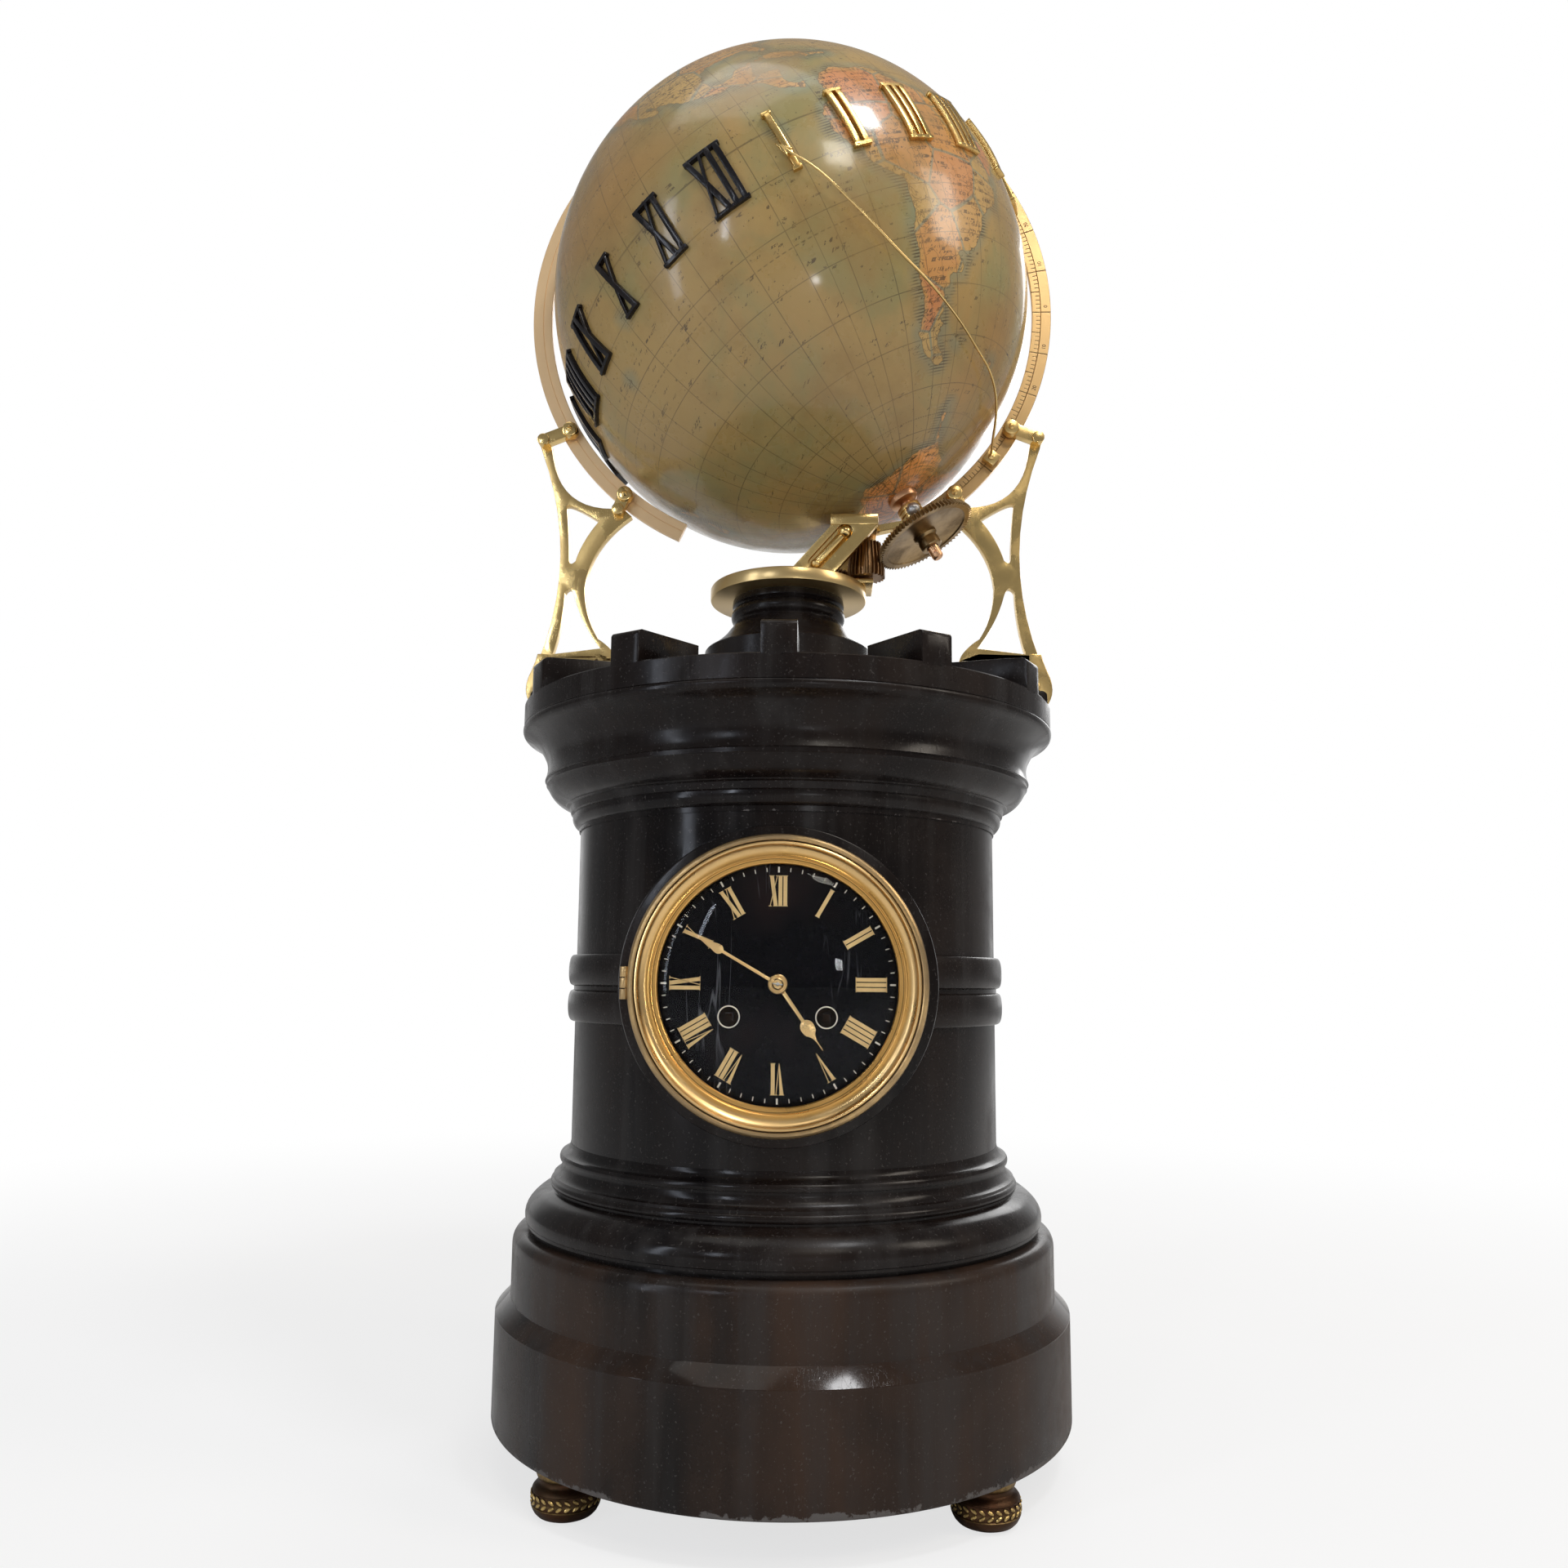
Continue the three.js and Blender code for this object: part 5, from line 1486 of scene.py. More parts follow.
@dataclass
class SlateTower:
    """The stack of turned slate pieces under the globe."""

    steps: int = 192
    dial_height: float = DIAL_HEIGHT
    levels: dict[str, float] = field(default_factory=lambda: {
        "plinth": 0.0195, "step": 0.0747, "moulding": 0.105, "drum": 0.145, "cornice": 0.2993,
        "crown": 0.3515, "crown_floor": 0.363, "flange": 0.4276, "flange_top": 0.4345,
    })

    def build(self) -> None:
        """Builds every slate piece and its flange."""
        self.plinth()
        self.step()
        self.moulding()
        self.drum()
        self.cornice()
        self.battlement()
        self.pedestal()

    @staticmethod
    def finish(piece: Piece, node: str, finish: Finish, slot: str = "slate") -> None:
        """Smooths a piece of the tower and has it stand for a CAD node."""
        ride(Bench.smooth(piece), "case", slot, finish, node)

    def turned(self, name: str, outline: Outline) -> Piece:
        """Turns an outline of millimetres round the tower's axis.

        Args:
            name: the piece's name.
            outline: pairs of radius and height.

        Returns:
            The piece.
        """
        closed = [(0.0, outline[0][1]), *outline, (0.0, outline[-1][1])]
        return Bench.spun(name, mm(closed), steps=self.steps)

    def plinth(self) -> None:
        """The lowest slab, with its polished chamfer."""
        outline = [
            (139.6, 19.5), *arc(139.8, 20.7, 1.2, -90, 0, 4), (141, 24), (141, 30), (141, 67.4),
            (140.9, 67.9), (134.5, 74.3), (134, 74.7),
        ]
        self.finish(self.turned("plinth_slab", outline), "plinth", PLAIN_SLATE)

    def step(self) -> None:
        """The second slab, with a rounded upper edge."""
        outline = curve((134, 74.7), (134, 98.4), (134, 104.2, 129.2, 105), steps=8)
        self.finish(self.turned("step_slab", outline), "base_step", PLAIN_SLATE)

    def moulding(self) -> None:
        """The ovolo, its fillets and the scotia up to the drum."""
        outline = curve(
            (124.8, 105), (124.8, 106.9), (127.3, 107.3), (127.3, 108.6), (127.9, 109),
            (130.5, 116.4, 121.0, 122.6), (116.0, 123.4), (115.4, 123.9), (115.4, 124.9), (116.3, 125.3),
            (117.2, 126.9, 116.0, 128.4), (115.3, 128.8), (115.2, 130.1), (111.6, 131.4, 111.1, 136.0),
            (111.2, 136.8), (112.3, 137.2), (112.9, 138.8, 111.9, 140.2), (110.6, 140.6),
            (108.3, 141.6, 107.6, 144.0), (107.4, 145), steps=8,
        )
        self.finish(self.turned("base_rings", outline), "base_moulding", SLATE)

    def drum(self) -> None:
        """The drum with its double band, collars and bore."""
        middle = 220.7
        band = curve(
            (107.2, 145), (107.2, middle - 16.4), (109.0, middle - 16.2), (111.0, middle - 15.4, 111.0, middle - 8.4),
            (111.0, middle - 2.2, 109.4, middle - 1.4), (108.2, middle - 0.9), (108.2, middle + 0.9),
            (109.4, middle + 1.4), (111.0, middle + 2.2, 111.0, middle + 8.4),
            (111.0, middle + 15.4, 109.0, middle + 16.2), (107.2, middle + 16.4), (107.2, 299.3), steps=8,
        )
        body = self.turned("drum", band)
        centre = (0, 0, self.dial_height)
        outline = mm([(0, -110.5), (68, -110.5), (68.7, -110.2), (69, -109.5), (69, -20), (0, -20)])
        front = Bench.spun("front_collar", outline, BACK, centre)
        outline = mm([(0, 109.5), (61.2, 109.5), (61.8, 109.2), (62, 108.6), (62, 20), (0, 20)])
        rear = Bench.spun("rear_collar", outline, BACK, centre)
        for low, high, radius in ((-0.1185, -0.1105, 0.069), (0.1095, 0.1175, 0.062)):
            facing = Bench.rod("facing", (0, low, self.dial_height), (0, high, self.dial_height), radius, 128, 0)
            Bench.boolean(body, facing)
        Bench.boolean(body, front, "UNION")
        Bench.boolean(body, rear, "UNION")
        outline = mm([(0, -112), (56.3, -112), (56.3, -107.2), (52, -107.2), (52, 111.5), (0, 111.5)])
        Bench.boolean(body, Bench.spun("bore", outline, BACK, centre, 96))
        slot = Bench.block("slot", (-0.0224, -0.0579, 0.1452), (0.0224, -0.0411, 0.2237), 0)
        Bench.boolean(body, slot)
        shaft = Bench.rod("shaft_bore", (0.02371, -0.00623, 0.24), (0.02371, -0.00623, 0.31), 0.0045, 24, 0)
        Bench.boolean(body, shaft)
        body.name = "tower_wall"
        self.finish(body, "tower_drum", SLATE)

    def cornice(self) -> None:
        """The flared cornice with its beads."""
        outline = curve(
            (107.2, 299.3), (107.9, 299.3), (108.0, 301.6), (109.6, 302.2), (112.0, 304.6, 111.3, 308.2),
            (112.4, 308.8), (113.2, 311.8), (114.8, 312.4), (115.0, 312.9), (121.6, 314.8, 124.6, 322.2),
            (125.2, 322.6), (125.2, 324.6), (126.0, 325.0), (123.2, 332.4, 127.0, 338.8),
            (129.6, 344.6, 136.6, 347.6), (138.0, 348.6, 137.7, 350.9), (137.3, 351.5), steps=8,
        )
        self.finish(self.turned("cornice_rings", outline), "cornice", CORNICE_SLATE)

    def battlement(self) -> None:
        """The crown's floor and its twelve merlons."""
        floor = self.turned("crown_floor", [
            (136.9, 351.5), (137.4, 352.0), (137.4, 362.4), (136.9, 363.0)])
        outline = mm([
            (92.4, 361.5), (137.4, 361.5), (137.4, 374.6), (137, 376.1), (136.1, 377.1), (134.8, 377.7),
            (92.4, 380.6)])
        merlon = Bench.plate("merlon", [outline], -0.0078, 0.0156, 0)
        rim = Bench.spun("rim", mm(bar(80, 350, 137.4, 390)), steps=self.steps, closed=True)
        Bench.boolean(merlon, rim, "INTERSECT")
        Bench.bevel(merlon, 0.0004, 2, 40)
        pieces = [floor]
        for k in range(12):
            pieces.append(Bench.copy(merlon, f"merlon_{k:02d}", Matrix.Rotation(TURN * k / 12, 4, "Z")))
        bpy.data.objects.remove(merlon)
        crown = Bench.join("crown", pieces)
        self.finish(crown, "battlement", SLATE)

    def pedestal(self) -> None:
        """The turned column under the globe and its brass flange."""
        outline = curve(
            (44.3, 363), (44.6, 363.4), (44.6, 398.7), (44.1, 399.4), (43.3, 399.9), (38.6, 402.6, 33.6, 408.0),
            (31.4, 411.2, 29.3, 413.6), (28.9, 414.4), (29.2, 415.2), (30.6, 416.6, 30.7, 418.8),
            (30.6, 421.0, 29.3, 422.2), (28.8, 422.9), (29.2, 423.6), (30.0, 424.2), (30.1, 425.2), (29.8, 427.6),
            steps=7)
        self.finish(self.turned("column", outline), "pedestal", SLATE)
        flange = self.turned("flange", [
            (41.2, 427.6), (41.8, 427.9), (42, 428.5), (42, 433.6), (41.7, 434.2), (41.0, 434.5)])
        self.finish(flange, "pedestal_flange", BRASS, "brass")


# Coarse outlines of the lands, drawn as longitude, latitude, longitude, latitude and so on, in degrees
LANDS: dict[str, Sequence[float]] = {
    "south_america": (
        -77.5, 8.5, -75.5, 10.6, -72, 12, -68, 11, -62, 10.7, -60, 8.4, -57, 6, -52, 4.8, -50, 1, -48, -1, -44, -2.5,
        -40, -3, -37, -4.8, -35, -6, -35, -9, -38.4, -13, -39, -17, -41, -22, -45, -23.5, -48.5, -26, -49, -29, -52,
        -32.5, -55, -34.8, -58.3, -34, -56.8, -36.4, -58, -38.4, -62, -39, -62.5, -41, -65, -41, -63.9, -42.6, -65.5,
        -45, -67.4, -46.2, -65.9, -47.8, -68.8, -50.2, -68.4, -52.4, -65.3, -54.8, -68, -55.7, -71, -54.6, -74, -52,
        -75.4, -48.5, -74.4, -45, -73.2, -42, -73.7, -38, -72, -33, -71.5, -30, -70.4, -25, -70.2, -18.5, -72.5, -17,
        -76.3, -14, -78.2, -10, -79.8, -7, -81.3, -5, -80, -3, -80.9, -1.2, -79.9, 1, -78.6, 2, -77.2, 4, -77.7, 6.8),
    "north_america": (
        -77.5, 8.3, -79.5, 8.8, -80.4, 7.3, -83, 8.2, -85.8, 10, -87.6, 12.9, -91.2, 13.9, -94, 16.2, -97, 15.8,
        -101.6, 17.6, -105.6, 20.3, -106.5, 23.4, -109.4, 26.5, -112.6, 29.6, -114.6, 31.6, -112.6, 27.8, -110.4,
        24.3, -109.7, 23, -112.1, 25, -114.8, 27.7, -115.9, 30.2, -117.2, 32.6, -120.6, 34.5, -122.5, 37.4, -124.2,
        40.3, -124, 46, -123, 49, -127.6, 51, -130.5, 54.5, -134, 58, -139.5, 59.8, -147, 60.6, -151.6, 59.3, -158,
        56.4, -164.6, 54.7, -158, 58.7, -162, 59, -166, 61.7, -161, 64.5, -168, 65.7, -163, 67, -166.4, 68.4, -156.6,
        71.3, -141, 69.7, -128, 70, -115, 68.5, -108, 68, -96, 68, -94, 72, -85, 69.6, -81.6, 67.5, -87, 65, -94, 61,
        -94.7, 58.6, -88, 56.5, -82.2, 55, -82, 52.8, -79, 51.4, -79, 54.5, -76.6, 57, -78, 62.4, -73, 62, -69.6, 59,
        -65, 60, -61.6, 56.5, -56, 52.5, -60, 50, -66.5, 50, -69, 48.2, -65, 49.2, -64.6, 46.5, -61, 45.8, -65.6,
        43.6, -67, 45, -70.6, 43, -70, 41.7, -74, 40.6, -75.6, 37.5, -76, 35, -81, 31.6, -80.1, 26.5, -81, 25.2,
        -82.8, 28, -84, 30, -89, 30.2, -91, 29.2, -94.6, 29.5, -97.3, 27.6, -97.8, 22.5, -95.6, 18.7, -92, 18.6,
        -90.4, 21, -87, 21.4, -88, 18, -88.6, 15.8, -83.3, 15, -83.6, 11, -81.6, 9, -79.5, 9.6),
    "greenland": (
        -73, 78.5, -60, 76, -54, 71, -53.5, 66.5, -48, 61, -43.5, 60, -40, 65, -27, 68.5, -22, 71.5, -18, 76, -13,
        81.5, -33, 83.5, -60, 82),
    "africa": (
        -6, 35.8, -1.8, 35, 10, 37.2, 11, 33.8, 15.2, 32.4, 20, 31, 22, 32.8, 31, 31.3, 32.6, 30, 34.3, 27, 37, 21,
        39.5, 15.3, 43.2, 11.8, 51, 11.8, 48, 4.5, 42.5, -1.5, 39.2, -6, 40.6, -11, 40.5, -15, 35, -20, 35.5, -24,
        32.8, -26, 32.5, -28.5, 28, -33, 20, -34.8, 18.3, -34, 15.2, -27, 11.8, -17, 13.7, -11, 12, -5, 8.8, -1, 9.5,
        4, 4.5, 6.3, -4, 5.2, -7.5, 4.4, -13, 8.5, -17, 14.5, -16.3, 19, -17, 21.5, -13, 27.7, -9.8, 30),
    "eurasia": (
        -9.5, 37, -9, 43.5, -1.5, 43.5, -1, 46, -4.5, 48.3, 1.5, 50, 4, 52, 8.5, 54, 8, 57, 10.5, 57.5, 10.8, 54.2,
        20, 54.5, 21.5, 57.5, 24, 59, 30, 60, 22, 60, 21.5, 63, 25, 65.5, 17.5, 61.5, 18.5, 59.5, 14, 55.5, 10.5,
        59.3, 5.5, 59, 5, 62, 14, 67.5, 25, 71, 41, 67, 34, 64.5, 44, 66.5, 54, 68.5, 68, 69, 73, 71.5, 80, 73, 104,
        77.7, 113, 74, 130, 71, 160, 70, 180, 69, 190, 66, 180, 62.5, 163, 60, 162.5, 57, 156.8, 51, 155.5, 57, 160,
        61, 143, 59.3, 135.5, 54.8, 141, 53, 140, 48, 135, 43.5, 130, 42.5, 129, 37, 126, 34.5, 125, 39.5, 121.5,
        40.8, 118, 39, 122.5, 37, 119.3, 35, 122, 30, 118, 24.5, 110, 20.5, 106, 19, 109.3, 12.5, 105, 8.6, 100.5,
        13.3, 99.3, 9.5, 103.5, 1.4, 98.5, 8, 97.5, 16.5, 94.3, 16, 90.5, 22.5, 87, 21, 80.3, 15.5, 80, 12, 77.5, 8,
        73, 17, 72.5, 21, 67, 25, 57.5, 25.7, 51, 28, 48, 30, 50.5, 27, 51.5, 24.5, 56.3, 26, 59.8, 22.5, 55, 17.5,
        45, 12.8, 43, 13.5, 39, 21.5, 35, 28, 34.5, 31.5, 36, 36.5, 27.5, 36.8, 26.3, 39.5, 29, 41.2, 41.5, 41.5, 37,
        45, 39, 47.3, 33.5, 45, 28.5, 44, 28, 41.5, 23, 40.3, 23, 36.5, 19.5, 40.3, 13.5, 45.5, 12.5, 44, 18.3, 40.2,
        15.8, 38, 12.3, 41.8, 8.8, 44.4, 3, 43.2, 0.2, 39.5, -2, 36.7, -5.5, 36),
    "australia": (
        142.5, -10.8, 145.3, -15, 146.5, -19, 150.5, -22.5, 153, -25.5, 153.5, -29, 151.5, -33, 150, -37.3, 146.3,
        -39, 143.5, -38.7, 140, -37.5, 138, -35.5, 137.8, -33, 135.5, -34.8, 131, -31.5, 124, -33, 118, -35, 115,
        -34.3, 115.7, -31.8, 113.5, -26, 114, -22, 117, -20.6, 122, -18, 125.5, -14.2, 129.5, -15, 131, -12.2, 136.8,
        -12.2, 135.5, -15, 139.5, -17.5, 141, -15),
    "antarctica": (
        -178, -78, -164, -79, -150, -77.6, -135, -77, -121, -78, -105, -79, -88, -77.4, -73, -75, -63, -74.4, -57,
        -74, -60, -71, -61.5, -67.5, -57.5, -64.5, -56, -66, -56, -71, -51, -74.5, -45, -76, -28, -79, -6, -80, 4,
        -78, 10, -75, 26, -69, 45, -67.5, 58, -67, 72, -69.5, 84, -67, 100, -66, 120, -66.5, 140, -67, 158, -70, 168,
        -73, 167, -77.5),
    "new_zealand_north": (
        172.7, -34.5, 175.5, -36.8, 178.5, -37.7, 177, -39.5, 175.2, -41.6, 173.8, -39.3, 174.7, -37.5),
    "new_zealand_south": (
        172.7, -40.6, 174.2, -41.8, 171.2, -44.2, 170.5, -46, 168.5, -46.6, 166.5, -45.8, 170.5, -43),
    "tasmania": (144.7, -40.8, 148.2, -40.9, 147.3, -43.5, 145.8, -43.2),
    "new_guinea": (
        131, -0.8, 135, -3.3, 138, -1.8, 144.5, -4, 147.5, -6.5, 150.5, -10.4, 146, -8.6, 143, -9, 138, -8.3, 133.5,
        -4),
    "borneo": (109, 1.5, 111.5, 2.8, 116.8, 7, 119, 5, 117.5, 1, 116, -3.7, 110.3, -2.8),
    "sumatra": (95.3, 5.6, 98.5, 3.8, 104, -1.5, 106, -3.2, 105.5, -5.8, 102, -4, 98.5, 1.5),
    "java": (105.3, -6.8, 110.8, -6.4, 114.5, -7.7, 114.3, -8.7, 108.5, -7.8),
    "celebes": (119.5, -5.5, 120, -1, 121, 1, 125, 1.5, 121.5, 0, 123, -1, 121.8, -2, 122.5, -5),
    "philippines": (120.5, 18.5, 122.3, 18.3, 121.8, 14, 124.8, 11, 126.3, 7.3, 124, 6.5, 120, 14),
    "japan": (
        130.5, 31.3, 132, 33.8, 136, 33.6, 140.7, 35.5, 142, 39.5, 145, 43.5, 141.8, 45.4, 140, 41.5, 139, 38, 136.7,
        36.5, 131, 34.4),
    "madagascar": (49.3, -12, 50.3, -16, 47, -25, 44, -25, 43.3, -22, 44.5, -17),
    "great_britain": (-5.5, 50, 1.3, 51.2, 0.3, 53, -2, 57.5, -5, 58.6, -5.5, 56, -3, 54, -4.5, 52),
    "ireland": (-10, 51.7, -6.2, 52.2, -6, 55.2, -9.5, 54),
    "iceland": (-24, 65.5, -14, 66.2, -14, 64.5, -22.5, 63.9),
    "ceylon": (79.8, 8, 81, 9, 81.8, 7, 80.3, 6),
    "cuba": (-84.9, 21.9, -80, 23.2, -74.3, 20.4, -77.5, 19.9, -81, 21.8),
    "hispaniola": (-74.3, 19.7, -69, 19.6, -68.5, 18.3, -74.3, 18.2),
    "baffin": (-68, 62.5, -64, 65.5, -72, 71, -89, 73.5, -88, 70.5, -76, 66),
    "victoria": (-116, 70, -105, 69, -105, 73, -118, 72.5),
    "ellesmere": (-90, 76.5, -78, 77, -62, 82.7, -90, 81.5),
    "falklands": (-61, -51.4, -58, -51.3, -58.6, -52.3, -60.8, -52.2),
    "novaya_zemlya": (52, 71, 58, 71, 68, 76.8, 60, 76),
    "sakhalin": (142, 46.5, 143.7, 49, 143, 54, 142, 51),
    "south_georgia": (-38, -54, -36, -54.2, -36, -54.9, -37.6, -54.6),
    "hawaii": (-156, 20.2, -154.9, 19.5, -155.8, 18.9),
    "marquesas": (-140.4, -8.8, -139.2, -9.2, -139.6, -10),
    "tahiti": (-150, -17.2, -149, -17.5, -149.4, -18.1),
    "galapagos": (-91.5, -0.1, -90.2, -0.4, -91, -1.1),
    "fiji": (177, -17.3, 178.7, -17.6, 178, -18.4),
    "samoa": (-172.8, -13.4, -171.5, -13.8, -172.3, -14.3),
}


class Half(Enum):
    """The two halves of the day that the globe's numerals count."""

    DAY = "day"
    NIGHT = "night"


@dataclass
class Globe:
    """The ball with its map and its twenty-four raised numerals."""

    map_turn = 93.0
    centre = Vector(GLOBE_CENTRE)
    axis = Vector((0.46805196, -0.12301366, -0.87509714))
    names = ("I", "II", "III", "IIII", "V", "VI", "VII", "VIII", "IX", "X", "XI", "XII")

    radius: float = 0.130
    segments: int = 400
    numeral_height: float = 0.033
    relief: float = 0.0024
    latitude: float = -3.5
    first_longitude: float = 1.3
    stroke: float = 0.0028
    thin_stroke: float = 0.0016
    serif: float = 0.0017
    bevel: float = 0.00035

    @classmethod
    def frame(cls) -> Matrix:
        """From longitude and latitude axes (Greenwich side, east, north) to the clock's frame.

        Returns:
            The matrix.
        """
        north = -cls.axis.normalized()
        facing = Vector((0, -1, 0))
        meridian = (facing - north * facing.dot(north)).normalized()
        east = north.cross(meridian)
        return Matrix((meridian, east, north)).transposed().to_4x4()

    def build(self) -> None:
        """Builds the ball, then the numerals of both halves of the day."""
        self.ball()
        self.numerals()

    def ball(self) -> None:
        """The papered ball, with the distance from the coast kept at each of its points."""
        ball = Bench.ball("papered_ball", (0, 0, 0), self.radius, self.segments)
        Bench.outward(Bench.moved(ball, Matrix.Translation(self.centre) @ self.frame()))
        Bench.smooth(ball, 60)
        count = len(ball.data.vertices)
        flat = np.zeros(count * 3)
        ball.data.vertices.foreach_get("co", flat)
        turned = (flat.reshape(-1, 3) - np.array(self.centre)) @ np.array(self.frame().to_3x3())
        layer = ball.data.attributes.new("coast", "FLOAT", "POINT")
        layer.data.foreach_set("value", self.coast(turned / np.linalg.norm(turned, axis=1)[:, None]))
        ride(ball, "globe", "map_paper", MapPaper(), "globe")

    def coast(self, points: np.ndarray) -> np.ndarray:
        """Measures how far each point is from the nearest coast.

        Args:
            points: directions from the middle of the globe, in its own axes.

        Returns:
            Degrees from the coast, above zero on land and at most 12.
        """
        reach = 12.0
        latitudes = np.degrees(np.arcsin(np.clip(points[:, 2], -1, 1)))
        longitudes = np.degrees(np.arctan2(points[:, 1], points[:, 0])) - self.map_turn
        inside = np.zeros(len(points), bool)
        nearest = np.full(len(points), reach)
        for name, run in LANDS.items():
            dense = self.dense(list(zip(run[::2], run[1::2])))
            inside ^= self.enclosed(name, dense, longitudes, latitudes)
            corners = self.directions(dense)
            for a, b in zip(corners, np.roll(corners, -1, axis=0)):
                middle = (a + b) / np.linalg.norm(a + b)
                near = np.nonzero(points @ middle > math.cos(math.radians(reach + 2)))[0]
                span = b - a
                share = np.clip((points[near] - a) @ span / max(span @ span, 1e-12), 0, 1)
                gap = np.linalg.norm(points[near] - a - share[:, None] * span, axis=1)
                nearest[near] = np.minimum(nearest[near], np.degrees(gap))
        return np.where(inside, nearest, -nearest)

    @staticmethod
    def dense(outline: Outline) -> np.ndarray:
        """Adds points to an outline so that none of its sides is longer than 3 degrees.

        Args:
            outline: pairs of longitude and latitude.

        Returns:
            The longer row of points.
        """
        points = []
        for (x0, y0), (x1, y1) in zip(outline, [*outline[1:], outline[0]]):
            wide = (x1 - x0 + 180) % 360 - 180
            steps = max(1, math.ceil(max(abs(wide), abs(y1 - y0)) / 3))
            points += [(x0 + wide * k / steps, y0 + (y1 - y0) * k / steps) for k in range(steps)]
        return np.array(points)

    def directions(self, outline: np.ndarray) -> np.ndarray:
        """Directions of an outline's longitudes and latitudes, in the globe's own axes."""
        lon, lat = np.radians(outline[:, 0] + self.map_turn), np.radians(outline[:, 1])
        return np.stack([np.cos(lat) * np.cos(lon), np.cos(lat) * np.sin(lon), np.sin(lat)], axis=1)

    @staticmethod
    def enclosed(name: str, outline: np.ndarray, longitudes: np.ndarray, latitudes: np.ndarray) -> np.ndarray:
        """Finds which points an outline encloses, round the pole for the polar land.

        Args:
            name: the land's name.
            outline: its outline.
            longitudes: the points' longitudes.
            latitudes: their latitudes.

        Returns:
            True for each point inside.
        """
        xs, ys = outline[:, 0], outline[:, 1]
        if name == "antarctica":
            lon, lat = np.radians(xs), ys + 90
            xs, ys = lat * np.cos(lon), lat * np.sin(lon)
            lon, lat = np.radians(longitudes), latitudes + 90
            px, py = lat * np.cos(lon), lat * np.sin(lon)
        else:
            low = xs.min() - 1
            px, py = (longitudes - low) % 360 + low, latitudes
        inside = np.zeros(len(px), bool)
        for x0, y0, x1, y1 in zip(xs, ys, np.roll(xs, -1), np.roll(ys, -1)):
            if y0 == y1:
                continue
            crosses = (y0 > py) != (y1 > py)
            inside ^= crosses & (px < x0 + (py - y0) * (x1 - x0) / (y1 - y0))
        return inside

    def numerals(self) -> None:
        """The numerals: each made flat once, then bent on to the ball for day and for night."""
        for k, letters in enumerate(self.names):
            flat = self.flat_numeral(letters)
            for half, start in ((Half.DAY, 0), (Half.NIGHT, 12)):
                number = f"{half.value}_{k + 1:02d}"
                piece = Bench.copy(flat, "raised_" + number, Matrix.Identity(4))
                self.bend(piece, self.first_longitude + 15 * (start + k))
                Bench.smooth(piece, 28)
                slot, finish = ("gilt", GILT_NUMERAL) if half is Half.DAY else ("black_gloss", BLACK_NUMERAL)
                ride(piece, "globe", slot, finish, "numeral_" + number)
            bpy.data.objects.remove(flat)

    def flat_numeral(self, letters: str) -> Piece:
        """Makes a numeral in the flat, upright in X and Z, and cuts it so that it can bend.

        Args:
            letters: the numeral.

        Returns:
            The numeral's piece.
        """
        size, half = self.numeral_height, self.numeral_height / 2
        widths = {"I": 0.14 * size, "V": 0.30 * size, "X": 0.30 * size}
        total = sum(widths[letter] for letter in letters)
        lean = 0.11 * size
        bars, place = [], -total / 2
        for letter in letters:
            middle = place + widths[letter] / 2
            strokes = {
                "I": [(0, 0, self.stroke)],
                "V": [(0, -lean, self.stroke), (0, lean, self.thin_stroke)],
                "X": [(lean, -lean, self.stroke), (-lean, lean, self.thin_stroke)],
            }[letter]
            for foot, top, width in strokes:
                bars.append([
                    (middle + foot - width / 2, -half), (middle + foot + width / 2, -half),
                    (middle + top + width / 2, half), (middle + top - width / 2, half),
                ])
            place += widths[letter]
        for level in (-half, half - self.serif):
            bars.append(bar(-total / 2, level, total / 2, level + self.serif))
        plates = [
            Bench.plate(f"bar_{k}", [outline], -self.relief, self.relief + 0.0003, self.bevel)
            for k, outline in enumerate(bars)]
        numeral = Bench.join("numeral", plates)
        Bench.edit()
        cuts = [((0, 0, z), UP) for z in np.linspace(-half, half, 9)[1:-1]]
        cuts += [((x, 0, 0), (1.0, 0.0, 0.0)) for x in np.arange(-total / 2 + 0.0035, total / 2, 0.0035)]
        for spot, normal in cuts:
            bpy.ops.mesh.select_all(action="SELECT")
            bpy.ops.mesh.bisect(plane_co=spot, plane_no=normal)
        Bench.leave()
        return numeral

    def bend(self, piece: Piece, longitude: float) -> None:
        """Bends a flat numeral round the ball at a longitude in degrees.

        Args:
            piece: the flat numeral.
            longitude: where it goes.
        """
        count = len(piece.data.vertices)
        flat = np.zeros(count * 3)
        piece.data.vertices.foreach_get("co", flat)
        x, y, z = flat.reshape(-1, 3).T
        level = math.radians(self.latitude)
        lon = math.radians(longitude) + x / self.radius / math.cos(level)
        lat = level + z / self.radius
        out = self.radius - y
        bent = np.stack([np.cos(lat) * np.cos(lon), np.cos(lat) * np.sin(lon), np.sin(lat)], axis=1) * out[:, None]
        placed = bent @ np.array(self.frame().to_3x3()).T + np.array(self.centre)
        piece.data.vertices.foreach_set("co", placed.ravel())
        Bench.outward(piece)


def ride(piece: Piece, body: str, slot: str, finish: Finish, *nodes: str) -> Piece:
    """Dresses a finished piece, attaches it to the body that it moves with and hides the CAD nodes that it stands
    for.

    Args:
        piece: the piece.
        body: the body that it moves with.
        slot: the record's material slot; not used.
        finish: its finish.
        nodes: the CAD nodes that it replaces, if any.

    Returns:
        The same piece.
    """
    finish.dress(piece)
    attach(piece, body)
    if nodes:
        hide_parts(*nodes)
    LOG.info("%s: %d faces", piece.name, len(piece.data.polygons))
    return piece


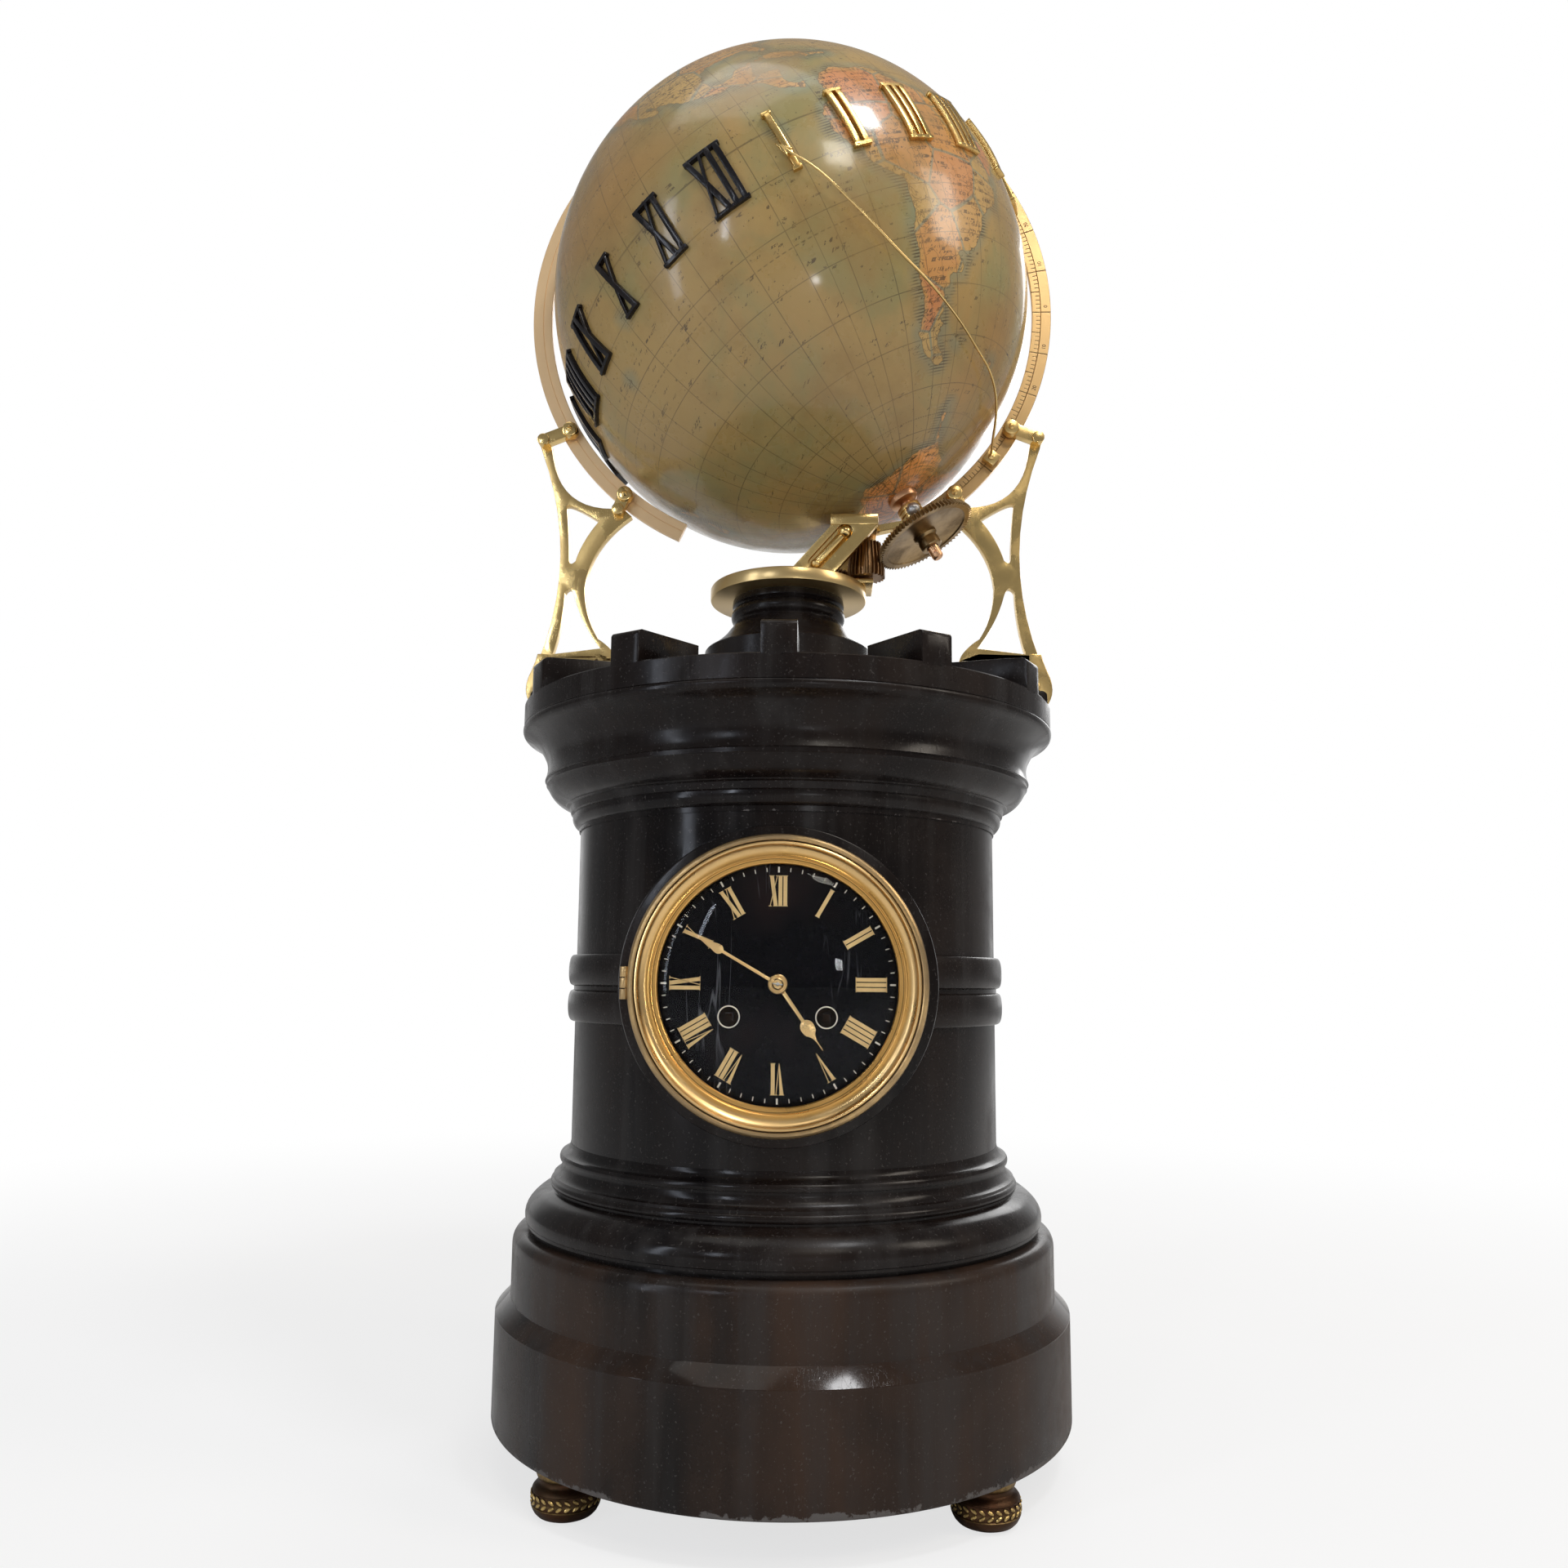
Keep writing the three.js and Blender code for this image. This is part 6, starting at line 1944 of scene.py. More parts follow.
def about(point: Sequence[float], angle: float, axis: str = "Y") -> Matrix:
    """A turn in degrees about a line through a point."""
    spot = Matrix.Translation(point)
    return spot @ Matrix.Rotation(math.radians(angle), 4, axis) @ spot.inverted()


def knuckles(x: float, y: float, radius: float) -> list[Piece]:
    """The three knuckles of a hinge at the dial's height.

    Args:
        x: the hinge's X.
        y: its Y.
        radius: the knuckles' radius.

    Returns:
        The knuckles.
    """
    levels = ((-0.007, -0.0025), (-0.0022, 0.0022), (0.0025, 0.007))
    ends = [[(x, y, DIAL_HEIGHT + level) for level in pair] for pair in levels]
    return [Bench.rod("knuckle", low, high, radius, 32, 0.0003) for low, high in ends]


def toothed(teeth: int, pitch: float, play: float = 0.0003, phase: float = 0.0) -> Points:
    """The outline of a wheel with straight-sided teeth.

    Args:
        teeth: how many.
        pitch: the pitch radius.
        play: the air beside a tooth.
        phase: the first tooth's angle.

    Returns:
        The outline.
    """
    module = 2 * pitch / teeth
    half = math.pi / teeth / 2 - play / pitch / 2
    points = []
    for k in range(teeth):
        middle = phase + TURN * k / teeth
        for radius, angle in (
            (pitch - module * 1.25, middle - half * 1.5), (pitch + module, middle - half * 0.55),
            (pitch + module, middle + half * 0.55), (pitch - module * 1.25, middle + half * 1.5),
        ):
            points.append((radius * math.cos(angle), radius * math.sin(angle)))
    return points


@dataclass
class DialWork:
    """Dial, hinged bezel with its glass, and the hands."""

    height: float = DIAL_HEIGHT
    front: float = -0.1090
    numeral_middle: float = 0.0397
    numeral_height: float = 0.013
    bar: float = 0.00165
    gap: float = 0.00045
    hairline: float = 0.00030
    paint: float = 0.00006
    names = ("XII", "I", "II", "III", "IIII", "V", "VI", "VII", "VIII", "IX", "X", "XI")
    winding: float = 0.02075
    winding_drop: float = 0.0139
    minutes: float = 50.0

    @property
    def centre(self) -> Point:
        """The middle of the dial on the tower's axis."""
        return (0.0, 0.0, self.height)

    def build(self) -> None:
        """Builds the dial, its markings, the hands, the bezel and the glass."""
        self.dial()
        self.markings()
        self.hands()
        self.bezel()
        self.glass()

    def dial(self) -> None:
        """The black disc with its three holes and its feet."""
        z = self.height
        outline = mm([(0, -109), (55.6, -109), (56, -108.6), (56, -107.5), (0, -107.5)])
        disc = Bench.spun("dial_disc", outline, BACK, self.centre)
        holes = (
            (0, 0, 0.004), (-self.winding, -self.winding_drop, 0.00435), (self.winding, -self.winding_drop, 0.00435))
        for x, drop, radius in holes:
            Bench.boolean(disc, Bench.rod("hole", (x, -0.12, z + drop), (x, -0.10, z + drop), radius, 48, 0))
        posts = []
        for k in range(3):
            angle = math.pi / 2 + TURN * k / 3
            x, up = 0.0378 * math.cos(angle), z + 0.0378 * math.sin(angle)
            posts.append(Bench.rod("post", (x, -0.1082, up), (x, -0.0975, up), 0.0016, 24))
        ride(Bench.smooth(Bench.join("dial_plate", [disc, *posts])), "case", "black_gloss", DIAL_BLACK, "dial")
        rims = []
        for x, drop, radius in holes[1:]:
            rims.append(Bench.spun("rim", [
                (radius - 0.0001, -0.1093), (radius + 0.00018, -0.1094), (radius + 0.00042, -0.1093),
                (radius + 0.00045, -0.1088), (radius - 0.0001, -0.1084)], BACK, (x, 0, z + drop), 64, True))
        ride(Bench.smooth(Bench.join("winding_rims", rims)), "case", "gilt", PALE_LINE)

    def bar_plate(self, points: Outline) -> Piece:
        """A painted bar in front of the dial, as thin as gold paint."""
        return Bench.plate("bar", [points], self.front - self.paint, self.paint + 0.00002)

    def numeral(self, letters: str) -> Piece:
        """One painted numeral, upright above the middle of the dial.

        Args:
            letters: the numeral.

        Returns:
            The numeral's piece.
        """
        half, fine = self.numeral_height / 2, self.hairline
        width = {"I": self.bar + self.gap, "V": 0.0036, "X": 0.0036}
        total = sum(width[letter] for letter in letters)
        base = self.height + self.numeral_middle
        bars, place = [], -total / 2
        for letter in letters:
            middle = place + width[letter] / 2
            for foot, low, top, high in {
                "I": [(0, self.bar, 0, self.bar)],
                "V": [(0.0002, fine, -0.0009, self.bar), (0.0002, fine, 0.0015, fine)],
                "X": [(0.0009, self.bar, -0.0009, self.bar), (-0.0015, fine, 0.0015, fine)],
            }[letter]:
                bars.append([
                    (middle + foot - low / 2, base - half), (middle + foot + low / 2, base - half),
                    (middle + top + high / 2, base + half), (middle + top - high / 2, base + half)])
            feet = [(0, 1.0)] if letter == "I" else [(-0.0009, 1.0), (0.0015, 0.45)]
            for level in (-half, half):
                for spot, reach in feet if letter != "V" or level > 0 else []:
                    spot = middle + (spot if level > 0 else -spot)
                    edge = (self.bar / 2 + 0.00028) * reach + (1 - reach) * 0.0003
                    bars.append(bar(spot - edge, base + level - fine / 2, spot + edge, base + level + fine / 2))
            place += width[letter]
        return Bench.join("painted_numeral", [self.bar_plate(outline) for outline in bars])

    def markings(self) -> None:
        """Painted numerals and sixty minute ticks."""
        painted = []
        for k, letters in enumerate(self.names):
            painted.append(Bench.moved(self.numeral(letters), about(self.centre, 30 * k)))
        ride(Bench.join("dial_numerals", painted), "case", "gilt", PAINTED_GOLD)
        ticks = []
        for size, inner, outer in ((0.00019, 0.0481, 0.0499), (0.00038, 0.0477, 0.0503)):
            z = self.height
            ticks.append(self.bar_plate(bar(-size, z + inner, size, z + outer)))
        marks = []
        for k in range(60):
            marks.append(Bench.copy(ticks[k % 5 == 0], "tick", about(self.centre, 6 * k)))
        for tick in ticks:
            bpy.data.objects.remove(tick)
        ride(Bench.join("minute_ticks", marks), "case", "gilt", PALE_LINE)

    @staticmethod
    def hand_outline(stem: float, drop: float, half: float, tip: float) -> Points:
        """A hand's outline in millimetres: a slim straight stem, a drop and a long point.

        Args:
            stem: the stem's half width.
            drop: where the drop's round end is.
            half: the drop's half width.
            tip: where the point ends.

        Returns:
            The closed outline, upright over the dial's middle.
        """
        run = tip - drop
        right = curve(
            (stem * 1.15, 2.0), (stem, drop), (half * 0.72, drop + half * 0.12, half * 0.98, drop + half * 0.75),
            (half * 1.08, drop + half * 1.35, half * 0.80, drop + half * 2.1),
            (half * 0.36, drop + run * 0.46, stem * 0.42, drop + run * 0.68), (0.13, tip), steps=7)
        return right + [(-x, z) for x, z in reversed(right)]

    def hands(self) -> None:
        """The two hands, each a bevelled blade with a turned collet."""
        hour_angle = (4 + self.minutes / 60) * 30
        for name, node, outline, back, turn in (
            ("hour_blade", "hour_hand", self.hand_outline(0.72, 18.9, 2.95, 33.6), -0.1095, hour_angle),
            ("minute_blade", "minute_hand", self.hand_outline(0.62, 27.3, 2.05, 45.0), -0.1107, self.minutes * 6),
        ):
            z = self.height
            blade = Bench.plate(
                "blade", [[(x / 1000, z + up / 1000) for x, up in outline]], back - 0.0007, 0.0007, 0.00022)
            rim = 0.0042
            collet = Bench.spun("collet", [
                (0.0023, back), (rim, back), (rim, back - 0.00045), (rim - 0.0003, back - 0.0007),
                (rim - 0.0008, back - 0.0007), (rim - 0.0010, back - 0.0005), (0.0026, back - 0.0005),
                (0.0023, back - 0.0007)], BACK, self.centre, 64, True)
            hand = Bench.smooth(Bench.moved(Bench.join(name, [blade, collet]), about(self.centre, turn)))
            ride(hand, node.split("_")[0], "gilt", GILT_HAND, node)

        outline = mm([(0, -112.9), (0.5, -112.85), (0.8, -112.6), (0.85, -112.0), (0, -112.0)])
        pin = Bench.spun("pin", outline, BACK, self.centre, 32)
        cross = Bench.rod("cross", (-0.0021, -0.1126, z), (0.0021, -0.1126, z), 0.00028, 16, 0)
        cross = Bench.moved(cross, about(self.centre, 8))
        ride(Bench.smooth(Bench.join("taper_pin", [pin, cross])), "minute", "steel", STEEL)

    def bezel(self) -> None:
        """The turned ring round the glass, with its hinge knuckle."""
        section = [
            (53.8, -110.5), (64.3, -110.5), (64.6, -110.8),
            (64.6, -114.2), (64.5, -115.3), (64.0, -116.4), (63.2, -117.1), (62.3, -117.3), (61.75, -117.0),
            (61.6, -116.4), (61.4, -116.4), (61.25, -117.2), (60.9, -117.8), (60.4, -118.0), (59.9, -117.8),
            (59.6, -117.2), (58.8, -116.1), (57.8, -115.35), (56.6, -114.95), (55.6, -114.95), (55.2, -115.15),
            (54.8, -115.2), (54.5, -115.0), (54.3, -114.6), (53.6, -114.4), (52.6, -114.5), (51.9, -114.3),
            (51.5, -113.8), (51.5, -112.9), (53.8, -112.9),
        ]
        ring = Bench.spun("bezel_ring", mm(section), BACK, self.centre, 192, True)
        z = self.height
        parts = [ring]
        parts += knuckles(-0.0658, -0.1131, 0.0020)
        parts.append(Bench.block("leaf", (-0.0655, -0.1139, z - 0.007), (-0.0632, -0.1108, z + 0.007), 0.0003))
        ride(Bench.smooth(Bench.join("bezel_turned", parts), 24), "bezel", "gilt", GILT, "bezel")

    def glass(self) -> None:
        """The convex glass, a thin shell."""
        seat, rise, wide, wall = -0.11245, 0.006975, 0.0535, 0.0014
        outside = curve((1, 0), (0.955, 0), (0.72, 1, 0, 1), steps=24)
        outer = [(x * wide, seat - up * rise) for x, up in outside]
        inner = [(x * wide, seat + wall - up * rise) for x, up in reversed(outside)]
        shell = Bench.spun("domed_glass", outer + inner, BACK, self.centre, 128)
        ride(Bench.smooth(shell, 50), "bezel", "clear_glass", GLASS, "dial_glass")


@dataclass
class MeridianRing:
    """The upright ring, its two side brackets with clamps, and the hour pointer."""

    centre: Point = GLOBE_CENTRE
    outer: float = 0.1448
    width: float = 0.0105
    thickness: float = 0.003
    start: float = -60.0
    end: float = 245.4
    clamps = (-30.0, -50.0)
    bracket_outer: float = 0.1380
    bracket_width: float = 0.0540
    bracket_height: float = 0.12697
    bracket_foot: float = 0.39506

    def at(self, radius: float, angle: float) -> tuple[float, float]:
        """The X and Z of a point of the ring's plane."""
        angle = math.radians(angle)
        return radius * math.cos(angle), self.centre[2] + radius * math.sin(angle)

    def build(self) -> None:
        """Builds the ring, its figures, the brackets and the pointer."""
        self.ring()
        self.figures()
        self.brackets()
        self.pointer()

    def ring(self) -> None:
        """The ring: a grooved bar spun round the globe and drilled for its clamps."""
        inner, outer, half, edge = self.outer - self.width, self.outer - 0.0002, self.thickness / 2, 0.00025
        groove = inner + 0.0047
        section = [
            (inner + edge, -half), (groove - 0.0002, -half), (groove, -half + 0.00025), (groove + 0.0002, -half),
            (outer - edge, -half), (outer, -half + edge), (outer, half - edge),
            (outer - edge, half), (inner + edge, half), (inner, half - edge), (inner, -half + edge),
        ]
        Bench.traced([(r, y, self.centre[2]) for r, y in section], True)
        bpy.ops.mesh.edge_face_add()
        bpy.ops.mesh.select_all(action="SELECT")
        bpy.ops.mesh.spin(steps=240, angle=math.radians(self.end - self.start), center=self.centre, axis=BACK)
        Bench.leave()
        ring = Bench.outward(Bench.named("meridian_ring"))
        Bench.moved(ring, about(self.centre, -self.end if self.ran_down(ring) else -self.start))
        for side in (-1, 1):
            for angle in self.clamps:
                x, z = self.at(self.outer - self.width / 2, angle)
                Bench.boolean(ring, Bench.rod("hole", (side * x, -0.01, z), (side * x, 0.01, z), 0.0019, 24, 0))
        ride(Bench.smooth(ring, 30), "case", "brass", RingBrass(), "graduated_ring")

    def ran_down(self, ring: Piece) -> bool:
        """Tells whether the spin ran down from +X."""
        levels = [v.co.z > self.centre[2] for v in ring.data.vertices if v.co.x > 0.6 * self.outer]
        return 2 * sum(levels) < len(levels)

    def figures(self) -> None:
        """Small plain numbers beside the ten-degree lines of the right half."""
        figures = []
        for angle in range(-50, 90, 10):
            if angle in (-50, -30):
                continue
            x, z = self.at(self.outer - 0.0030, angle + 1.1)
            Bench.clear()
            bpy.ops.object.text_add()
            text = bpy.context.view_layer.objects.active
            text.data.body = str(abs(angle))
            text.data.size = 0.0030
            text.data.extrude = 0.00003
            text.data.align_x = "LEFT"
            text.data.align_y = "CENTER"
            bpy.ops.object.convert(target="MESH")
            turn = Matrix.Rotation(math.radians(90), 4, "X")
            spin = Matrix.Rotation(math.radians(-angle - 90), 4, "Y")
            place = Matrix.Translation((x, -self.thickness / 2 - 0.00002, z))
            figures.append(Bench.moved(text, place @ spin @ turn))
        ride(Bench.join("ring_figures", figures), "case", "brass", INK_FILL)

    def bracket_point(self, inward: float, up: float) -> tuple[float, float]:
        """A point of the right bracket, from shares of its width and height."""
        return self.bracket_outer - inward * self.bracket_width, self.bracket_foot + up * self.bracket_height

    def bracket_curve(self, start: Sequence[float], *legs: Sequence[float], steps: int = 10) -> Points:
        """Points of an outline whose legs are given in shares."""
        line = curve(start, *legs, steps=steps)
        return [self.bracket_point(a, b) for a, b in line]

    def brackets(self) -> None:
        """The openwork brackets: the right one is made and the left one mirrored."""
        outline = self.bracket_curve(
            (0.06, 0), (0.45, 0.46, 0.02, 0.94), (-0.02, 1, 0.1, 1), (0.14, 0.9), (0.24, 0.675, 0.76, 0.675),
            (0.83, 0.69), (0.96, 0.64), (0.54, 0.51, 0.5, 0.32), (0.51, 0.19, 0.655, 0.095),
            (0.74, 0.074, 0.815, 0.036), (0.845, 0.02, 0.855, 0))
        upper = self.bracket_curve(
            (0.29, 0.69), (0.34, 0.7, 0.63, 0.62), (0.46, 0.53, 0.4, 0.44), (0.33, 0.41, 0.33, 0.46),
            (0.32, 0.6, 0.29, 0.69))[:-1]
        lower = self.bracket_curve(
            (0.3, 0.3), (0.37, 0.35, 0.42, 0.26), (0.5, 0.15, 0.68, 0.055), (0.2, 0.03), (0.29, 0.16, 0.3, 0.3))[:-1]
        parts = [Bench.plate("openwork", [outline, upper, lower], -0.0025, 0.005, 0.0007, 3)]
        for knuckle, angle in (((0.05, 0.975), self.clamps[0]), ((0.83, 0.66), self.clamps[1])):
            parts += self.clamp(self.bracket_point(*knuckle), self.at(self.outer - self.width / 2, angle))
        crown, slope, top = 0.1374, 3.1 / 45, 0.3775
        inner, outer = self.bracket_outer - self.bracket_width * 0.90, crown + 0.0003

        def seat(x: float) -> float:
            """The height of the merlon's sloping top, with a hair of air."""
            return top + (crown - x) * slope + 0.0003

        web = [
            (0.0905, seat(inner) + 0.001), (outer - 0.0055, seat(outer) + 0.001),
            (0.1330, self.bracket_foot + 0.0036), (0.1020, self.bracket_foot + 0.0044),
            (0.0919, self.bracket_foot + 0.0006), (0.0908, 0.3890)]
        parts.append(Bench.plate("web", [web], -0.0025, 0.005, 0.0005))
        base = [
            (inner, seat(inner)), (outer - 0.004, seat(outer - 0.004)), (outer - 0.004, seat(outer) + 0.003),
            (inner, seat(inner) + 0.003)]
        parts.append(Bench.plate("base", [base], -0.0078, 0.0156, 0.0005))
        heel = mm([
            (129, 399), (135.4, 399), (136.4, 395), (138.2, 390.2), (139.9, 386.2), (140.8, 382.8), (141.1, 379.6),
            (140.8, 376.8), (140, 374.2), (139, 372.2), (138.4, 371.7), (137.9, 372.4), (137.8, 374.8),
            (137.4, 376.8), (136.3, 378), (134.6, 378.5), (129, 379.2)])
        parts.append(Bench.plate("heel", [heel], -0.0027, 0.0054, 0.0008, 3))
        for x in (inner + 0.006, outer - 0.005):
            z = seat(x) + 0.003
            for y in (-0.0053, 0.0053):
                parts.append(Bench.rod("screw", (x, y, z - 0.001), (x, y, z + 0.0009), 0.0014, 24, 0.0003))
        right = Bench.join("right_openwork", parts)
        left = Bench.copy(right, "left_openwork", Matrix.Scale(-1, 4, (1, 0, 0)))
        for piece, node in ((right, "right_ring_bracket"), (left, "left_ring_bracket")):
            Bench.smooth(piece, 30)
            ride(piece, "case", "brass", BRIGHT_BRASS, node)

    @staticmethod
    def clamp(start: tuple[float, float], end: tuple[float, float]) -> list[Piece]:
        """A link from a bracket to the ring, with its drum head, slotted screw and nut.

        Args:
            start: the bracket's knuckle.
            end: the hole in the ring.

        Returns:
            The clamp's pieces.
        """
        face = -0.0018
        angle = math.atan2(end[1] - start[1], end[0] - start[0])
        side = (-math.sin(angle) * 0.0032, math.cos(angle) * 0.0032)
        turn = math.degrees(angle)
        shape = arc(*start, 0.0032, turn + 90, turn + 270, 12) + arc(*end, 0.0032, turn - 90, turn + 90, 12)
        link = Bench.plate("link", [shape], face - 0.005, 0.005, 0.0006, 3)
        x, z = end
        head = Bench.spun("head", [
            (0, face - 0.0062), (0.0034, face - 0.0062), (0.0040, face - 0.0059), (0.0043, face - 0.0053),
            (0.0043, face - 0.0012), (0.0040, face - 0.0008), (0, face - 0.0008)], BACK, (x, 0, z), 40)
        screw = Bench.spun("screw", [
            (0, face - 0.0073), (0.0009, face - 0.0072), (0.0016, face - 0.0066), (0.0018, face - 0.0058),
            (0.0016, face - 0.0050), (0.0016, -face), (0, -face)], BACK, (x, 0, z), 24)
        slot = Bench.block(
            "slot", (x - 0.0025, face - 0.008, z - 0.00025), (x + 0.0025, face - 0.0066, z + 0.00025), 0)
        Bench.boolean(screw, slot)
        nut = Bench.rod("nut", (x, -face, z), (x, -face + 0.0024, z), 0.0032, 6, 0.0003)
        knuckle = Bench.rod(
            "knuckle", (start[0], face - 0.0062, start[1]), (start[0], 0.0025, start[1]), 0.0033, 40, 0.0005)
        return [link, head, screw, nut, knuckle]

    def pointer(self) -> None:
        """The wire pointer with its barbed arrow and its slider on the ring."""
        shares = [
            (-0.001, -1, 0.008), (0.094, -0.994, -0.049), (0.232, -0.959, -0.161), (0.39, -0.876, -0.282),
            (0.529, -0.767, -0.363), (0.67, -0.594, -0.446), (0.785, -0.353, -0.509)]
        centre = Vector(self.centre)
        points = [centre + Vector(share).normalized() * 0.135 for share in shares]
        x, z = self.at(self.outer - self.width / 2, -38)
        points.append(Vector((x, -0.0038, z)))
        Bench.clear()
        bpy.ops.curve.primitive_bezier_curve_add()
        wire = bpy.context.view_layer.objects.active
        spline = wire.data.splines[0]
        spline.bezier_points.add(len(points) - 2)
        for k, spot in enumerate(points):
            knot = spline.bezier_points[k]
            knot.co = spot
            knot.radius = 1.0 if k > 1 else 0.72
            knot.handle_left_type = knot.handle_right_type = "AUTO"
        wire.data.bevel_depth = 0.00066
        wire.data.bevel_resolution = 5
        wire.data.resolution_u = 16
        wire.data.use_fill_caps = True
        bpy.ops.object.convert(target="MESH")
        wire = Bench.settle(Bench.named("wire"))
        outline = mm([
            (0, 4.6), (0.5, 2.9), (1.9, -1.7), (2.3, -3.7), (1.2, -2.7), (0.7, -1.6), (0.62, -4.6),
            (-0.62, -4.6), (-0.7, -1.6), (-1.2, -2.7), (-2.3, -3.7), (-1.9, -1.7), (-0.5, 2.9)])
        arrow = Bench.plate("arrow", [outline], -0.0005, 0.0010, 0.0002)
        ahead = (points[0] - points[1]).normalized()
        outward = (points[0] - centre).normalized()
        right = ahead.cross(outward).normalized()
        outward = right.cross(ahead).normalized()
        turn = Matrix((right, -outward, ahead)).transposed().to_4x4()
        Bench.outward(Bench.moved(arrow, Matrix.Translation(points[0]) @ turn))
        block = Bench.block("slider", (x - 0.0036, -0.0058, z - 0.0036), (x + 0.0036, -0.0018, z + 0.0036), 0.0006)
        outline = mm([(0, -6.8), (1, -6.7), (1.7, -6.2), (1.9, -5.6), (0, -5.6)])
        knob = Bench.spun("knob", outline, BACK, (x, 0, z), 32)
        slider = Bench.moved(Bench.join("slider", [block, knob]), about((x, 0, z), 38))
        pointer = Bench.join("wire_pointer", [wire, arrow, slider])
        ride(Bench.smooth(pointer, 35), "pointer", "brass", BRIGHT_BRASS, "hour_pointer")


@dataclass
class GlobeDrive:
    """The bracket on the flange, the globe's wheel and the arbor at the pole."""

    centre: Vector = field(default_factory=lambda: Globe.centre)
    axis: Vector = field(default_factory=lambda: Globe.axis)
    flange_top: float = 0.4345
    apex: Point = (0.0416928, -0.0109577, 0.5164488)
    teeth: int = 72
    near: float = 0.152
    far: float = 0.156
    near_radius: float = 0.02519
    far_radius: float = 0.02680

    def build(self) -> None:
        """Builds the bracket, the wheel and the arbor."""
        self.bracket()
        self.wheel()
        self.arbor()

    def axis_frame(self) -> Matrix:
        """From a frame whose +Z runs down the polar axis from the globe's middle to the clock's.

        Returns:
            The matrix.
        """
        drive = Vector((self.apex[0], self.apex[1], 0)).normalized()
        towards = -(drive - self.axis * drive.dot(self.axis)).normalized()
        side = self.axis.cross(towards)
        return Matrix.Translation(self.centre) @ Matrix((towards, side, self.axis)).transposed().to_4x4()

    def on_axis(self, piece: Piece) -> Piece:
        """Moves a piece that was made about +Z on to the polar axis."""
        return Bench.moved(piece, self.axis_frame())

    def turned(self, name: str, outline: Outline, steps: int = 64) -> Piece:
        """Turns an outline of millimetres about the polar axis."""
        return self.on_axis(Bench.spun(name, mm(outline), steps=steps))

    def bracket(self) -> None:
        """The inclined bracket with the rod in its slot, its bearings and the dark ball screw."""
        foot, lug_low, lug_top = self.flange_top, 0.4606, 0.4664
        outline = [(0, foot), (0.024, foot), (0.047, lug_low), (0.047, lug_top), (0.023, lug_top), (0.023, lug_low)]
        plate = Bench.plate("front", [outline], -0.030, 0.004, 0)
        slope = math.degrees(math.atan2(lug_low - foot, 0.023))
        low, high = (0.0149, 0.4400), (0.0300, 0.4571)
        shape = arc(*low, 0.0040, slope + 90, slope + 270, 16) + arc(*high, 0.0040, slope - 90, slope + 90, 16)
        Bench.boolean(plate, Bench.plate("slot", [shape], -0.032, 0.0048))
        Bench.bevel(plate, 0.0003, 2, 40)
        lug = Bench.block("lug", (0.0225, -0.0306, lug_low), (0.0474, -0.0255, lug_top), 0.0004)
        rod = Bench.rod("rod", (low[0], -0.0282, low[1]), (high[0], -0.0282, high[1]), 0.0023, 40, 0.0008)
        ball = Bench.ball("ball", (high[0], -0.0290, high[1]), 0.0033)
        stud = Bench.ball("stud", (low[0], -0.0284, low[1]), 0.0026, 32)
        outline = [(0.012, foot), (0.039, foot), (0.047, foot + 0.009), (0.047, 0.4634), (0.035, 0.4634)]
        cheek = Bench.plate("cheek", [outline], 0.007, 0.004, 0.0004)
        top = Bench.block("top", (0.035, -0.0275, 0.4594), (0.047, 0.0095, 0.4634), 0.0004)
        seat = Bench.block("seat", (0.0352, -0.0147, foot), (0.0454, 0.0090, foot + 0.0026), 0.0004)
        middle = self.centre + self.axis * 0.142
        end = middle.x - 0.003
        outline = [(0.043, 0.4594), (end, middle.z - 0.0065), (end, middle.z - 0.003), (0.043, 0.4634)]
        arm = Bench.plate("arm", [outline], middle.y - 0.003, 0.006, 0.0005)
        bearing = self.turned("bearing", [
            (3.3, 136), (5.6, 136), (6.3, 136.4), (6.5, 137.2), (6.5, 138.6), (5.8, 139.1), (5.8, 139.8),
            (6.5, 140.3), (6.5, 141.2), (5.8, 141.7), (5.8, 142.4), (6.5, 142.9), (6.5, 143.8), (5.8, 144.3),
            (5.8, 145.0), (6.5, 145.5), (6.5, 147.2), (6.2, 147.8), (5.6, 148), (3.3, 148), (3.3, 136)])
        body = Bench.join("drive_bracket", [plate, lug, rod, ball, stud, cheek, top, seat, arm, bearing])
        Bench.outward(body)
        ride(Bench.smooth(body, 35), "case", "brass", BRIGHT_BRASS, "globe_bracket")
        spot = middle + Vector((-0.0005, -0.0066, 0.0010))
        screw = Bench.ball("ball_screw", spot, 0.0036)
        slit = Bench.block(
            "slit", (spot.x - 0.004, spot.y - 0.005, spot.z - 0.0003),
            (spot.x + 0.004, spot.y - 0.0028, spot.z + 0.0003), 0)
        Bench.boolean(screw, slit)
        ride(Bench.smooth(screw, 40), "case", "brass", STEEL)

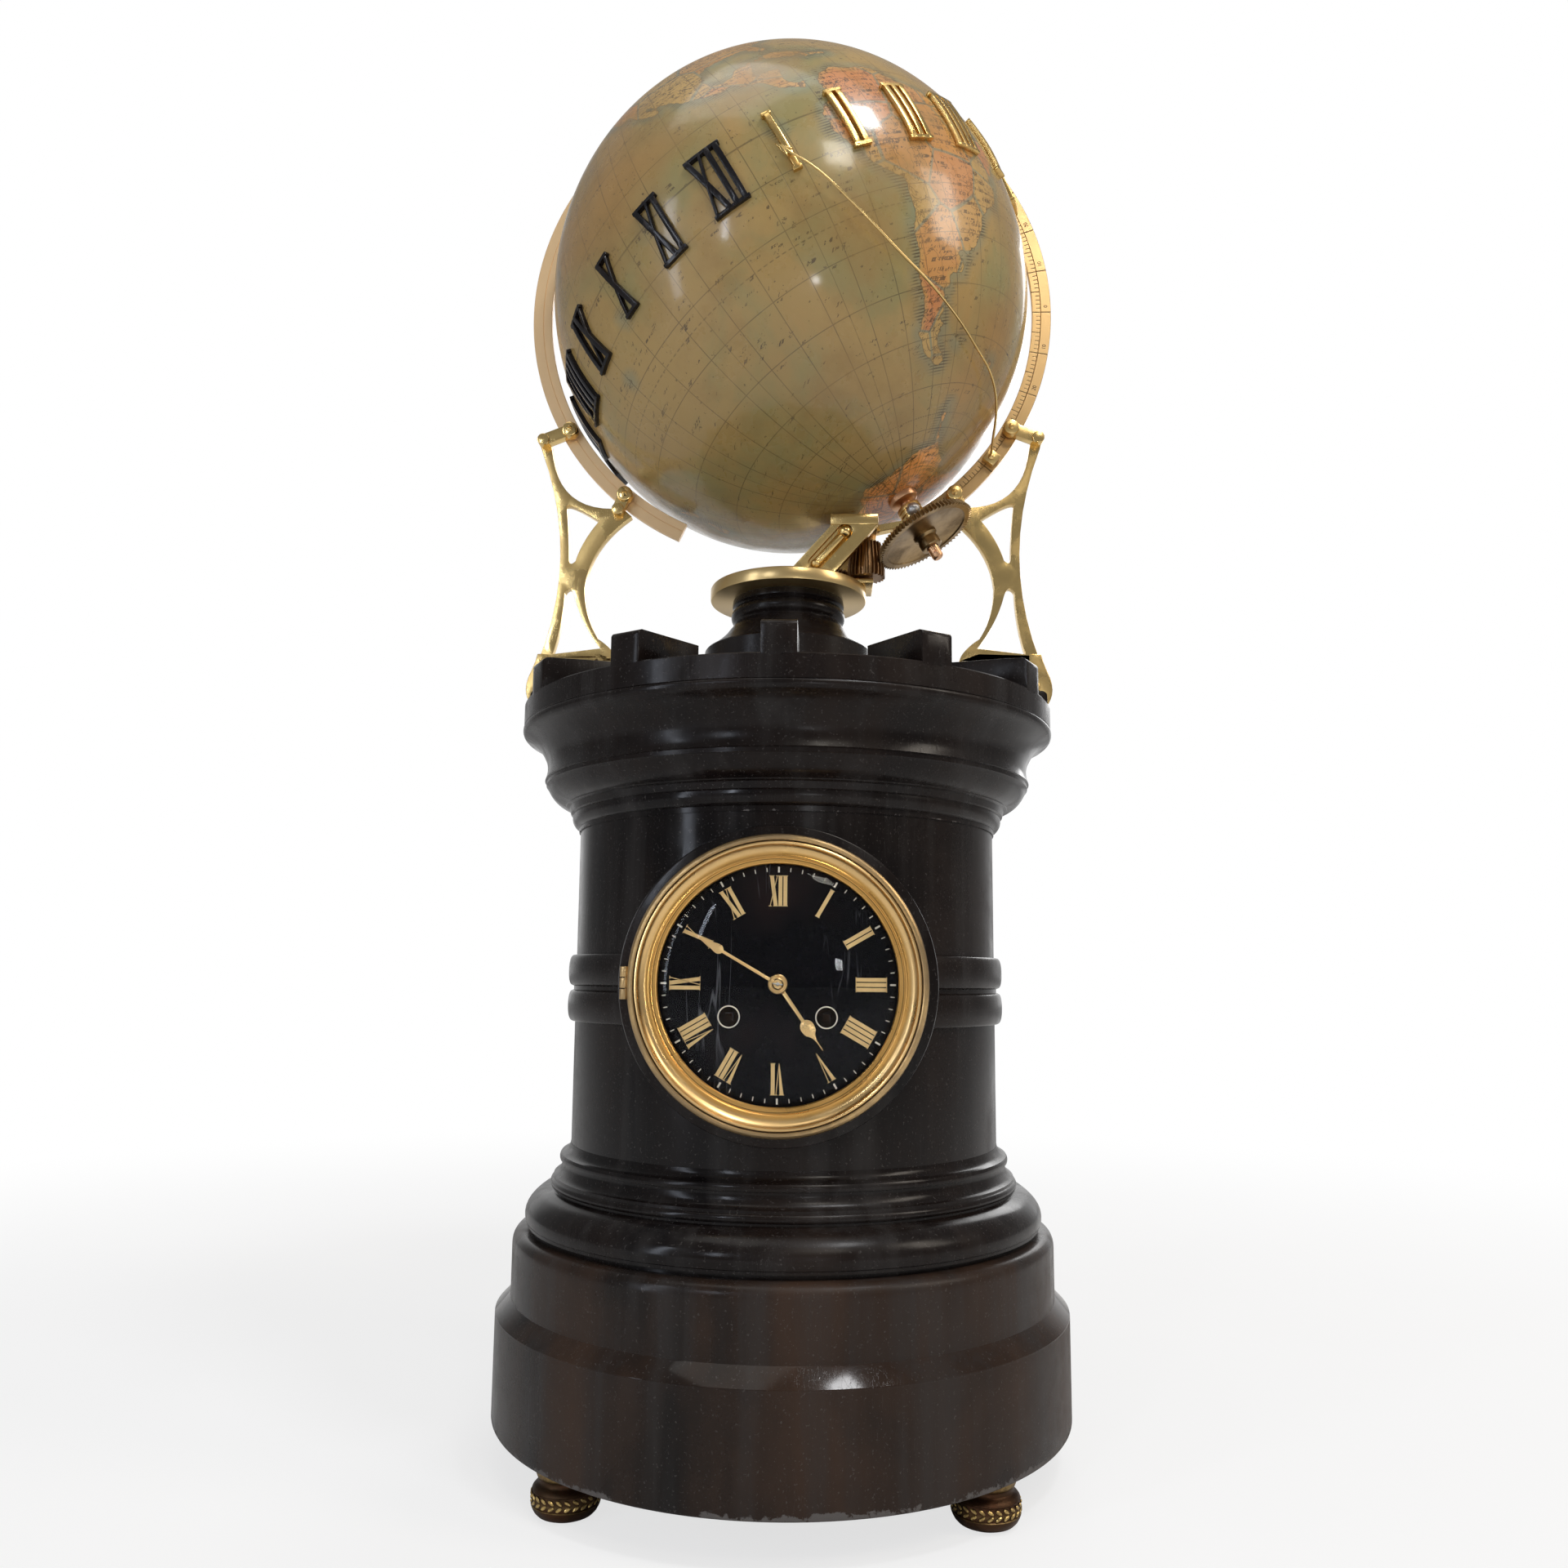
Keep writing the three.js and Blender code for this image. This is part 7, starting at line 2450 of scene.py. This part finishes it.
    def wheel(self) -> None:
        """The toothed wheel, its dished web and its sleeve."""
        outline = toothed(self.teeth, self.far_radius)
        Bench.traced([(x, y, self.far) for x, y in outline], True)
        bpy.ops.mesh.edge_face_add()
        bpy.ops.mesh.select_all(action="SELECT")
        bpy.ops.mesh.extrude_region_move(TRANSFORM_OT_translate={"value": (0, 0, self.near - self.far)})
        share = self.near_radius / self.far_radius
        bpy.ops.transform.resize(value=(share, share, 1), center_override=(0, 0, self.near))
        Bench.leave()
        rim = Bench.outward(Bench.named("toothed_rim"))
        outline = mm([(0, 154.9), (7.2, 154.9), (22.2, 155.2), (23.0, 155.6), (23.2, 157), (0, 157)])
        Bench.boolean(rim, Bench.spun("dish", outline, steps=96))
        Bench.boolean(rim, Bench.rod("hole", (0, 0, 0.150), (0, 0, 0.158), 0.0033, 48, 0))
        Bench.bevel(rim, 0.00012, 1, 30)
        outline = mm([(3.3, 148.3), (5.2, 148.3), (5.6, 148.7), (5.6, 152.4), (3.3, 152.4)])
        sleeve = Bench.spun("sleeve", outline, steps=64, closed=True)
        outline = mm([
            (3.3, 154), (6.4, 154), (6.4, 156.0), (5.6, 156.6), (5.2, 157.2), (5.2, 158.0), (5.6, 158.4),
            (5.6, 162.3), (5.3, 162.8), (4.8, 163), (3.3, 163)])
        post = Bench.spun("post", outline, steps=64, closed=True)
        wheel = self.on_axis(Bench.join("globe_gear", [rim, sleeve, post]))
        ride(Bench.smooth(wheel, 30), "globe", "brass", WHEEL_BRASS, "globe_wheel")

    def arbor(self) -> None:
        """The arbor with its gilt boss at the south pole, its end and its nut at the north pole."""
        south = self.turned("south", [
            (0, 129), (8.0, 129.4), (8.0, 131.6), (7.6, 132.6), (6.2, 133.4), (4.6, 133.7), (3.0, 133.9),
            (3.0, 168.6), (2.7, 169.5), (2.0, 170), (0, 170)])
        hole = Bench.rod("hole", (0, -0.006, 0.167), (0, 0.006, 0.167), 0.0009, 24, 0)
        Bench.boolean(south, self.on_axis(hole))
        north = self.turned("north", [
            (0, -133.7), (2.2, -133.7), (3.0, -133.5), (3.2, -132.9), (5.2, -132.6), (5.9, -131.8), (6.0, -130.4),
            (6.0, -129.4), (0, -129)])
        through = self.turned("through", [(0, -129.5), (2.6, -129.5), (2.6, 129.5), (0, 129.5)], 24)
        arbor = Bench.join("pole_arbor", [south, north, through])
        ride(Bench.smooth(Bench.outward(arbor), 30), "globe", "brass", RED_BRASS, "polar_arbor")


@dataclass
class BunFeet:
    """Four bun feet, each with a band of laurel leaves."""

    spacing: float = 0.089
    leaves: int = 26
    profile = (
        (0, 0), (9.4, 0), (10.4, 0.2), (12.2, 1.0), (13.4, 2.2), (14.2, 3.6), (14.6, 4.6), (14.75, 5.2), (14.35, 5.6),
        (14.5, 7.4), (14.4, 9.2), (14.1, 10.7), (14.4, 11.1), (14.1, 11.8), (13.2, 12.8), (12.2, 13.3), (11.6, 14.0),
        (11.4, 15.2), (11.7, 15.8), (12.4, 16.3), (12.8, 17.4), (12.9, 19.5), (0, 19.5))

    def build(self) -> None:
        """Makes the first foot and copies it under the other three corners."""
        places = {"front_left": (-1, -1), "front_right": (1, -1), "rear_left": (-1, 1), "rear_right": (1, 1)}
        bun = Bench.spun("bun", mm(self.profile), steps=96)
        foot = Bench.join("foot", [bun, *self.laurel()])
        Bench.smooth(foot, 40)
        for place, (side, depth) in places.items():
            spot = Matrix.Translation((side * self.spacing, depth * self.spacing, 0))
            twin = Bench.copy(foot, "bun_foot_" + place, spot)
            ride(twin, "case", "dark_bronze", RubbedBronze(), "foot_" + place)
        bpy.data.objects.remove(foot)

    def laurel(self) -> list[Piece]:
        """Two rows of small raised leaves that lean towards each other.

        Returns:
            The leaves.
        """
        outline = mm([
            (-1.75, 0), (-0.9, 0.62), (0.3, 0.72), (1.2, 0.45), (1.75, 0), (1.2, -0.45), (0.3, -0.72),
            (-0.9, -0.62)])
        leaf = Bench.plate("leaf", [outline], -0.01497, 0.0010, 0.0003, 1)
        rows = []
        for k in range(self.leaves):
            for lean, level in ((32, 0.00935), (-32, 0.00685)):
                turn = Matrix.Rotation(TURN * k / self.leaves, 4, "Z") @ Matrix.Translation((0, 0, level))
                rows.append(Bench.copy(leaf, "leaf", turn @ Matrix.Rotation(math.radians(lean), 4, "Y")))
        bpy.data.objects.remove(leaf)
        return rows


@dataclass
class RearWork:
    """What is seen from behind: the rear door, the bell and the pendulum."""

    height: float = DIAL_HEIGHT

    def build(self) -> None:
        """Builds the door, then the bell and the pendulum behind it."""
        self.door()
        self.bell()
        self.pendulum()

    def door(self) -> None:
        """The round brass door with a raised rim, turned rings, a knob and a hinge."""
        centre = (0, 0, self.height)
        outline = mm([
            (0, 109.8), (57.0, 109.8), (57.0, 111.4), (56.7, 112.0), (54.0, 112.0), (53.4, 111.5), (52.8, 111.5),
            (52.2, 111.9), (30.4, 111.7), (30.0, 111.4), (29.6, 111.7), (12.4, 111.7), (12.0, 111.4), (11.6, 111.7),
            (0, 111.7)])
        disc = Bench.spun("disc", outline, BACK, centre, 160)
        outline = mm([
            (0, 111), (3.4, 111), (3.4, 112.2), (1.6, 113.0), (1.5, 114.6), (2.4, 115.4), (3.0, 116.6), (2.8, 118.0),
            (1.9, 118.8), (0, 119.0)])
        knob = Bench.spun("knob", outline, BACK, (-0.0467, 0, self.height), 48)
        parts = [disc, knob, *knuckles(0.0582, 0.1121, 0.0019)]
        ride(Bench.smooth(Bench.join("brass_door", parts), 25), "rear_door", "brass", OLD_BRASS, "rear_door")

    def bell(self) -> None:
        """The thin bell on its post."""
        centre = (0.014, 0, self.height + 0.011)
        low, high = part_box("bell")
        crown, deep = max(high[1], low[1]), 0.018
        mouth = crown - deep
        dome = curve((30, 0), (28.5, 16.2, 0, 18), steps=14)
        outer = [(r / 1000, mouth + y / 18 * deep) for r, y in dome]
        inner = [((r * 28.6 / 30) / 1000, mouth + y * 16.6 / 18 / 18 * deep) for r, y in reversed(dome)]
        shell = Bench.spun("bell_shell", outer + inner, BACK, centre, 96)
        x, _, z = centre
        start = min(low[1], high[1]) + 0.0001
        post = Bench.rod("post", (x, start, z), (x, mouth + deep * 0.98, z), 0.002, 32)
        nut = Bench.rod("nut", (x, mouth + deep - 0.0004, z), (x, mouth + deep - 0.0002, z), 0.0034, 6, 0)
        ride(Bench.smooth(Bench.join("hour_bell", [shell, post, nut]), 40), "case", "brass", BRASS, "bell")

    def pendulum(self) -> None:
        """The pendulum: an eye, a thin rod and a lens-shaped bob with its rating nut."""
        low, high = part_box("pendulum")
        y = (low[1] + high[1]) / 2
        top = self.height + 0.045 * 0.86
        bob = top - 0.099
        outline = [
            (0.0013, y - 0.0015), (0.0033, y - 0.0015), (0.0036, y - 0.0012), (0.0036, y + 0.0012),
            (0.0033, y + 0.0015), (0.0013, y + 0.0015)]
        eye = Bench.spun("eye", outline, BACK, (0, 0, top), 48, True)
        rod = Bench.rod("rod", (0, y, bob), (0, y, top - 0.0030), 0.001, 24)
        outline = mm([
            (0, -4.5), (4.0, -4.35), (8.0, -3.7), (11.5, -2.4), (13.4, -1.0), (14.0, 0), (13.4, 1.0),
            (11.5, 2.4), (8.0, 3.7), (4.0, 4.35), (0, 4.5)])
        lens = Bench.spun("lens", [(r, y + depth) for r, depth in outline], BACK, (0, 0, bob), 96)
        ride(Bench.smooth(Bench.join("bob_pendulum", [eye, rod, lens]), 40), "pendulum", "brass", BRASS, "pendulum")


def dress_the_rest(frame: dict) -> None:
    """Gives every CAD node that is still shown its finish.
    """
    for name, node in frame["nodes"].items():
        # The front plate and barrels get brass painted dark as shade behind the winding holes.
        if name in ("front_plate", "going_barrel", "strike_barrel"):
            SHADE_DARK_BRASS.dress(node)
        elif name.startswith("numeral_night"):
            BLACK.dress(node)
        elif name in ("drive_pinion", "drive_shaft"):
            PINION_BRASS.dress(node)
        elif name == "centre_arbor":
            GILT_HAND.dress(node)
        else:
            BRASS.dress(node)


def main() -> None:
    """Builds the studio and every sub-assembly in order."""
    logging.basicConfig(level=logging.INFO, format="%(message)s")
    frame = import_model()
    Camera().build()
    Studio().build()
    dress_the_rest(frame)
    SlateTower().build()
    Globe().build()
    DialWork().build()
    MeridianRing().build()
    GlobeDrive().build()
    BunFeet().build()
    RearWork().build()
    bpy.context.scene.view_settings.view_transform = "Standard"


if __name__ == "__main__":
    main()
